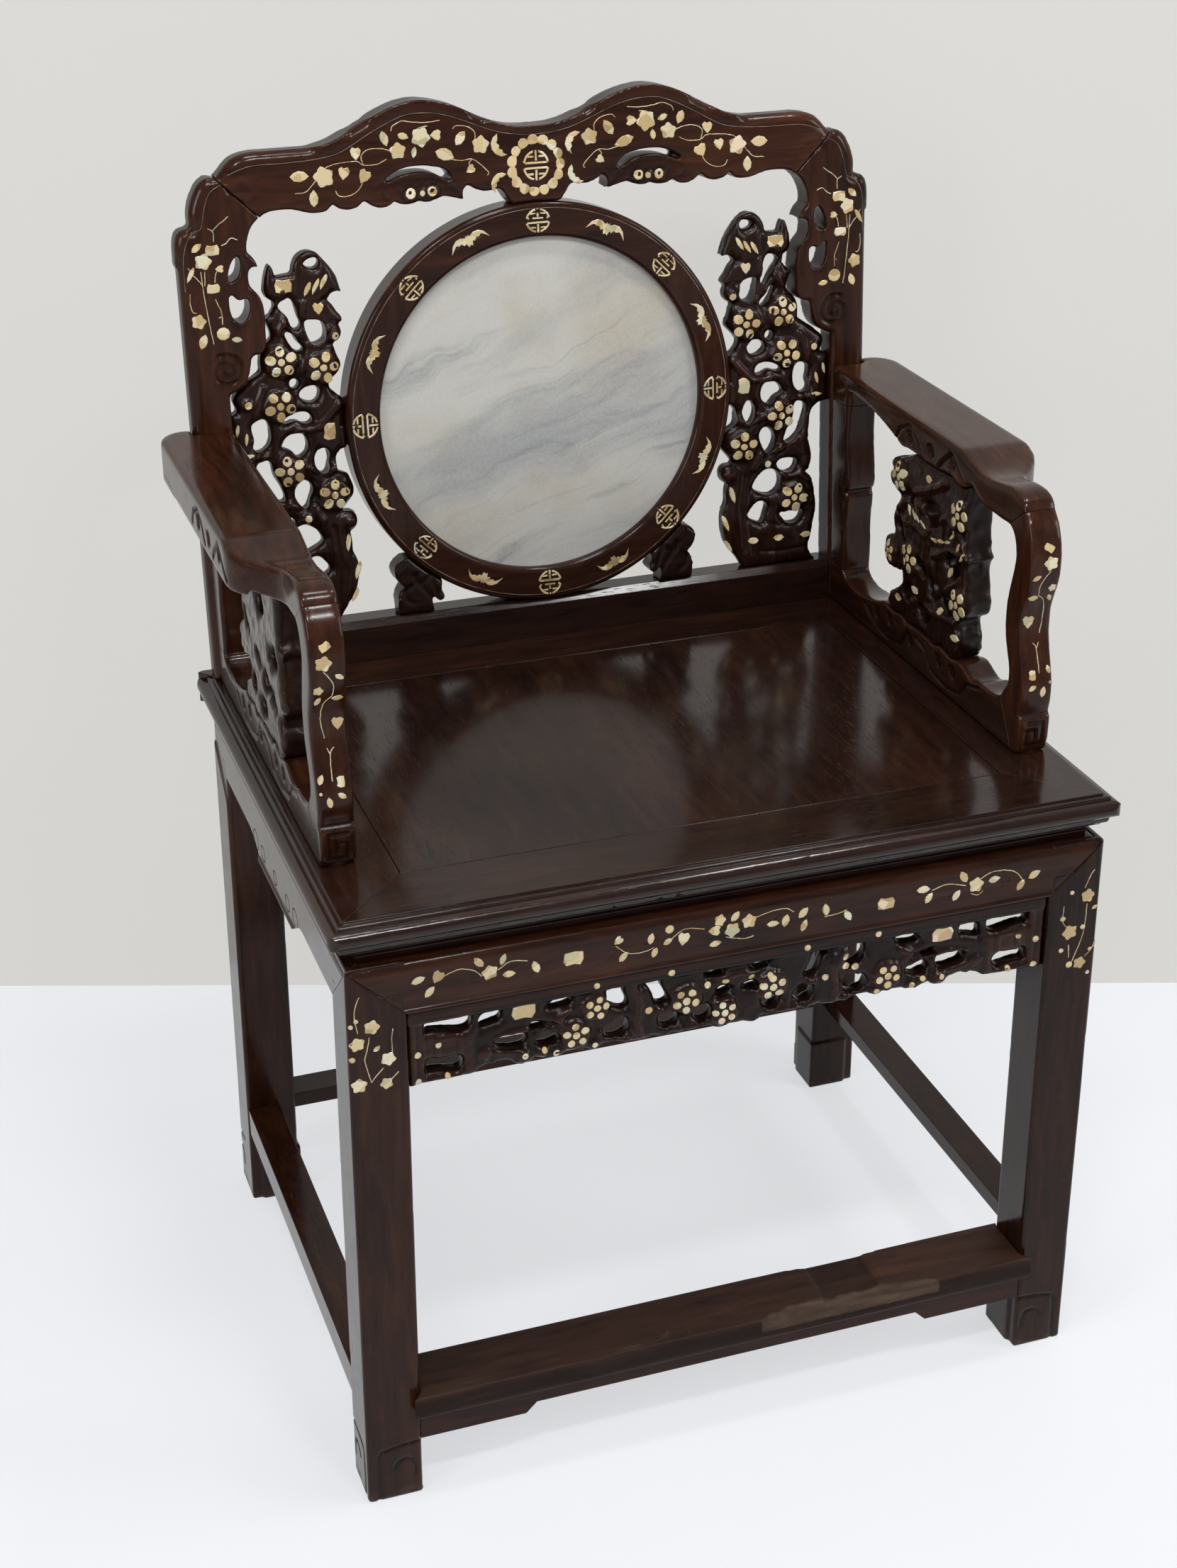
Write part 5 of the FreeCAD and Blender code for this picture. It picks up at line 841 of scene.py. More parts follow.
# The carved side panels. Twigs stand out of them; the trunk's and the wing's lines are cut in.
carvedPanel = {
    "voxel": 1.35 * mm, "thickness": 19 * mm, "round": 8.5 * mm, "drop": 5.5 * mm,
    # groundShade and shade are shares of painted shade, on the sunk ground and where the edges round over.
    "bark": 0.55 * mm, "wobble": 0.9 * mm, "groundDepth": 0.8 * mm, "groundShade": 0.5, "shade": 0.8,
    "twigWidth": 3.4 * mm, "twigLift": 1.6 * mm, "trunkWidth": 1.1 * mm, "trunkDepth": 1.6 * mm,
    "wingWidth": 1.0 * mm, "wingDepth": 1.2 * mm,
    "blossomRadius": 14.0 * mm, "blossomLift": 2.2 * mm, "bossSize": 0.36, "bossLift": 1.2 * mm,
    "blossoms": [(0.61, 0.725), (0.305, 0.70), (0.64, 0.61), (0.60, 0.435), (0.285, 0.358), (0.71, 0.195)],
    "bosses": [(0.20, 0.778), (0.87, 0.622), (0.49, 0.30), (0.16, 0.275), (0.82, 0.295), (0.85, 0.185)],
    "twigs": [
        [(0.20, 0.60), (0.35, 0.545), (0.50, 0.54), (0.60, 0.50)],
        [(0.18, 0.53), (0.18, 0.44), (0.33, 0.42), (0.45, 0.435)],
        [(0.38, 0.29), (0.45, 0.33), (0.60, 0.34), (0.72, 0.36), (0.80, 0.42), (0.78, 0.48)],
        [(0.62, 0.26), (0.78, 0.26), (0.86, 0.24)],
        [(0.42, 0.87), (0.46, 0.80), (0.52, 0.78)],
        [(0.56, 0.90), (0.54, 0.84), (0.60, 0.80)],
        [(0.25, 0.80), (0.40, 0.76), (0.44, 0.70)],
        [(0.75, 0.66), (0.82, 0.60), (0.80, 0.54), (0.88, 0.47)],
    ],
    "trunk": [
        [(0.20, 0.245), (0.17, 0.16), (0.22, 0.05)],
        [(0.30, 0.27), (0.27, 0.18), (0.30, 0.05)],
        [(0.36, 0.24), (0.33, 0.14), (0.37, 0.04)],
        [(0.13, 0.20), (0.10, 0.15), (0.16, 0.06)],
        [(0.46, 0.13), (0.60, 0.115), (0.80, 0.13)],
        [(0.45, 0.045), (0.62, 0.04), (0.85, 0.045)],
    ],
    "wing": [
        [(0.12, 0.90), (0.16, 0.97), (0.28, 0.985), (0.42, 0.96), (0.45, 0.90)],
        [(0.10, 0.84), (0.22, 0.875), (0.36, 0.865)],
        [(0.10, 0.80), (0.20, 0.82), (0.30, 0.80)],
    ],
}


def everywhere(ab):
    return np.ones(len(ab))


def alongShares(side, place, lines):
    return [[place(side, u, v) for u, v in line] for line in lines]


def onBothSides(place, lines):
    return alongShares(1, place, lines) + alongShares(-1, place, lines)


def buildPanel(side, name):
    values = carvedPanel
    centres = [(*onPanel(side, u, v), 1.0) for u, v in values["blossoms"]]
    bosses = [(*onPanel(side, u, v), values["bossSize"]) for u, v in values["bosses"]]
    stamps = [
        barkStamp(values["bark"], seed=4 + side),
        ridgeStamp(alongShares(side, onPanel, values["twigs"]), values["twigWidth"], values["twigLift"]),
        grooveStamp(alongShares(side, onPanel, values["trunk"]), values["trunkWidth"], values["trunkDepth"]),
        grooveStamp(alongShares(side, onPanel, values["wing"]), values["wingWidth"], values["wingDepth"]),
        blossomStamp(bosses, values["blossomRadius"], values["bossLift"]),
        blossomStamp(centres, values["blossomRadius"], values["blossomLift"]),
    ]
    return carve(
        name, panelFace, "deepZCarved", values, stamps, stamps[:1], wobble=values["wobble"], seed=7 + side,
        shade=values["shade"], ground=(everywhere, values["groundDepth"], values["groundShade"]),
    )


panels = [buildPanel(1, "carved_panel_left"), buildPanel(-1, "carved_panel_right")]
print("side panels carved")

# The crest rail and the stiles. Their outer edges are round and the others crisp.
crestPiece = {
    "voxel": 1.6 * mm, "thickness": 26 * mm,
    "topRound": 9.0 * mm, "topDrop": 7.5 * mm, "underRound": 2.6 * mm, "underDrop": 2.0 * mm,
    "mitre": [(0.123, 0.451), (0.232, 0.100)], "mitreReach": 1.5 * mm, "mitreEdge": (1.0 * mm, 0.5 * mm),
    # The third number of each cut is the painted shade in its groove.
    "lineCut": (1.0 * mm, 1.0 * mm, 0.7), "leafCut": (0.9 * mm, 1.3 * mm, 0.8),
    "fruitSize": 0.42, "fruitRadius": 12 * mm, "fruitLift": 1.0 * mm,
    "fruit": [(0.643, 0.19), (0.676, 0.195), (0.705, 0.20)],
    "leafLines": [
        [(0.575, 0.27), (0.60, 0.30), (0.64, 0.33), (0.70, 0.33), (0.75, 0.27)],
        [(0.745, 0.25), (0.77, 0.18), (0.795, 0.12)],
        [(0.76, 0.24), (0.775, 0.20), (0.785, 0.15)],
        [(0.565, 0.23), (0.575, 0.17), (0.59, 0.16)],
        [(0.61, 0.25), (0.625, 0.15)],
        [(0.665, 0.25), (0.66, 0.15)],
        [(0.69, 0.25), (0.69, 0.15)],
        [(0.725, 0.25), (0.73, 0.17)],
    ],
    "line": [
        (0.155, 0.475), (0.20, 0.525), (0.24, 0.54), (0.31, 0.54), (0.38, 0.55), (0.44, 0.575), (0.48, 0.625),
        (0.54, 0.73), (0.60, 0.82), (0.645, 0.865), (0.70, 0.868), (0.75, 0.84), (0.80, 0.785), (0.85, 0.72),
        (0.90, 0.665), (0.95, 0.635), (1.0, 0.625),
    ],
}


def mitreTest(*sides):
    def atMitre(rim):
        mitres = [[onCrest(side, u, v) for u, v in crestPiece["mitre"]] for side in sides]
        return np.any([lineDistance(rim[:, :2], mitre) < crestPiece["mitreReach"] for mitre in mitres], axis=0)

    return (atMitre, *crestPiece["mitreEdge"])


def onTop(rim):
    # The crest's upper edge, without the sides of its two arches.
    a, b = np.abs(rim[:, 0]) / chair["backHalf"], (rim[:, 1] - chair["crestLow"]) / chair["crestZone"]
    return (rim[:, 3] > -0.2) & (b > 0.40) & ~((a < 0.45) & (b < 0.5))


def buildCrest():
    values = crestPiece
    whole = [onCrest(1, u, v) for u, v in values["line"]] + [onCrest(-1, u, v) for u, v in values["line"][-2::-1]]
    fruit = [(*onCrest(side, u, v), values["fruitSize"]) for side in (1, -1) for u, v in values["fruit"]]
    stamps = [
        grooveStamp([whole], *values["lineCut"]),
        grooveStamp(onBothSides(onCrest, values["leafLines"]), *values["leafCut"]),
        blossomStamp(fruit, values["fruitRadius"], values["fruitLift"]),
    ]
    edges = [
        mitreTest(1, -1), (onTop, values["topRound"], values["topDrop"]),
        (anyRim, values["underRound"], values["underDrop"]),
    ]
    return carve("crest_rail", backFace, "redXCarved", values, stamps, edges=edges)


stilePiece = {
    "voxel": 1.6 * mm, "thickness": 26 * mm,
    "outerRound": 9.0 * mm, "outerDrop": 7.5 * mm, "innerRound": 3.0 * mm, "innerDrop": 2.2 * mm,
    "volute": (0.60, 0.145), "voluteRadius": 14.0 * mm, "voluteTurns": 1.8, "voluteStart": {1: 60, -1: 120},
    # The third number of each cut is the painted shade in its groove.
    "voluteCut": (1.2 * mm, 1.8 * mm, 0.8), "lineCut": (1.0 * mm, 1.0 * mm, 0.7),
    "bracketCut": (1.1 * mm, 1.2 * mm, 0.7),
    "line": [
        (0.44, 0.93), (0.53, 0.925), (0.62, 0.90), (0.675, 0.85), (0.71, 0.79), (0.735, 0.755), (0.79, 0.745),
        (0.85, 0.725), (0.90, 0.68), (0.925, 0.62), (0.93, 0.50),
    ],
    "bracketLines": [
        [(0.36, 0.60), (0.34, 0.55), (0.31, 0.50), (0.26, 0.46), (0.225, 0.40), (0.225, 0.33)],
        [(0.50, 0.36), (0.43, 0.33), (0.36, 0.34)],
    ],
}


def spiral(side, place, centre, radius, turns, start, steps=40):
    a, b = place(side, *centre)
    points = []
    for number in range(steps + 1):
        share = number / steps
        angle = math.radians(start) + side * turns * 2 * math.pi * share
        reach = radius * (1 - 0.80 * share)
        points.append((a + reach * math.cos(angle), b + reach * math.sin(angle)))
    return points


def buildStile(side, name):
    values = stilePiece

    def outer(rim):
        far = np.abs(rim[:, 0]) > chair["bracketInner"] + 0.60 * chair["bracketWidth"]
        top = rim[:, 1] > chair["bracketLow"] + 0.86 * chair["bracketZone"]
        return (rim[:, 2] * side > 0.05) & far | top & (rim[:, 3] > 0)

    edges = [
        mitreTest(side), (outer, values["outerRound"], values["outerDrop"]),
        (anyRim, values["innerRound"], values["innerDrop"]),
    ]
    start = values["voluteStart"][side]
    volute = spiral(side, onStile, values["volute"], values["voluteRadius"], values["voluteTurns"], start)
    stamps = [
        grooveStamp([volute], *values["voluteCut"]),
        grooveStamp(alongShares(side, onStile, [values["line"]]), *values["lineCut"]),
        grooveStamp(alongShares(side, onStile, values["bracketLines"]), *values["bracketCut"]),
    ]
    return carve(name, backFace, "redZCarved", values, stamps, edges=edges)


crest = buildCrest()
stiles = [buildStile(1, "stile_left"), buildStile(-1, "stile_right")]
print("crest and stiles carved")

# The splats in the arms.
splatPiece = {
    "voxel": 1.5 * mm, "thickness": 27 * mm, "round": 7.0 * mm, "drop": 4.5 * mm,
    # groundShade and shade are shares of painted shade, on the sunk ground and where the edges round over.
    "bark": 0.9 * mm, "wobble": 1.2 * mm, "groundDepth": 1.0 * mm, "groundShade": 0.5, "shade": 0.8,
    "featherWidth": 3.6 * mm, "featherLift": 1.8 * mm, "blossomLift": 2.2 * mm,
    "blossomRadius": 13.5 * mm,
    "blossoms": [(0.32, 0.78, 1.0), (0.85, 0.765, 1.0), (0.285, 0.285, 1.0), (0.72, 0.34, 1.0), (0.90, 0.30, 0.8)],
    "feathers": [
        [(0.25, 0.55), (0.34, 0.68), (0.42, 0.72), (0.52, 0.66), (0.58, 0.58)],
        [(0.30, 0.56), (0.40, 0.53), (0.46, 0.49), (0.54, 0.45)],
        [(0.62, 0.66), (0.72, 0.68), (0.80, 0.64), (0.86, 0.58)],
        [(0.62, 0.53), (0.70, 0.55), (0.80, 0.53)],
        [(0.34, 0.50), (0.32, 0.40), (0.40, 0.30)],
        [(0.52, 0.40), (0.50, 0.28), (0.55, 0.20)],
        [(0.20, 0.14), (0.36, 0.16), (0.55, 0.12), (0.70, 0.10)],
        [(0.45, 0.90), (0.60, 0.80), (0.72, 0.74)],
    ],
}


def buildSplat(side, name):
    values = splatPiece
    centres = [(*onSplat(side, u, v), size) for u, v, size in values["blossoms"]]
    stamps = [
        barkStamp(values["bark"], along=0.5, seed=11 + side),
        ridgeStamp(alongShares(side, onSplat, values["feathers"]), values["featherWidth"], values["featherLift"]),
        blossomStamp(centres, values["blossomRadius"], values["blossomLift"]),
    ]
    return carve(
        name, armFaces[side], "deepZCarved", values, stamps, stamps[:1], wobble=values["wobble"], seed=21 + side,
        shade=values["shade"], ground=(everywhere, values["groundDepth"], values["groundShade"]),
    )


splats = {1: buildSplat(1, "arm_splat_left"), -1: buildSplat(-1, "arm_splat_right")}
print("arm splats carved")

# The frieze under the front apron.
friezePiece = {
    "voxel": 1.3 * mm, "thickness": 16 * mm, "round": 6.5 * mm, "drop": 4.5 * mm,
    # groundShade and shade are shares of painted shade, on the sunk ground and where the edges round over.
    "bark": 0.5 * mm, "wobble": 0.9 * mm, "groundDepth": 1.2 * mm, "groundShade": 0.8, "shade": 0.9,
    "leafWidth": 3.0 * mm, "leafLift": 1.5 * mm, "fretWidth": 2.2 * mm, "fretLift": 1.3 * mm,
    "blossomRadius": 13.0 * mm, "blossomLift": 2.4 * mm, "bossSize": 0.42, "bossLift": 1.2 * mm,
    # Two shares and a size for each flower, on the sitter's right and left.
    "blossoms": {
        -1: [(0.502, 0.31, 1.0), (0.565, 0.60, 0.95), (0.835, 0.48, 1.05), (0.955, 0.24, 0.95)],
        1: [(0.895, 0.45, 1.05), (0.644, 0.60, 0.95), (0.528, 0.31, 1.0)],
    },
    "beads": [[(1.0, 0.895), (0.022, 0.895), (0.022, 0.03)]], "beadWidth": 3.3 * mm, "beadLift": 1.9 * mm,
    "bosses": [(0.35, 0.15), (0.41, 0.17), (0.445, 0.09), (0.56, 0.11), (0.235, 0.27), (0.86, 0.14)],
    "fret": [
        [(0.055, 0.86), (0.055, 0.08), (0.165, 0.08), (0.165, 0.86), (0.055, 0.86)],
        [(0.165, 0.56), (0.10, 0.56), (0.10, 0.40)],
    ],
    "leaves": [
        [(0.27, 0.42), (0.33, 0.47), (0.40, 0.46), (0.44, 0.40), (0.44, 0.20)],
        [(0.27, 0.26), (0.34, 0.22), (0.37, 0.10)],
        [(0.62, 0.35), (0.66, 0.28), (0.70, 0.12)],
        [(0.68, 0.75), (0.70, 0.55), (0.69, 0.30), (0.70, 0.10)],
        [(0.76, 0.40), (0.80, 0.25), (0.82, 0.10), (0.90, 0.10)],
        [(0.92, 0.70), (0.96, 0.66), (1.0, 0.68)],
        [(0.58, 0.26), (0.63, 0.20), (0.66, 0.10)],
        [(0.48, 0.60), (0.45, 0.52), (0.47, 0.46)],
    ],
}


def buildFrieze():
    values = friezePiece
    centres, bosses = [], []
    for side in (1, -1):
        centres += [(*onFrieze(side, u, v), size) for u, v, size in values["blossoms"][side]]
        bosses += [(*onFrieze(side, u, v), values["bossSize"]) for u, v in values["bosses"]]
    stamps = [
        barkStamp(values["bark"], along=1.0, seed=31),
        ridgeStamp(onBothSides(onFrieze, values["leaves"]), values["leafWidth"], values["leafLift"]),
        ridgeStamp(onBothSides(onFrieze, values["fret"]), values["fretWidth"], values["fretLift"]),
        ridgeStamp(onBothSides(onFrieze, values["beads"]), values["beadWidth"], values["beadLift"]),
        blossomStamp(bosses, values["blossomRadius"], values["bossLift"]),
        blossomStamp(centres, values["blossomRadius"], values["blossomLift"]),
    ]

    def betweenFrets(ab):
        u, v = 1 - np.abs(ab[:, 0]) / chair["friezeHalf"], (ab[:, 1] - chair["friezeLow"]) / chair["friezeZone"]
        return soften((u - 0.19) / 0.02) * soften((0.88 - v) / 0.03)

    return carve(
        "front_frieze", frontFace, "deepXCarved", values, stamps, wobble=values["wobble"], shade=values["shade"],
        ground=(betweenFrets, values["groundDepth"], values["groundShade"]),
    )


frieze = buildFrieze()
print("frieze carved")

# Legs with a square scroll cut in each foot, and their polish worn off near the floor.
legPiece = {
    "voxel": 1.6 * mm, "side": 43.5 * mm, "top": 474 * mm,
    "foot": (300 * mm, 243.5 * mm), "head": (296.2 * mm, 241.5 * mm),
    "mitreDrop": 42 * mm, "pressed": 1.2 * mm, "levelled": 0.9 * mm,
    "grooveWidth": 1.1 * mm, "grooveDepth": 1.4 * mm,
    # Millimetres in from the leg's outer edge, and above the floor.
    "footLines": [
        [(46, 51), (28, 50), (12, 47.5), (9.5, 44), (9, 30), (8.5, 0)],
        [(22, 30), (24, 34), (30, 37), (36, 34.5), (38, 29), (38.5, 20)],
    ],
    "scuffHeight": 13 * mm, "scuffShare": 0.8,
}


def slopingFace(axis, sign, values):
    # The outer face of a leg, which leans a little; also gives its normal.
    lean = (values["foot"][axis] - values["head"][axis]) / values["top"]
    lie, stand, across, origin = np.zeros((4, 3))
    lie[axis], stand[axis] = sign, -sign * lean
    lie[2], stand[2] = lean, 1
    lie, stand = lie / np.linalg.norm(lie), stand / np.linalg.norm(stand)
    across[1 - axis] = 1
    origin[axis] = sign * values["foot"][axis]
    return Board(origin, across, stand, lie), lie


def buildLeg(sideX, sideY, name):
    # The leg with the corner above its mitres pressed back behind the aprons, and a square scroll cut in its foot.
    values = legPiece
    thing = evened(name + "_carved", joinedMesh(name), values["voxel"])
    mesh = thing.data
    points = relax(mesh, readPoints(mesh), 1)
    writePoints(mesh, points)
    normals = readNormals(mesh)
    hollow = np.zeros(len(points))
    for axis, sign in ((1, sideY), (0, sideX)):
        other = 1 - axis
        board, lie = slopingFace(axis, sign, values)
        for depth, way in ((0, 1), (values["side"], -1)):
            flat = board.flatten(points)
            level = (normals @ lie * way > 0.9) & (np.abs(flat[:, 2] + depth) < values["levelled"])
            flat[level, 2] = -depth
            points = board.place(flat)
        flat = board.flatten(points)
        outward = sideX if axis else sideY
        slope = values["mitreDrop"] / values["side"]
        line = values["top"] - (values["head"][other] - outward * flat[:, 0]) * slope
        above = (flat[:, 1] - line) / math.hypot(1, slope)
        facing = (normals @ lie > 0.3) & (flat[:, 2] > -3 * mm) & (flat[:, 1] < values["top"] + 2 * mm)
        flat[:, 2] -= facing * values["pressed"] * np.clip(above / values["pressed"], 0, 1)
        points = board.place(flat)
        edge = outward * values["foot"][other]
        way = -1 if edge > 0 else 1
        lines = [[(edge + way * u * mm, v * mm) for u, v in row] for row in values["footLines"]]
        points, cut = press(points, normals, board, lines, values["grooveWidth"], values["grooveDepth"], 4 * mm)
        hollow = np.maximum(hollow, cut)
    writePoints(mesh, points)
    # Painted shade in the scroll grooves of the foot.
    writeMark(mesh, "hollow", hollow)
    patches = np.clip(0.35 + softNoise(points, 150, 9) * 1.2, 0, 1)
    writeMark(mesh, "bare", values["scuffShare"] * soften(1 - points[:, 2] / values["scuffHeight"]) * patches)
    return finishPiece(thing, name, "deepZCarved")


# The footrest, with a broken stretch along its front edge and scratches; those are in millimetres.
footrestPiece = {
    "voxel": 1.4 * mm, "thickness": 20 * mm, "round": 2.0 * mm, "drop": 1.0 * mm,
    "front": -251.5 * mm, "top": 97 * mm, "roughness": 0.7 * mm, "scratch": 0.8 * mm, "touched": 14 * mm,
    "chipStart": 22 * mm, "chipEnd": 178 * mm, "chipWidth": 12 * mm, "chipFall": 0.55,
    "scratches": [
        [(-72, 3), (-60, 6), (-52, 13)], [(-58, 2), (-55, 9)], [(-38, 2), (-37, 8)], [(-96, 4), (-80, 5)],
    ],
}
topFace = Board((0, footrestPiece["front"], footrestPiece["top"]), (1, 0, 0), (0, 1, 0), (0, 0, 1))


def chipWidth(a):
    # The broken stretch of the front edge, widest near its middle, with a ragged inner line.
    values = footrestPiece
    share = np.clip((a - values["chipStart"]) / (values["chipEnd"] - values["chipStart"]), 0, 1)
    ragged = softNoise(np.column_stack([a, a * 0, a * 0]), 160, 3) * 0.16
    return values["chipWidth"] * np.clip(np.sin(math.pi * share) ** 0.55 + ragged * (share > 0) * (share < 1), 0, 2)


def chip(ab):
    values = footrestPiece
    into = np.clip(chipWidth(ab[:, 0]) - ab[:, 1], 0, None)
    rough = softNoise(np.column_stack([ab[:, 0] * 0.35, ab[:, 1], ab[:, 0] * 0]), 420, 5)
    lift = -into * values["chipFall"] - (into > 0) * rough * values["roughness"]
    return lift, np.clip(-rough, 0, 1) * (into > 0) * 0.5


def footrestBare(flat):
    values = footrestPiece
    broken = soften((chipWidth(flat[:, 0]) - flat[:, 1]) / values["scratch"])
    lines = [[(a * mm, b * mm) for a, b in line] for line in values["scratches"]]
    marks = [np.exp(-(lineDistance(flat[:, :2], line) / values["scratch"]) ** 2) * 0.8 for line in lines]
    patches = np.clip(softNoise(flat * np.array([0.25, 1, 1]), 120, 8), 0, 1)
    return np.maximum.reduce([broken, *marks, patches * soften(1 - flat[:, 1] / values["touched"]) * 0.45])


legs = {
    (sideX, sideY): buildLeg(sideX, sideY, name)
    for sideX, sideY, name in (
        (1, -1, "leg_front_left"), (-1, -1, "leg_front_right"), (1, 1, "leg_rear_left"), (-1, 1, "leg_rear_right"),
    )
}
carve("footrest", topFace, "wornXCarved", footrestPiece, [chip], bare=footrestBare)
print("legs and footrest worked")

# The brackets under the ring.
ringFeet = {
    # shade is painted shade where the edges round over; the cut's third number is the painted shade in its grooves.
    "voxel": 1.2 * mm, "thickness": 24 * mm, "round": 5.5 * mm, "drop": 4.2 * mm, "shade": 0.5,
    "cut": (1.3 * mm, 1.5 * mm, 0.8),
    # Millimetres out from the middle line, and up from the seat.
    "lines": [
        [(99, 38), (106, 50), (112, 58), (119, 68)], [(108, 66), (113, 60), (118, 63), (117, 70)],
        [(120, 44), (126, 48), (127, 56), (122, 60)], [(98, 46), (101, 56), (104, 66)],
    ],
}
for side, name in ((1, "ring_foot_left"), (-1, "ring_foot_right")):
    footLines = [[(side * a * mm, b * mm) for a, b in line] for line in ringFeet["lines"]]
    footStamps = [grooveStamp(footLines, *ringFeet["cut"])]
    carve(name, backFace, "blackXCarved", ringFeet, footStamps, footStamps, passes=3, shade=ringFeet["shade"])
print("ring feet carved")

# Arms: each one is rounded as a whole, pressed with its carved lines, and then parted again at its joints.
armPiece = {
    "voxel": 1.4 * mm,
    "passes": 18,
    "seam": 0.55 * mm, "seamDepth": 0.35 * mm,
    "parts": ["arm_rail", "arm_post_front", "arm_base", "arm_post_rear"],
    "finishes": ["redYCarved", "redZCarved", "deepYCarved", "deepZCarved"],
    "joints": [
        # Two shares on the joint's line, and the shares between which it cuts.
        ((0.12, 0.835), (0.055, 0.92), (-0.1, 0.25, 0.70, 1.1)),
        ((0.10, 0.185), (0.035, 0.0), (-0.1, 0.25, -0.2, 0.30)),
        ((0.80, 0.16), (1.10, 0.16), (0.915, 1.2, 0.10, 0.24)),
        ((0.80, 0.862), (1.10, 0.862), (0.915, 1.2, 0.80, 0.90)),
    ],
    "railScrolls": [(0.395, 0.912), (0.50, 0.905), (0.61, 0.905)],
    "railHooks": [
        [(0.33, 0.86), (0.36, 0.90), (0.40, 0.95), (0.44, 0.90), (0.46, 0.868)],
        [(0.545, 0.865), (0.57, 0.92), (0.61, 0.955), (0.66, 0.92), (0.68, 0.87)],
    ],
    "baseScrolls": [(0.33, 0.11), (0.40, 0.11), (0.55, 0.10), (0.66, 0.115), (0.73, 0.10)],
    "baseHooks": [
        [(0.20, 0.135), (0.26, 0.11), (0.29, 0.05), (0.36, 0.03), (0.44, 0.05), (0.47, 0.11), (0.52, 0.13)],
        [(0.56, 0.135), (0.60, 0.05), (0.66, 0.035), (0.72, 0.04), (0.77, 0.07), (0.80, 0.10)],
    ],
    "scrollRadius": 5.8 * mm, "scrollTurns": 1.4, "grooveWidth": 1.45 * mm, "grooveDepth": 2.6 * mm,
    "baseOut": 27 * mm, "railOut": 59 * mm,      # how far out the outer faces of the base and the rail are
    "footWidth": 1.5 * mm, "footDepth": 1.0 * mm,
    "footLines": [
        [(7, 27), (20, 27), (20, 8), (7, 8), (7, 20), (14, 20), (14, 14)],
        [(1, 33.5), (26, 33.5)],
    ],
}


def armLines(side, part):
    # The scrolls and hooks that are pressed into the rail or the base.
    values = armPiece
    lines = [
        spiral(1, lambda _, u, v: onArm(side, u, v), centre, values["scrollRadius"], values["scrollTurns"], 30)
        for centre in values[part + "Scrolls"]
    ]
    return lines + alongShares(side, onArm, values[part + "Hooks"])


def armWeights(flat):
    # How far the smoothing may round each place: the rail and front post fully, the base and rear post less.
    u, v = onArmShares(flat.T)
    base = soften((0.34 - v) / 0.06) * soften((u - 0.10) / 0.04)
    rear = soften((u - 0.88) / 0.03) * soften((0.87 - v) / 0.04)
    foot = soften((0.20 - v) / 0.04)
    return 1 - 0.72 * np.maximum.reduce([base, rear, foot * 0.8])


def within(face, low, high):
    middle = face.calc_center_median()
    return low[0] < middle.y < high[0] and low[1] < middle.z < high[1]


def partAt(shape, side):
    # Cuts the mesh at every joint, with a narrow groove along it, and parts it there.
    seams = []
    seam = armPiece["seam"]
    for one, two, (u0, u1, v0, v1) in armPiece["joints"]:
        origin, end = np.array(onArm(side, *one)), np.array(onArm(side, *two))
        run = (end - origin) / np.linalg.norm(end - origin)
        normal = np.array([-run[1], run[0]])
        low, high = onArm(1, u0, v0), onArm(1, u1, v1)
        for offset in (-seam, seam, 0):
            place = origin + normal * offset
            faces = [face for face in shape.faces if within(face, low, high)]
            edges = [edge for face in faces for edge in face.edges]
            verts = [vert for face in faces for vert in face.verts]
            cut = bmesh.ops.bisect_plane(
                shape, geom=list(dict.fromkeys([*faces, *edges, *verts])), dist=1e-6,
                plane_co=(0, place[0], place[1]), plane_no=(0, normal[0], normal[1]),
            )
            if offset == 0:
                seams += [item for item in cut["geom_cut"] if isinstance(item, bmesh.types.BMEdge)]
    shape.normal_update()
    # The seams are drawn dark in the same mark as the painted shade, as the arm's dark joints.
    layer = shape.verts.layers.float["hollow"]
    for vert in {vert for edge in seams for vert in edge.verts}:
        vert.co -= vert.normal * armPiece["seamDepth"]
        vert[layer] = 0.9
    bmesh.ops.split_edges(shape, edges=[edge for edge in seams if edge.is_valid])


def islands(shape):
    # Taken in the order of the faces, so that each run gives the same pieces.
    shape.faces.index_update()
    seen = set()
    for first in shape.faces:
        if first.index in seen:
            continue
        seen.add(first.index)
        found, queue = [first], [first]
        while queue:
            for edge in queue.pop().edges:
                for face in edge.link_faces:
                    if face.index not in seen:
                        seen.add(face.index)
                        found.append(face)
                        queue.append(face)
        yield found


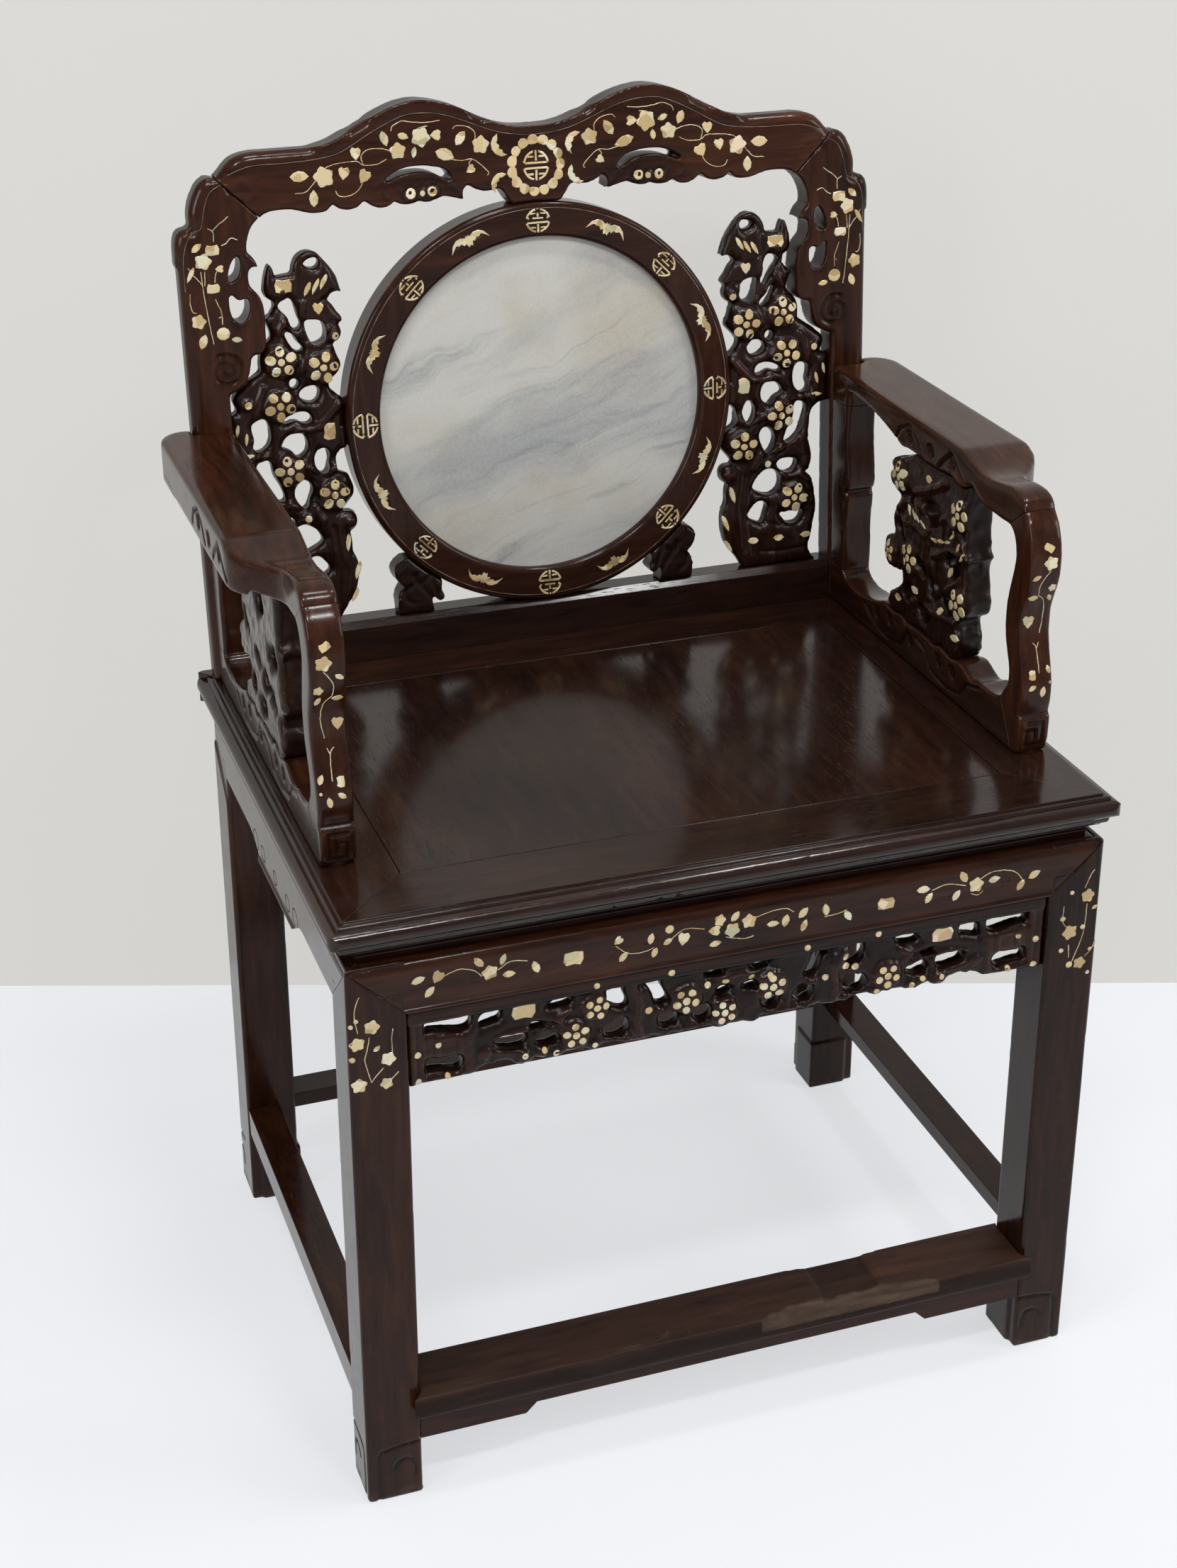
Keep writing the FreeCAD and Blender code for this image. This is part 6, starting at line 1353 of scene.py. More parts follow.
def pressedArm(side, suffix):
    # The whole arm in one mesh, smoothed and with its carved lines.
    values = armPiece
    shape = bmesh.new()
    for part in values["parts"]:
        shape.from_mesh(joinedMesh(part + suffix))
    thing = evened("arm" + suffix, meshOf(shape, "arm" + suffix), values["voxel"])
    mesh, board = thing.data, armFaces[side]
    points = relax(mesh, readPoints(mesh), 3)
    points = relax(mesh, points, values["passes"], weight=armWeights(board.flatten(points)))
    writePoints(mesh, points)
    normals = readNormals(mesh)
    rail, base = armLines(side, "rail"), armLines(side, "base")
    baseFace = sideFace(side * (chair["armInner"] + values["baseOut"]), side)
    railFace = sideFace(side * (chair["armInner"] + values["railOut"]), side)
    groove, foot = (values["grooveWidth"], values["grooveDepth"]), (values["footWidth"], values["footDepth"])
    hollow = np.zeros(len(points))
    for face, lines, (width, depth), reach in (
        (board, rail + base, groove, 6 * mm), (baseFace, base, groove, 8 * mm), (railFace, rail, groove, 14 * mm),
        (postFace, alongShares(side, onPost, values["footLines"]), foot, 20 * mm),
    ):
        points, cut = press(points, normals, face, lines, width, depth, reach)
        hollow = np.maximum(hollow, cut)
    writePoints(mesh, points)
    # Painted shade in the pressed scrolls and hooks.
    writeMark(mesh, "hollow", 0.85 * hollow)
    shape = bmesh.new()
    shape.from_mesh(mesh)
    bpy.data.objects.remove(thing)
    return shape


def closedCopy(source, faces):
    # These faces as a mesh of their own, with what the cuts left open closed again.
    own = bmesh.new()
    layer, old = own.verts.layers.float.new("hollow"), source.verts.layers.float["hollow"]
    copies = {}
    for face in faces:
        for vert in face.verts:
            if vert not in copies:
                copies[vert] = own.verts.new(vert.co)
                copies[vert][layer] = vert[old]
        own.faces.new([copies[vert] for vert in face.verts])
    bmesh.ops.holes_fill(own, edges=[edge for edge in own.edges if edge.is_boundary], sides=0)
    return meshOf(own, "arm")


def buildArm(side, suffix):
    shape = pressedArm(side, suffix)
    partAt(shape, side)
    groups = {}
    for faces in islands(shape):
        middle = sum((face.calc_center_median() for face in faces), Vector()) / len(faces)
        u, v = onArmShares((middle.y, middle.z))
        part = 1 if u < 0.16 else 2 if v < 0.2 else 0 if v > 0.8 else 3
        groups.setdefault(part, []).extend(faces)
    made = {}
    for number, faces in groups.items():
        part = armPiece["parts"][number]
        piece = addPiece(part + suffix + "_carved", closedCopy(shape, faces))
        made[part] = finishPiece(piece, part + suffix, armPiece["finishes"][number])
    shape.free()
    return made


arms = [buildArm(1, "_left"), buildArm(-1, "_right")]
print("arms rounded and parted at their joints:", [sorted(arm) for arm in arms])

# Mother-of-pearl: plates cut from shell and fine stems, laid out flat and then set into the wood.
class Recipe(Graph):
    # A Geometry Nodes tree with named inputs.
    def __init__(self, name, inputs):
        super().__init__(bpy.data.node_groups.new(name, "GeometryNodeTree"))
        face = self.tree.interface
        face.new_socket("Geometry", in_out="INPUT", socket_type="NodeSocketGeometry")
        face.new_socket("Geometry", in_out="OUTPUT", socket_type="NodeSocketGeometry")
        made = {label: face.new_socket(label, in_out="INPUT", socket_type=kind) for label, kind in inputs.items()}
        self.keys = {label: socket.identifier for label, socket in made.items()}
        self.start = self.node("NodeGroupInput")

    def given(self, label):
        return self.start.out(label)

    def field(self, name, kind="FLOAT"):
        return self.node("GeometryNodeInputNamedAttribute", {"data_type": kind}, {"Name": name})

    def vector(self, operation, *terms):
        return self.node("ShaderNodeVectorMath", {"operation": operation}, dict(enumerate(terms)))

    def close(self, geometry, material):
        real = self.node("GeometryNodeRealizeInstances", {}, {"Geometry": geometry})
        done = self.node("GeometryNodeSetMaterial", {}, {"Geometry": real, "Material": material})
        self.node("NodeGroupOutput", {}, {"Geometry": done})

    def run(self, thing, values):
        modifier = thing.modifiers.new(self.tree.name, "NODES")
        modifier.node_group = self.tree
        for label, value in values.items():
            modifier[self.keys[label]] = value
        return settle(thing)


pearlWork = {
    "stemRadius": 0.33 * mm,
    "stemStep": 1.4 * mm,
    "sizeSpread": 0.07,
    "chipping": 0.9 * mm,
    "chipScale": 330.0,
    "plateTop": 0.42 * mm, "plateBevel": 0.38 * mm, "plateRoot": 0.9 * mm,
    "seed": 5,
}


def ring(radius, corners, lobes=0, depth=0.0):
    # A cut outline, in millimetres, round or lobed.
    angles = [2 * math.pi * number / corners for number in range(corners)]
    reach = [radius * (1 - depth * (0.5 - 0.5 * math.cos(lobes * angle))) for angle in angles]
    return [(r * math.cos(angle), r * math.sin(angle)) for r, angle in zip(reach, angles)]


def band(inner, outer, start, end, steps=8):
    angles = [math.radians(start + (end - start) * number / steps) for number in range(steps + 1)]
    far = [(outer * math.cos(angle), outer * math.sin(angle)) for angle in angles]
    return far + [(inner * math.cos(angle), inner * math.sin(angle)) for angle in angles[::-1]]


def bar(left, low, right, high):
    return [(left, low), (right, low), (right, high), (left, high)]


def bat():
    # Thin swept wings that curve down to their tips, head up.
    half = [
        (0, 4.0), (1.3, 5.6), (2.2, 3.8), (6.0, 5.6), (10.5, 5.4), (15.0, 2.2), (18.5, -4.6), (14.6, -0.9),
        (12.0, 0.8), (9.4, -0.6), (7.4, 0.4), (5.0, -2.2), (3.2, -1.0), (1.8, -5.2), (0, -3.8),
    ]
    return half[::-1] + [(-x, y) for x, y in half[1:-1]]


shellCuts = {
    "dot": [ring(3.0, 9)],
    "petal": [ring(4.3, 9, 2, 0.12)],
    "leaf": [[
        (-6.2, 0.2), (-3.6, -2.6), (0.2, -3.3), (3.4, -2.2), (6.0, -0.2), (3.0, 2.7), (-0.4, 3.5), (-3.8, 2.5),
    ]],
    "bloom": [ring(8.0, 20, 5, 0.26)],
    "blade": [[
        (-6.6, -0.4), (-3.0, -1.6), (1.5, -1.9), (5.0, -1.1), (6.6, 0.3), (4.6, 1.4), (0.5, 1.9), (-3.6, 1.2),
    ]],
    "block": [[
        (-5.6, -3.6), (-1.2, -4.4), (5.0, -3.8), (5.8, 1.0), (4.2, 3.9), (-0.6, 3.4), (-4.2, 4.3), (-5.9, 1.2),
    ]],
    "heart": [[
        (-5.2, 0.1), (-1.6, -3.4), (2.2, -4.6), (4.4, -2.6), (3.6, 0.2), (4.8, 2.6), (2.4, 4.5), (-1.4, 3.4),
    ]],
    "bat": [bat()],
    "fret": [
        band(9.0, 10.6, 12, 78), band(9.0, 10.6, 102, 168), band(9.0, 10.6, 192, 258), band(9.0, 10.6, 282, 348),
        bar(-0.8, 3.2, 0.8, 10.4), bar(-0.8, -10.4, 0.8, -3.2), bar(-6.6, 5.4, -2.0, 6.8), bar(2.0, 5.4, 6.6, 6.8),
        bar(-6.6, -6.8, -2.0, -5.4), bar(2.0, -6.8, 6.6, -5.4), bar(-9.0, 1.2, 9.0, 2.6),
        bar(-9.0, -2.6, 9.0, -1.2),
    ],
    "lotus": [[
        (-3.9, -2.8), (-1.6, -3.6), (1.6, -3.6), (3.9, -2.8), (4.4, 1.0), (2.6, 3.4), (0, 4.3), (-2.6, 3.4),
        (-4.4, 1.0),
    ]],
    "wing": [[
        (-9.6, 3.4), (-8.6, -0.8), (-5.2, -4.2), (-0.4, -5.4), (4.8, -4.4), (8.8, -1.0), (9.8, 3.6), (6.6, 1.2),
        (4.0, 1.6), (1.8, -0.4), (-0.6, 0.8), (-3.4, -0.2), (-5.4, 1.8),
    ]],
}


def cutPlate(name, outlines):
    values = pearlWork
    shape = bmesh.new()
    for outline in outlines:
        line = np.array(outline) * mm
        ahead, behind = np.roll(line, -1, axis=0) - line, line - np.roll(line, 1, axis=0)
        ahead /= np.linalg.norm(ahead, axis=1)[:, None]
        behind /= np.linalg.norm(behind, axis=1)[:, None]
        inward = np.column_stack([-(ahead + behind)[:, 1], (ahead + behind)[:, 0]]) * 0.5
        rings = []
        for plan, height in (
            (line, -values["plateRoot"]), (line, 0.4 * values["plateTop"]),
            (line + inward * values["plateBevel"], values["plateTop"]),
        ):
            rings.append([shape.verts.new((x, y, height)) for x, y in plan])
        for low, high in zip(rings[:-1], rings[1:]):
            for one in range(len(line)):
                two = (one + 1) % len(line)
                shape.faces.new((low[one], low[two], high[two], high[one]))
        shape.faces.new(rings[-1])
        shape.faces.new(rings[0][::-1])
    return bpy.data.objects.new(name, meshOf(shape, name))


def inlayRecipe():
    inputs = {"Cuts": "NodeSocketCollection", "Shell": "NodeSocketMaterial", "Seed": "NodeSocketInt"}
    for label in ("Stem radius", "Stem step", "Taper", "Size spread", "Chipping", "Chip scale"):
        inputs[label] = "NodeSocketFloat"
    recipe = Recipe("pearlInlay", inputs)
    kind = recipe.field("cut", "INT")
    size = recipe.field("size")
    spread = recipe.given("Size spread")

    def anySize(shift):
        sockets = {2: 1 - spread, 3: 1 + spread, "Seed": recipe.given("Seed") + shift}
        return size * recipe.node("FunctionNodeRandomValue", {"data_type": "FLOAT"}, sockets, output=1)

    sockets = {"Collection": recipe.given("Cuts"), "Separate Children": True, "Reset Children": True}
    cuts = recipe.node("GeometryNodeCollectionInfo", {}, sockets)
    plates = recipe.node("GeometryNodeInstanceOnPoints", {}, {
        "Points": recipe.given("Geometry"), "Selection": kind.math("GREATER_THAN", kind, -0.5),
        "Instance": cuts, "Pick Instance": True, "Instance Index": kind,
        "Rotation": recipe.node("ShaderNodeCombineXYZ", {}, {"Z": recipe.field("turn")}),
        "Scale": recipe.node("ShaderNodeCombineXYZ", {}, {"X": anySize(0), "Y": anySize(1), "Z": 1.0}),
    })
    plates = recipe.node("GeometryNodeRealizeInstances", {}, {"Geometry": plates})
    line = recipe.node("GeometryNodeMeshToCurve", {}, {"Mesh": recipe.given("Geometry")})
    line = recipe.node("GeometryNodeCurveSplineType", {"spline_type": "CATMULL_ROM"}, {"Curve": line})
    sockets = {"Curve": line, "Length": recipe.given("Stem step")}
    line = recipe.node("GeometryNodeResampleCurve", {"mode": "LENGTH"}, sockets)
    taper = 1 - recipe.given("Taper") * recipe.node("GeometryNodeSplineParameter")
    line = recipe.node("GeometryNodeSetCurveRadius", {}, {"Curve": line, "Radius": size * taper})
    sockets = {"Resolution": 6, "Radius": recipe.given("Stem radius")}
    profile = recipe.node("GeometryNodeCurvePrimitiveCircle", {}, sockets)
    stems = recipe.node("GeometryNodeCurveToMesh", {}, {"Curve": line, "Profile Curve": profile, "Fill Caps": True})
    place = recipe.node("GeometryNodeInputPosition")
    sockets = {"Vector": place, "Scale": recipe.given("Chip scale"), "Detail": 1.0}
    chip = recipe.node("ShaderNodeTexNoise", {"noise_dimensions": "3D"}, sockets, output=1)
    flat = recipe.node("ShaderNodeCombineXYZ", {}, {"X": recipe.given("Chipping"), "Y": recipe.given("Chipping")})
    shift = recipe.vector("MULTIPLY", recipe.vector("SUBTRACT", chip, (0.5, 0.5, 0.5)), flat)
    whole = recipe.node("GeometryNodeJoinGeometry", {}, {"Geometry": [stems, plates]})
    whole = recipe.node("GeometryNodeSetPosition", {}, {"Geometry": whole, "Offset": shift})
    recipe.close(whole, recipe.given("Shell"))
    return recipe


inlayTree = inlayRecipe()
cutBox = bpy.data.collections.new("shellCuts")
cutOrder = {}
for number, (name, outlines) in enumerate(shellCuts.items()):
    cutBox.objects.link(cutPlate("cut{:02d}_{}".format(number, name), outlines))
    cutOrder[name] = number


class Ground:
    # The finished wood under a board, felt for along the board's normal.
    def __init__(self, board, things, reach=45 * mm):
        self.board = board
        self.reach = reach
        self.trees = []
        for thing in things:
            shape = bmesh.new()
            shape.from_mesh(thing.data)
            self.trees.append(BVHTree.FromBMesh(shape))
            shape.free()

    def heights(self, ab):
        starts = self.board.place(np.column_stack([ab, np.full(len(ab), self.reach)]))
        found = np.full(len(ab), np.nan)
        for number, start in enumerate(starts):
            for tree in self.trees:
                far = tree.ray_cast(Vector(start), -self.board.out, 2 * self.reach)[3]
                if far is not None:
                    found[number] = np.nanmax([found[number], self.reach - far])
        return found


class Layout:
    # Plates and stems of one board, before they are cut.
    def __init__(self):
        self.rows = []
        self.edges = []

    def point(self, a, b, cut, size, turn):
        self.rows.append((a, b, cutOrder[cut], size, turn, len(self.rows)))

    def plates(self, place, rows, side=1):
        # Angles are as seen on the sitter's right, and mirrored on the left.
        for cut, u, v, size, *turn in rows:
            angle = turn[0] if turn else 0
            self.point(*place(side, u, v), cut, size, math.radians(180 - angle if side > 0 else angle))

    def flower(self, place, rows, side=1, petals=5, reach=8.9 * mm, cut="petal", scale=1.02):
        for number, (u, v, size) in enumerate(rows):
            a, b = place(side, u, v)
            self.point(a, b, "dot", size * scale, 0)
            for petal in range(petals):
                angle = 2 * math.pi * petal / petals + 0.9 * number + 0.4
                away = reach * size * np.array((math.cos(angle), math.sin(angle)))
                self.point(a + away[0], b + away[1], cut, size * scale, angle)

    def stems(self, place, lines, side=1, thick=1.0):
        for line in lines:
            first = len(self.rows)
            self.rows += [(*place(side, u, v), -1, thick, 0, -1) for u, v in line]
            self.edges += [(first + step, first + step + 1) for step in range(len(line) - 1)]

    def cut(self, name, finish="pearl", taper=0.5, chipping=pearlWork["chipping"]):
        values = pearlWork
        mesh = bpy.data.meshes.new(name)
        mesh.from_pydata([(row[0], row[1], 0) for row in self.rows], self.edges, [])
        for column, label in enumerate(("cut", "size", "turn", "number"), 2):
            mark = mesh.attributes.new(label, "INT" if label in ("cut", "number") else "FLOAT", "POINT")
            mark.data.foreach_set("value", [row[column] for row in self.rows])
        return inlayTree.run(addPiece(name, mesh), {
            "Cuts": cutBox, "Shell": finishes[finish], "Taper": taper, "Chipping": chipping, "Seed": values["seed"],
            "Stem radius": values["stemRadius"], "Stem step": values["stemStep"],
            "Size spread": values["sizeSpread"], "Chip scale": values["chipScale"],
        })


def drape(thing, ground, level, sink=0.0):
    # Sets the flat work on the wood. A level plate lies on a plane of its own; the others follow what is below them.
    mesh = thing.data
    flat = readPoints(mesh)
    numbers = np.zeros(len(flat), np.int32)
    mesh.attributes["number"].data.foreach_get("value", numbers)
    lift = ground.heights(flat[:, :2])
    known = np.isfinite(lift)
    lost = np.zeros(len(flat), bool)
    for number in np.unique(numbers):
        own = np.nonzero(numbers == number)[0]
        seen, sure = lift[own], known[own]
        if not sure.any():
            lost[own] = True
            continue
        if number < 0:
            lift[own] = np.where(sure, seen, np.median(seen[sure]))
            continue
        middle = np.median(seen[sure])
        seen = np.where(sure & (np.abs(seen - middle) < 3 * mm), seen, middle)
        if level:
            grid = np.column_stack([flat[own, :2], np.ones(len(own))])
            plane = grid @ np.linalg.lstsq(grid, seen, rcond=None)[0]
            seen = plane + np.percentile(seen - plane, 70)
        lift[own] = seen
    flat[:, 2] += lift - sink
    flat[lost, 2] = 0
    writePoints(mesh, ground.board.place(flat))
    if lost.any():
        shape = bmesh.new()
        shape.from_mesh(mesh)
        shape.verts.ensure_lookup_table()
        bmesh.ops.delete(shape, geom=[shape.verts[one] for one in np.nonzero(lost)[0]], context="VERTS")
        shape.to_mesh(mesh)
        shape.free()
    for label in ("cut", "size", "turn", "number"):
        mesh.attributes.remove(mesh.attributes[label])


def laid(name, parts, reach=45 * mm, **look):
    # parts are (layout, board, things, level, sink); they are cut, laid on their wood and joined to one piece.
    shape = bmesh.new()
    for number, (layout, board, things, level, sink) in enumerate(parts):
        piece = layout.cut("{}_{}".format(name, number), **look)
        drape(piece, Ground(board, things, reach), level, sink)
        shape.from_mesh(piece.data)
        bpy.data.objects.remove(piece)
    return addPiece(name, meshOf(shape, name))


def setInlay(name, node, parts):
    # The piece stands for a CAD node. A level plate lies on a plane of its own.
    whole = laid(name, [(*part, 0.0) for part in parts])
    paint(whole, "pearl")
    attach(whole, "root")
    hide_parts(node)


def layLines(name, finish, parts, reach):
    whole = laid(name, [(layout, board, things, False, sink) for layout, board, things, sink in parts], reach,
                 finish=finish, taper=0.0, chipping=0.0)
    paint(whole, finish)
    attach(whole, "root")


def mirrored(place, values, flowers=None, **shape):
    # The same work on both sides of the chair; flowers gives each side its own rows.
    layout = Layout()
    for side in (-1, 1):
        if flowers:
            layout.flower(place, flowers[side], side, **shape)
        layout.plates(place, values["plates"], side)
        layout.stems(place, values.get("stems", []), side)
        layout.stems(place, values.get("branch", []), side, values.get("branchThick", 1.0))
    return layout


crestPearl = {
    "plates": [
        ("leaf", 0.345, 0.42, 1.25, 0), ("bloom", 0.41, 0.40, 1.05, -40), ("leaf", 0.38, 0.23, 1.1, 90),
        ("heart", 0.465, 0.42, 1.0, 80), ("heart", 0.52, 0.38, 1.15, 60), ("heart", 0.50, 0.575, 1.0, 90),
        ("leaf", 0.58, 0.68, 1.0, -70), ("bloom", 0.615, 0.57, 0.9, 20), ("leaf", 0.632, 0.69, 0.75, -20),
        ("leaf", 0.66, 0.55, 0.7, 80), ("bloom", 0.68, 0.67, 1.05, -10), ("heart", 0.722, 0.68, 0.95, 0),
        ("leaf", 0.745, 0.51, 1.35, -20), ("leaf", 0.79, 0.64, 1.15, 55), ("bloom", 0.845, 0.57, 0.9, 10),
        ("heart", 0.815, 0.37, 0.8, 30), ("wing", 0.895, 0.545, 1.0, -65), ("wing", 0.89, 0.25, 0.9, -125),
        ("dot", 0.645, 0.205, 1.4, 0), ("dot", 0.677, 0.20, 0.8, 0), ("dot", 0.705, 0.21, 1.33, 0),
    ],
    "stems": [
        [(0.33, 0.28), (0.36, 0.29), (0.375, 0.33), (0.40, 0.42)],
        [(0.40, 0.42), (0.42, 0.48), (0.455, 0.505), (0.50, 0.51), (0.515, 0.48), (0.53, 0.47),
        (0.56, 0.475), (0.583, 0.51)],
        [(0.52, 0.47), (0.515, 0.55), (0.535, 0.60), (0.57, 0.60), (0.60, 0.57)],
        [(0.44, 0.28), (0.45, 0.23), (0.48, 0.23), (0.505, 0.28), (0.52, 0.36)],
        [(0.60, 0.74), (0.605, 0.78), (0.63, 0.815), (0.66, 0.80), (0.70, 0.79), (0.735, 0.80)],
        [(0.66, 0.72), (0.68, 0.75), (0.70, 0.76)],
        [(0.77, 0.72), (0.78, 0.745), (0.81, 0.73), (0.83, 0.68), (0.83, 0.62)],
        [(0.76, 0.47), (0.79, 0.45), (0.82, 0.455), (0.845, 0.40), (0.865, 0.33), (0.86, 0.31)],
        [(0.82, 0.455), (0.81, 0.42), (0.82, 0.40)],
    ],
    "medallion": (1.0, 0.36, 1.12), "petals": 15, "petalReach": 20.5 * mm, "petalSize": 0.98,
}


def crestInlay():
    values = crestPearl
    layout = mirrored(onCrest, values)
    u, v, size = values["medallion"]
    layout.plates(onCrest, [("fret", u, v, size, 0)])
    a, b = onCrest(1, u, v)
    for number in range(values["petals"]):
        angle = 2 * math.pi * number / values["petals"]
        place = (a + values["petalReach"] * math.cos(angle), b + values["petalReach"] * math.sin(angle))
        layout.plates(asGiven, [("lotus", *place, values["petalSize"], 270 - math.degrees(angle))])
    setInlay("crest_pearl", "crest_inlay", [(layout, backFace, [crest, *stiles], False)])


stilePearl = {
    "plates": [
        ("block", 0.64, 0.665, 0.95), ("bloom", 0.74, 0.62, 0.85), ("block", 0.66, 0.505, 0.9),
        ("bloom", 0.83, 0.37, 0.75),
        ("dot", 0.60, 0.31, 1.8), ("leaf", 0.79, 0.68, 0.8, 40), ("blade", 0.87, 0.57, 1.0, 60),
        ("heart", 0.585, 0.585, 0.7),
        ("leaf", 0.80, 0.285, 0.95, 70), ("leaf", 0.47, 0.28, 0.7, -10),
    ],
    "stems": [
        [(0.64, 0.53), (0.63, 0.56), (0.60, 0.585)],
        [(0.65, 0.46), (0.62, 0.425), (0.60, 0.40), (0.60, 0.35)],
        [(0.63, 0.38), (0.615, 0.38), (0.60, 0.385)],
        [(0.89, 0.49), (0.895, 0.44), (0.87, 0.41), (0.84, 0.41)],
        [(0.62, 0.70), (0.62, 0.74), (0.67, 0.755)],
        [(0.62, 0.745), (0.56, 0.77), (0.52, 0.78), (0.46, 0.80)],
        [(0.55, 0.68), (0.50, 0.69), (0.45, 0.71), (0.39, 0.70)],
        [(0.74, 0.52), (0.735, 0.55), (0.73, 0.58)],
        [(0.76, 0.52), (0.80, 0.545), (0.85, 0.57), (0.89, 0.60)],
    ],
    "branch": [[(0.70, 0.27), (0.72, 0.33), (0.75, 0.45), (0.76, 0.50), (0.77, 0.58)]],
    "branchThick": 2.0,
}


ringPearl = {"reach": 153.6 * mm, "count": 8, "fretSize": 0.98, "batSize": 0.92}


def ringInlay():
    values = ringPearl
    layout = Layout()
    for number in range(2 * values["count"]):
        angle = math.pi * number / values["count"]
        centre = (values["reach"] * math.cos(angle), chair["ringCentre"] + values["reach"] * math.sin(angle))
        kind, size = ("bat", values["batSize"]) if number % 2 else ("fret", values["fretSize"])
        layout.plates(asGiven, [(kind, *centre, size, 180 - math.degrees(angle) + 90)])
    setInlay("ring_pearl", "ring_inlay", [(layout, backFace, [nodes[part] for part in ringParts], False)])


panelPearl = {
    "flowers": [(u, v, 1) for u, v in carvedPanel["blossoms"]],
    "plates": [
        ("blade", 0.26, 0.92, 1.0, 60), ("blade", 0.32, 0.91, 1.0, 60), ("blade", 0.38, 0.905, 1.0, 60),
        ("block", 0.55, 0.918, 1.2, 0), ("heart", 0.31, 0.853, 1.0, 90), ("dot", 0.20, 0.778, 1.0),
        ("dot", 0.87, 0.62, 1.0),
        ("dot", 0.49, 0.30, 1.0), ("block", 0.29, 0.53, 1.2, 90), ("blade", 0.90, 0.53, 0.8, 80),
        ("blade", 0.96, 0.555, 0.8, 80),
        ("blade", 0.90, 0.485, 0.8, 10), ("blade", 0.20, 0.22, 1.2, 80), ("blade", 0.14, 0.14, 1.2, 70),
        ("blade", 0.17, 0.07, 1.0, 60), ("leaf", 0.37, 0.08, 0.9, 0), ("leaf", 0.585, 0.08, 0.9, 0),
        ("leaf", 0.82, 0.08, 0.9, 0),
    ],
}


splatPearl = {
    "flowers": [(0.32, 0.78, 1), (0.85, 0.765, 1), (0.285, 0.285, 1), (0.73, 0.34, 1), (0.91, 0.30, 0.75)],
    "plates": [
        ("blade", 0.28, 0.56, 0.8, 60), ("blade", 0.31, 0.60, 0.8, 60), ("blade", 0.36, 0.66, 0.8, 45),
        ("blade", 0.38, 0.63, 0.8, 40),
        ("blade", 0.42, 0.58, 0.8, 20), ("blade", 0.475, 0.56, 0.8, 10), ("blade", 0.53, 0.54, 0.8, 0),
        ("blade", 0.64, 0.58, 0.8, -20),
        ("blade", 0.69, 0.595, 0.8, -30), ("blade", 0.72, 0.60, 0.8, -40), ("blade", 0.765, 0.61, 0.8, -50),
        ("leaf", 0.61, 0.855, 0.9, 0), ("leaf", 0.39, 0.42, 0.9, 60), ("leaf", 0.43, 0.175, 0.9, 20),
        ("leaf", 0.31, 0.075, 0.9, 0),
        ("leaf", 0.67, 0.175, 0.9, -20), ("leaf", 0.82, 0.055, 0.9, 0),
    ],
}


def splatInlay():
    parts = []
    for side, splat in splats.items():
        layout = Layout()
        layout.flower(onSplat, splatPearl["flowers"])
        layout.plates(onSplat, splatPearl["plates"])
        parts.append((layout, armFaces[side], [splat], True))
    setInlay("splat_pearl", "splat_inlay", parts)


friezePearl = {
    "reach": 7.3 * mm, "scale": 0.98,
    "plates": [
        ("dot", 0.565, 0.87, 0.85), ("dot", 0.79, 0.86, 0.85), ("block", 0.35, 0.70, 1.5, 180),
        ("dot", 0.04, 0.42, 0.85),
        ("dot", 0.04, 0.09, 0.9), ("dot", 0.10, 0.50, 0.75), ("dot", 0.125, 0.09, 0.75),
        ("dot", 0.35, 0.17, 0.75),
        ("dot", 0.41, 0.18, 0.75), ("dot", 0.445, 0.12, 0.9), ("dot", 0.56, 0.13, 0.8),
        ("dot", 0.725, 0.42, 0.95),
        ("dot", 0.905, 0.60, 0.85), ("dot", 0.96, 0.61, 0.85),
    ],
}


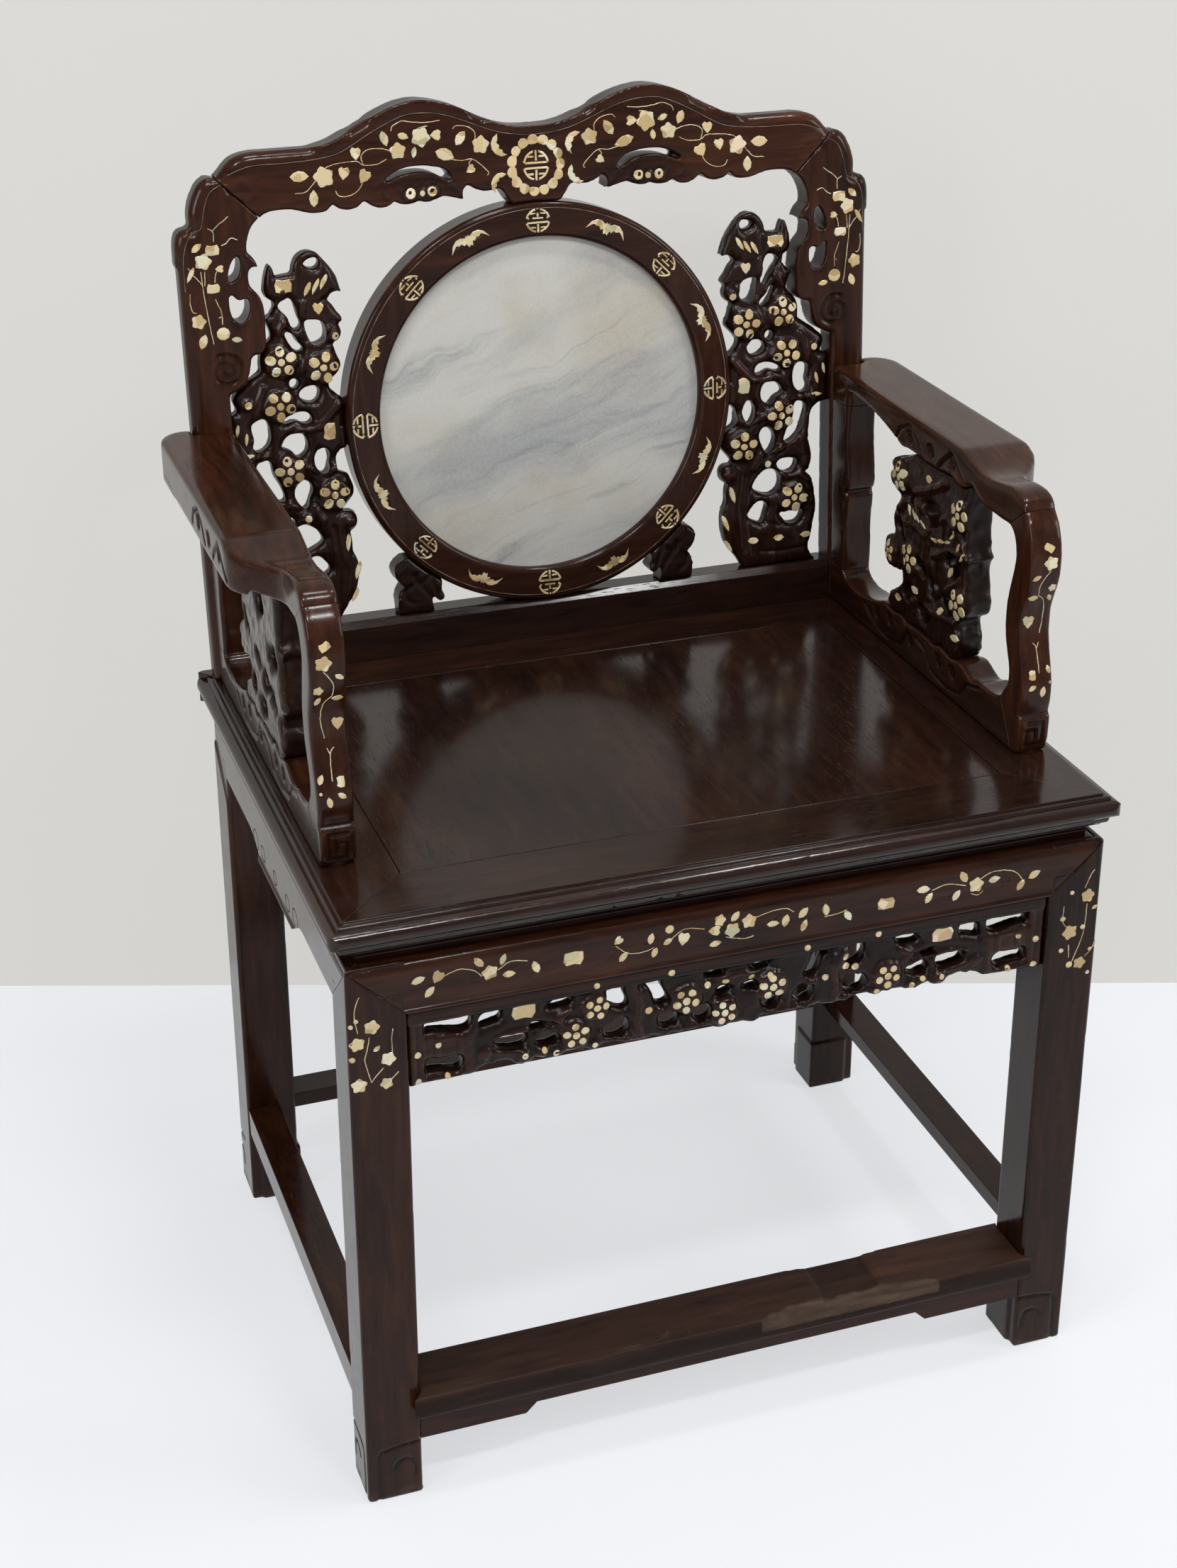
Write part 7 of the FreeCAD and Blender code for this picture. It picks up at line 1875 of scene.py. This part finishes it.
# Plates and stems measured in millimetres across and up the front.
apronPearl = {
    "plates": [
        ("leaf", -244, 458, 0.85, 20), ("heart", -230, 458, 1.0, 60), ("leaf", -236, 447, 0.85, 50),
        ("leaf", -200, 464, 0.8, 130),
        ("bloom", -192, 454, 0.8, 30), ("leaf", -182, 463, 0.75, 70), ("leaf", -178, 450, 0.8, 0),
        ("leaf", -158, 452, 0.9, 110),
        ("block", -130, 453, 1.25, 180), ("heart", -96, 461, 0.75, 40), ("leaf", -92, 447, 0.8, 50),
        ("leaf", -71, 458, 0.8, 80),
        ("leaf", -68, 446, 0.7, 70), ("leaf", -58, 453, 0.7, 30), ("dot", -57, 463, 1.1),
        ("heart", -46, 453, 1.1, 80),
        ("bloom", -18, 463, 0.6, 0), ("leaf", -6, 464, 0.8, 50), ("bloom", 5, 458, 0.75, 20),
        ("heart", -22, 455, 1.0, 0),
        ("bloom", -8, 453, 0.8, 50), ("leaf", -21, 444, 0.8, 10), ("leaf", 24, 452, 0.8, 0),
        ("leaf", 34, 453, 0.9, 80),
        ("leaf", 48, 457, 0.9, 50), ("leaf", 49, 446, 0.8, 70), ("leaf", 66, 456, 0.85, 100),
        ("leaf", 84, 448, 0.85, 120),
        ("block", 115, 452, 1.2, 0), ("leaf", 145, 458, 0.9, 0), ("leaf", 150, 450, 0.85, 60),
        ("leaf", 178, 463, 0.85, 120),
        ("bloom", 189, 454, 0.85, 10), ("leaf", 204, 456, 0.85, 10), ("leaf", 173, 448, 0.85, 60),
        ("leaf", 227, 447, 0.8, 60),
        ("leaf", 238, 454, 0.85, 30),
    ],
    "stems": [
        [(-225, 458), (-214, 461), (-204, 458), (-198, 452)],
        [(-186, 455), (-176, 460), (-164, 458)],
        [(-98, 457), (-88, 449), (-76, 448), (-69, 450)],
        [(-56, 454), (-45, 461), (-30, 458)],
        [(10, 460), (23, 463), (34, 463), (40, 459)],
        [(-13, 448), (1, 444), (9, 445)],
        [(65, 450), (77, 451), (83, 453)],
        [(152, 456), (165, 459), (180, 455)],
        [(191, 458), (203, 463), (220, 460), (229, 450)],
        [(185, 447), (191, 445), (195, 448)],
    ],
}
legPearl = {
    "left": {
        "plates": [
            ("bloom", 286, 427, 0.75, 10), ("bloom", 273, 397, 0.8, 40),
            ("bloom", 284, 368, 0.7, 0),
            ("dot", 272, 432, 0.6), ("dot", 266, 410, 0.8), ("leaf", 293, 416, 0.45, 30),
            ("dot", 284, 400, 0.7),
            ("dot", 267, 382, 0.7), ("dot", 275, 368, 0.9), ("dot", 292, 358, 0.6), ("dot", 292, 379, 0.55),
        ],
        "stems": [
            [(277, 370), (284, 390), (286, 407), (286, 420)], [(290, 449), (287, 445), (283, 434)],
            [(266, 421), (266, 408), (270, 402)], [(273, 386), (274, 375)],
            [(296, 385), (293, 378), (288, 373)],
        ],
    },
    "right": {
        "plates": [
            ("bloom", -279, 427, 0.75, 0), ("bloom", -290, 415, 0.75, 30), ("bloom", -268, 399, 0.75, 60),
            ("bloom", -290, 381, 0.75, 15),
            ("bloom", -270, 379, 0.65, 45), ("dot", -294, 403, 0.7), ("leaf", -276, 409, 0.55, 40),
            ("dot", -294, 430, 0.6),
            ("dot", -290, 434, 0.6),
        ],
        "stems": [
            [(-281, 382), (-284, 395), (-285, 402), (-283, 409), (-281, 419)],
            [(-287, 453), (-290, 445), (-291, 436), (-289, 424)],
            [(-264, 423), (-265, 414), (-265, 403)], [(-281, 382), (-277, 387), (-272, 392)],
            [(-268, 380), (-265, 383), (-261, 387)],
        ],
    },
}


def apronInlay():
    layout = Layout()
    layout.plates(onFront, apronPearl["plates"], -1)
    layout.stems(onFront, apronPearl["stems"])
    setInlay("apron_pearl", "apron_inlay", [(layout, frontFace, [nodes["apron_front"]], False)])
    layout = Layout()
    for values in legPearl.values():
        layout.plates(onFront, values["plates"], -1)
        layout.stems(onFront, values["stems"], thick=1.5)
    setInlay("leg_pearl", "leg_inlay", [(layout, frontFace, [legs[1, -1], legs[-1, -1]], False)])


# Millimetres in from the post's inner face, and above the seat.
postPearl = {
    "plates": [
        ("block", 15, 170, 0.7, 30), ("bloom", 17, 158, 0.75, 0), ("leaf", 6, 147, 0.6, 150),
        ("bloom", 21, 137, 0.45, 0),
        ("leaf", 7, 129, 0.7, 0), ("leaf", 21, 128, 0.6, 60), ("heart", 7, 108, 1.0, 90),
        ("block", 9, 67, 0.7, 90),
        ("leaf", 23, 70, 0.6, 70), ("leaf", 9, 57, 0.6, 150), ("leaf", 18, 53, 0.7, 100),
        ("dot", 24, 60, 0.4),
    ],
    "stems": [
        [(17, 152), (12, 145), (10, 139), (11, 131)], [(11, 131), (17, 125), (19, 112), (17, 98)],
        [(11, 91), (14, 86), (15, 68)], [(16, 91), (14, 86)],
    ],
}


# Dark lines of wax and dirt in the joints, in millimetres: half the seat board's width, its front edge and its rear
# edge, how far the front mitres run out, and where the aprons' mitres start and end.
jointLines = {
    "thick": 3.6, "sink": 0.95 * mm, "apronThick": 1.6, "apronSink": 0.32 * mm, "reach": 8 * mm,
    "panel": (244.3, -184.8, 153.3), "mitre": 60.0,
    "apron": [(294.2, 471.6), (253.6, 432.6)], "sideApron": [(239.2, 471.6), (199.0, 432.6)],
}


def buildJointLines():
    values = jointLines
    half, front, rear = values["panel"]
    out = values["mitre"]
    rails = [nodes["seat_rail_" + part] for part in ("front", "rear", "left", "right")] + [nodes["seat_panel"]]
    frontParts = [legs[1, -1], legs[-1, -1], nodes["apron_front"]]
    seat, apron = Layout(), Layout()
    seat.stems(onSeat, [[(-half, front), (half, front)], [(-half, rear), (half, rear)]], thick=values["thick"])
    parts = [(seat, seatFace, rails, values["sink"]), (apron, frontFace, frontParts, values["apronSink"])]
    for side in (-1, 1):
        sideLine, mitre = [(half, front), (half, rear)], [(half, front), (half + out, front - out)]
        seat.stems(onSeat, [sideLine, mitre], side, values["thick"])
        apron.stems(onSeat, [values["apron"]], side, values["apronThick"])
    for side, name in ((1, "apron_left"), (-1, "apron_right")):
        sideApron = Layout()
        sideApron.stems(onSeat, [values["sideApron"]], -1, values["apronThick"])
        things = [legs[side, -1], legs[side, 1], nodes[name]]
        parts.append((sideApron, sideFace(side * chair["sideApron"], side), things, values["apronSink"]))
    layLines("joint_lines", "joint", parts, values["reach"])


# A pale line laid along the bead round the crest, the stiles and the ring: a painted highlight where the bead's edge
# catches the light.
beadHighlights = {"thick": 1.25, "sink": 0.22 * mm, "ringRadius": 163.6 * mm, "ringSteps": 96, "reach": 45 * mm}


def buildBeadHighlights():
    values = beadHighlights
    bead, circle = Layout(), Layout()
    for side in (-1, 1):
        bead.stems(onCrest, [crestPiece["line"]], side, values["thick"])
        bead.stems(onStile, [stilePiece["line"]], side, values["thick"])
    turns = [2 * math.pi * step / values["ringSteps"] for step in range(values["ringSteps"] + 1)]
    circle.stems(onRing, [[(math.cos(turn), math.sin(turn)) for turn in turns]], 1, values["thick"])
    layLines("edge_lines", "edge", [
        (bead, backFace, [crest, *stiles], values["sink"]),
        (circle, backFace, [nodes[part] for part in ringParts], values["sink"]),
    ], values["reach"])


buildJointLines()
buildBeadHighlights()
print("joint and edge lines laid in")

crestInlay()
setInlay("stile_pearl", "stile_inlay", [(mirrored(onStile, stilePearl), backFace, [crest, *stiles], False)])
ringInlay()
flowers = dict.fromkeys((-1, 1), panelPearl["flowers"])
setInlay("carved_pearl", "carved_inlay", [(mirrored(onPanel, panelPearl, flowers), panelFace, panels, True)])
splatInlay()
look = {"reach": friezePearl["reach"], "cut": "dot", "scale": friezePearl["scale"]}
friezeLayout = mirrored(onFrieze, friezePearl, friezePiece["blossoms"], **look)
setInlay("frieze_pearl", "frieze_inlay", [(friezeLayout, frontFace, [frieze], True)])
apronInlay()
posts = [arm["arm_post_front"] for arm in arms]
setInlay("post_pearl", "post_inlay", [(mirrored(onPost, postPearl), postFace, posts, False)])
for thing in list(cutBox.objects):
    bpy.data.objects.remove(thing)
bpy.data.collections.remove(cutBox)
print("pearl set in")
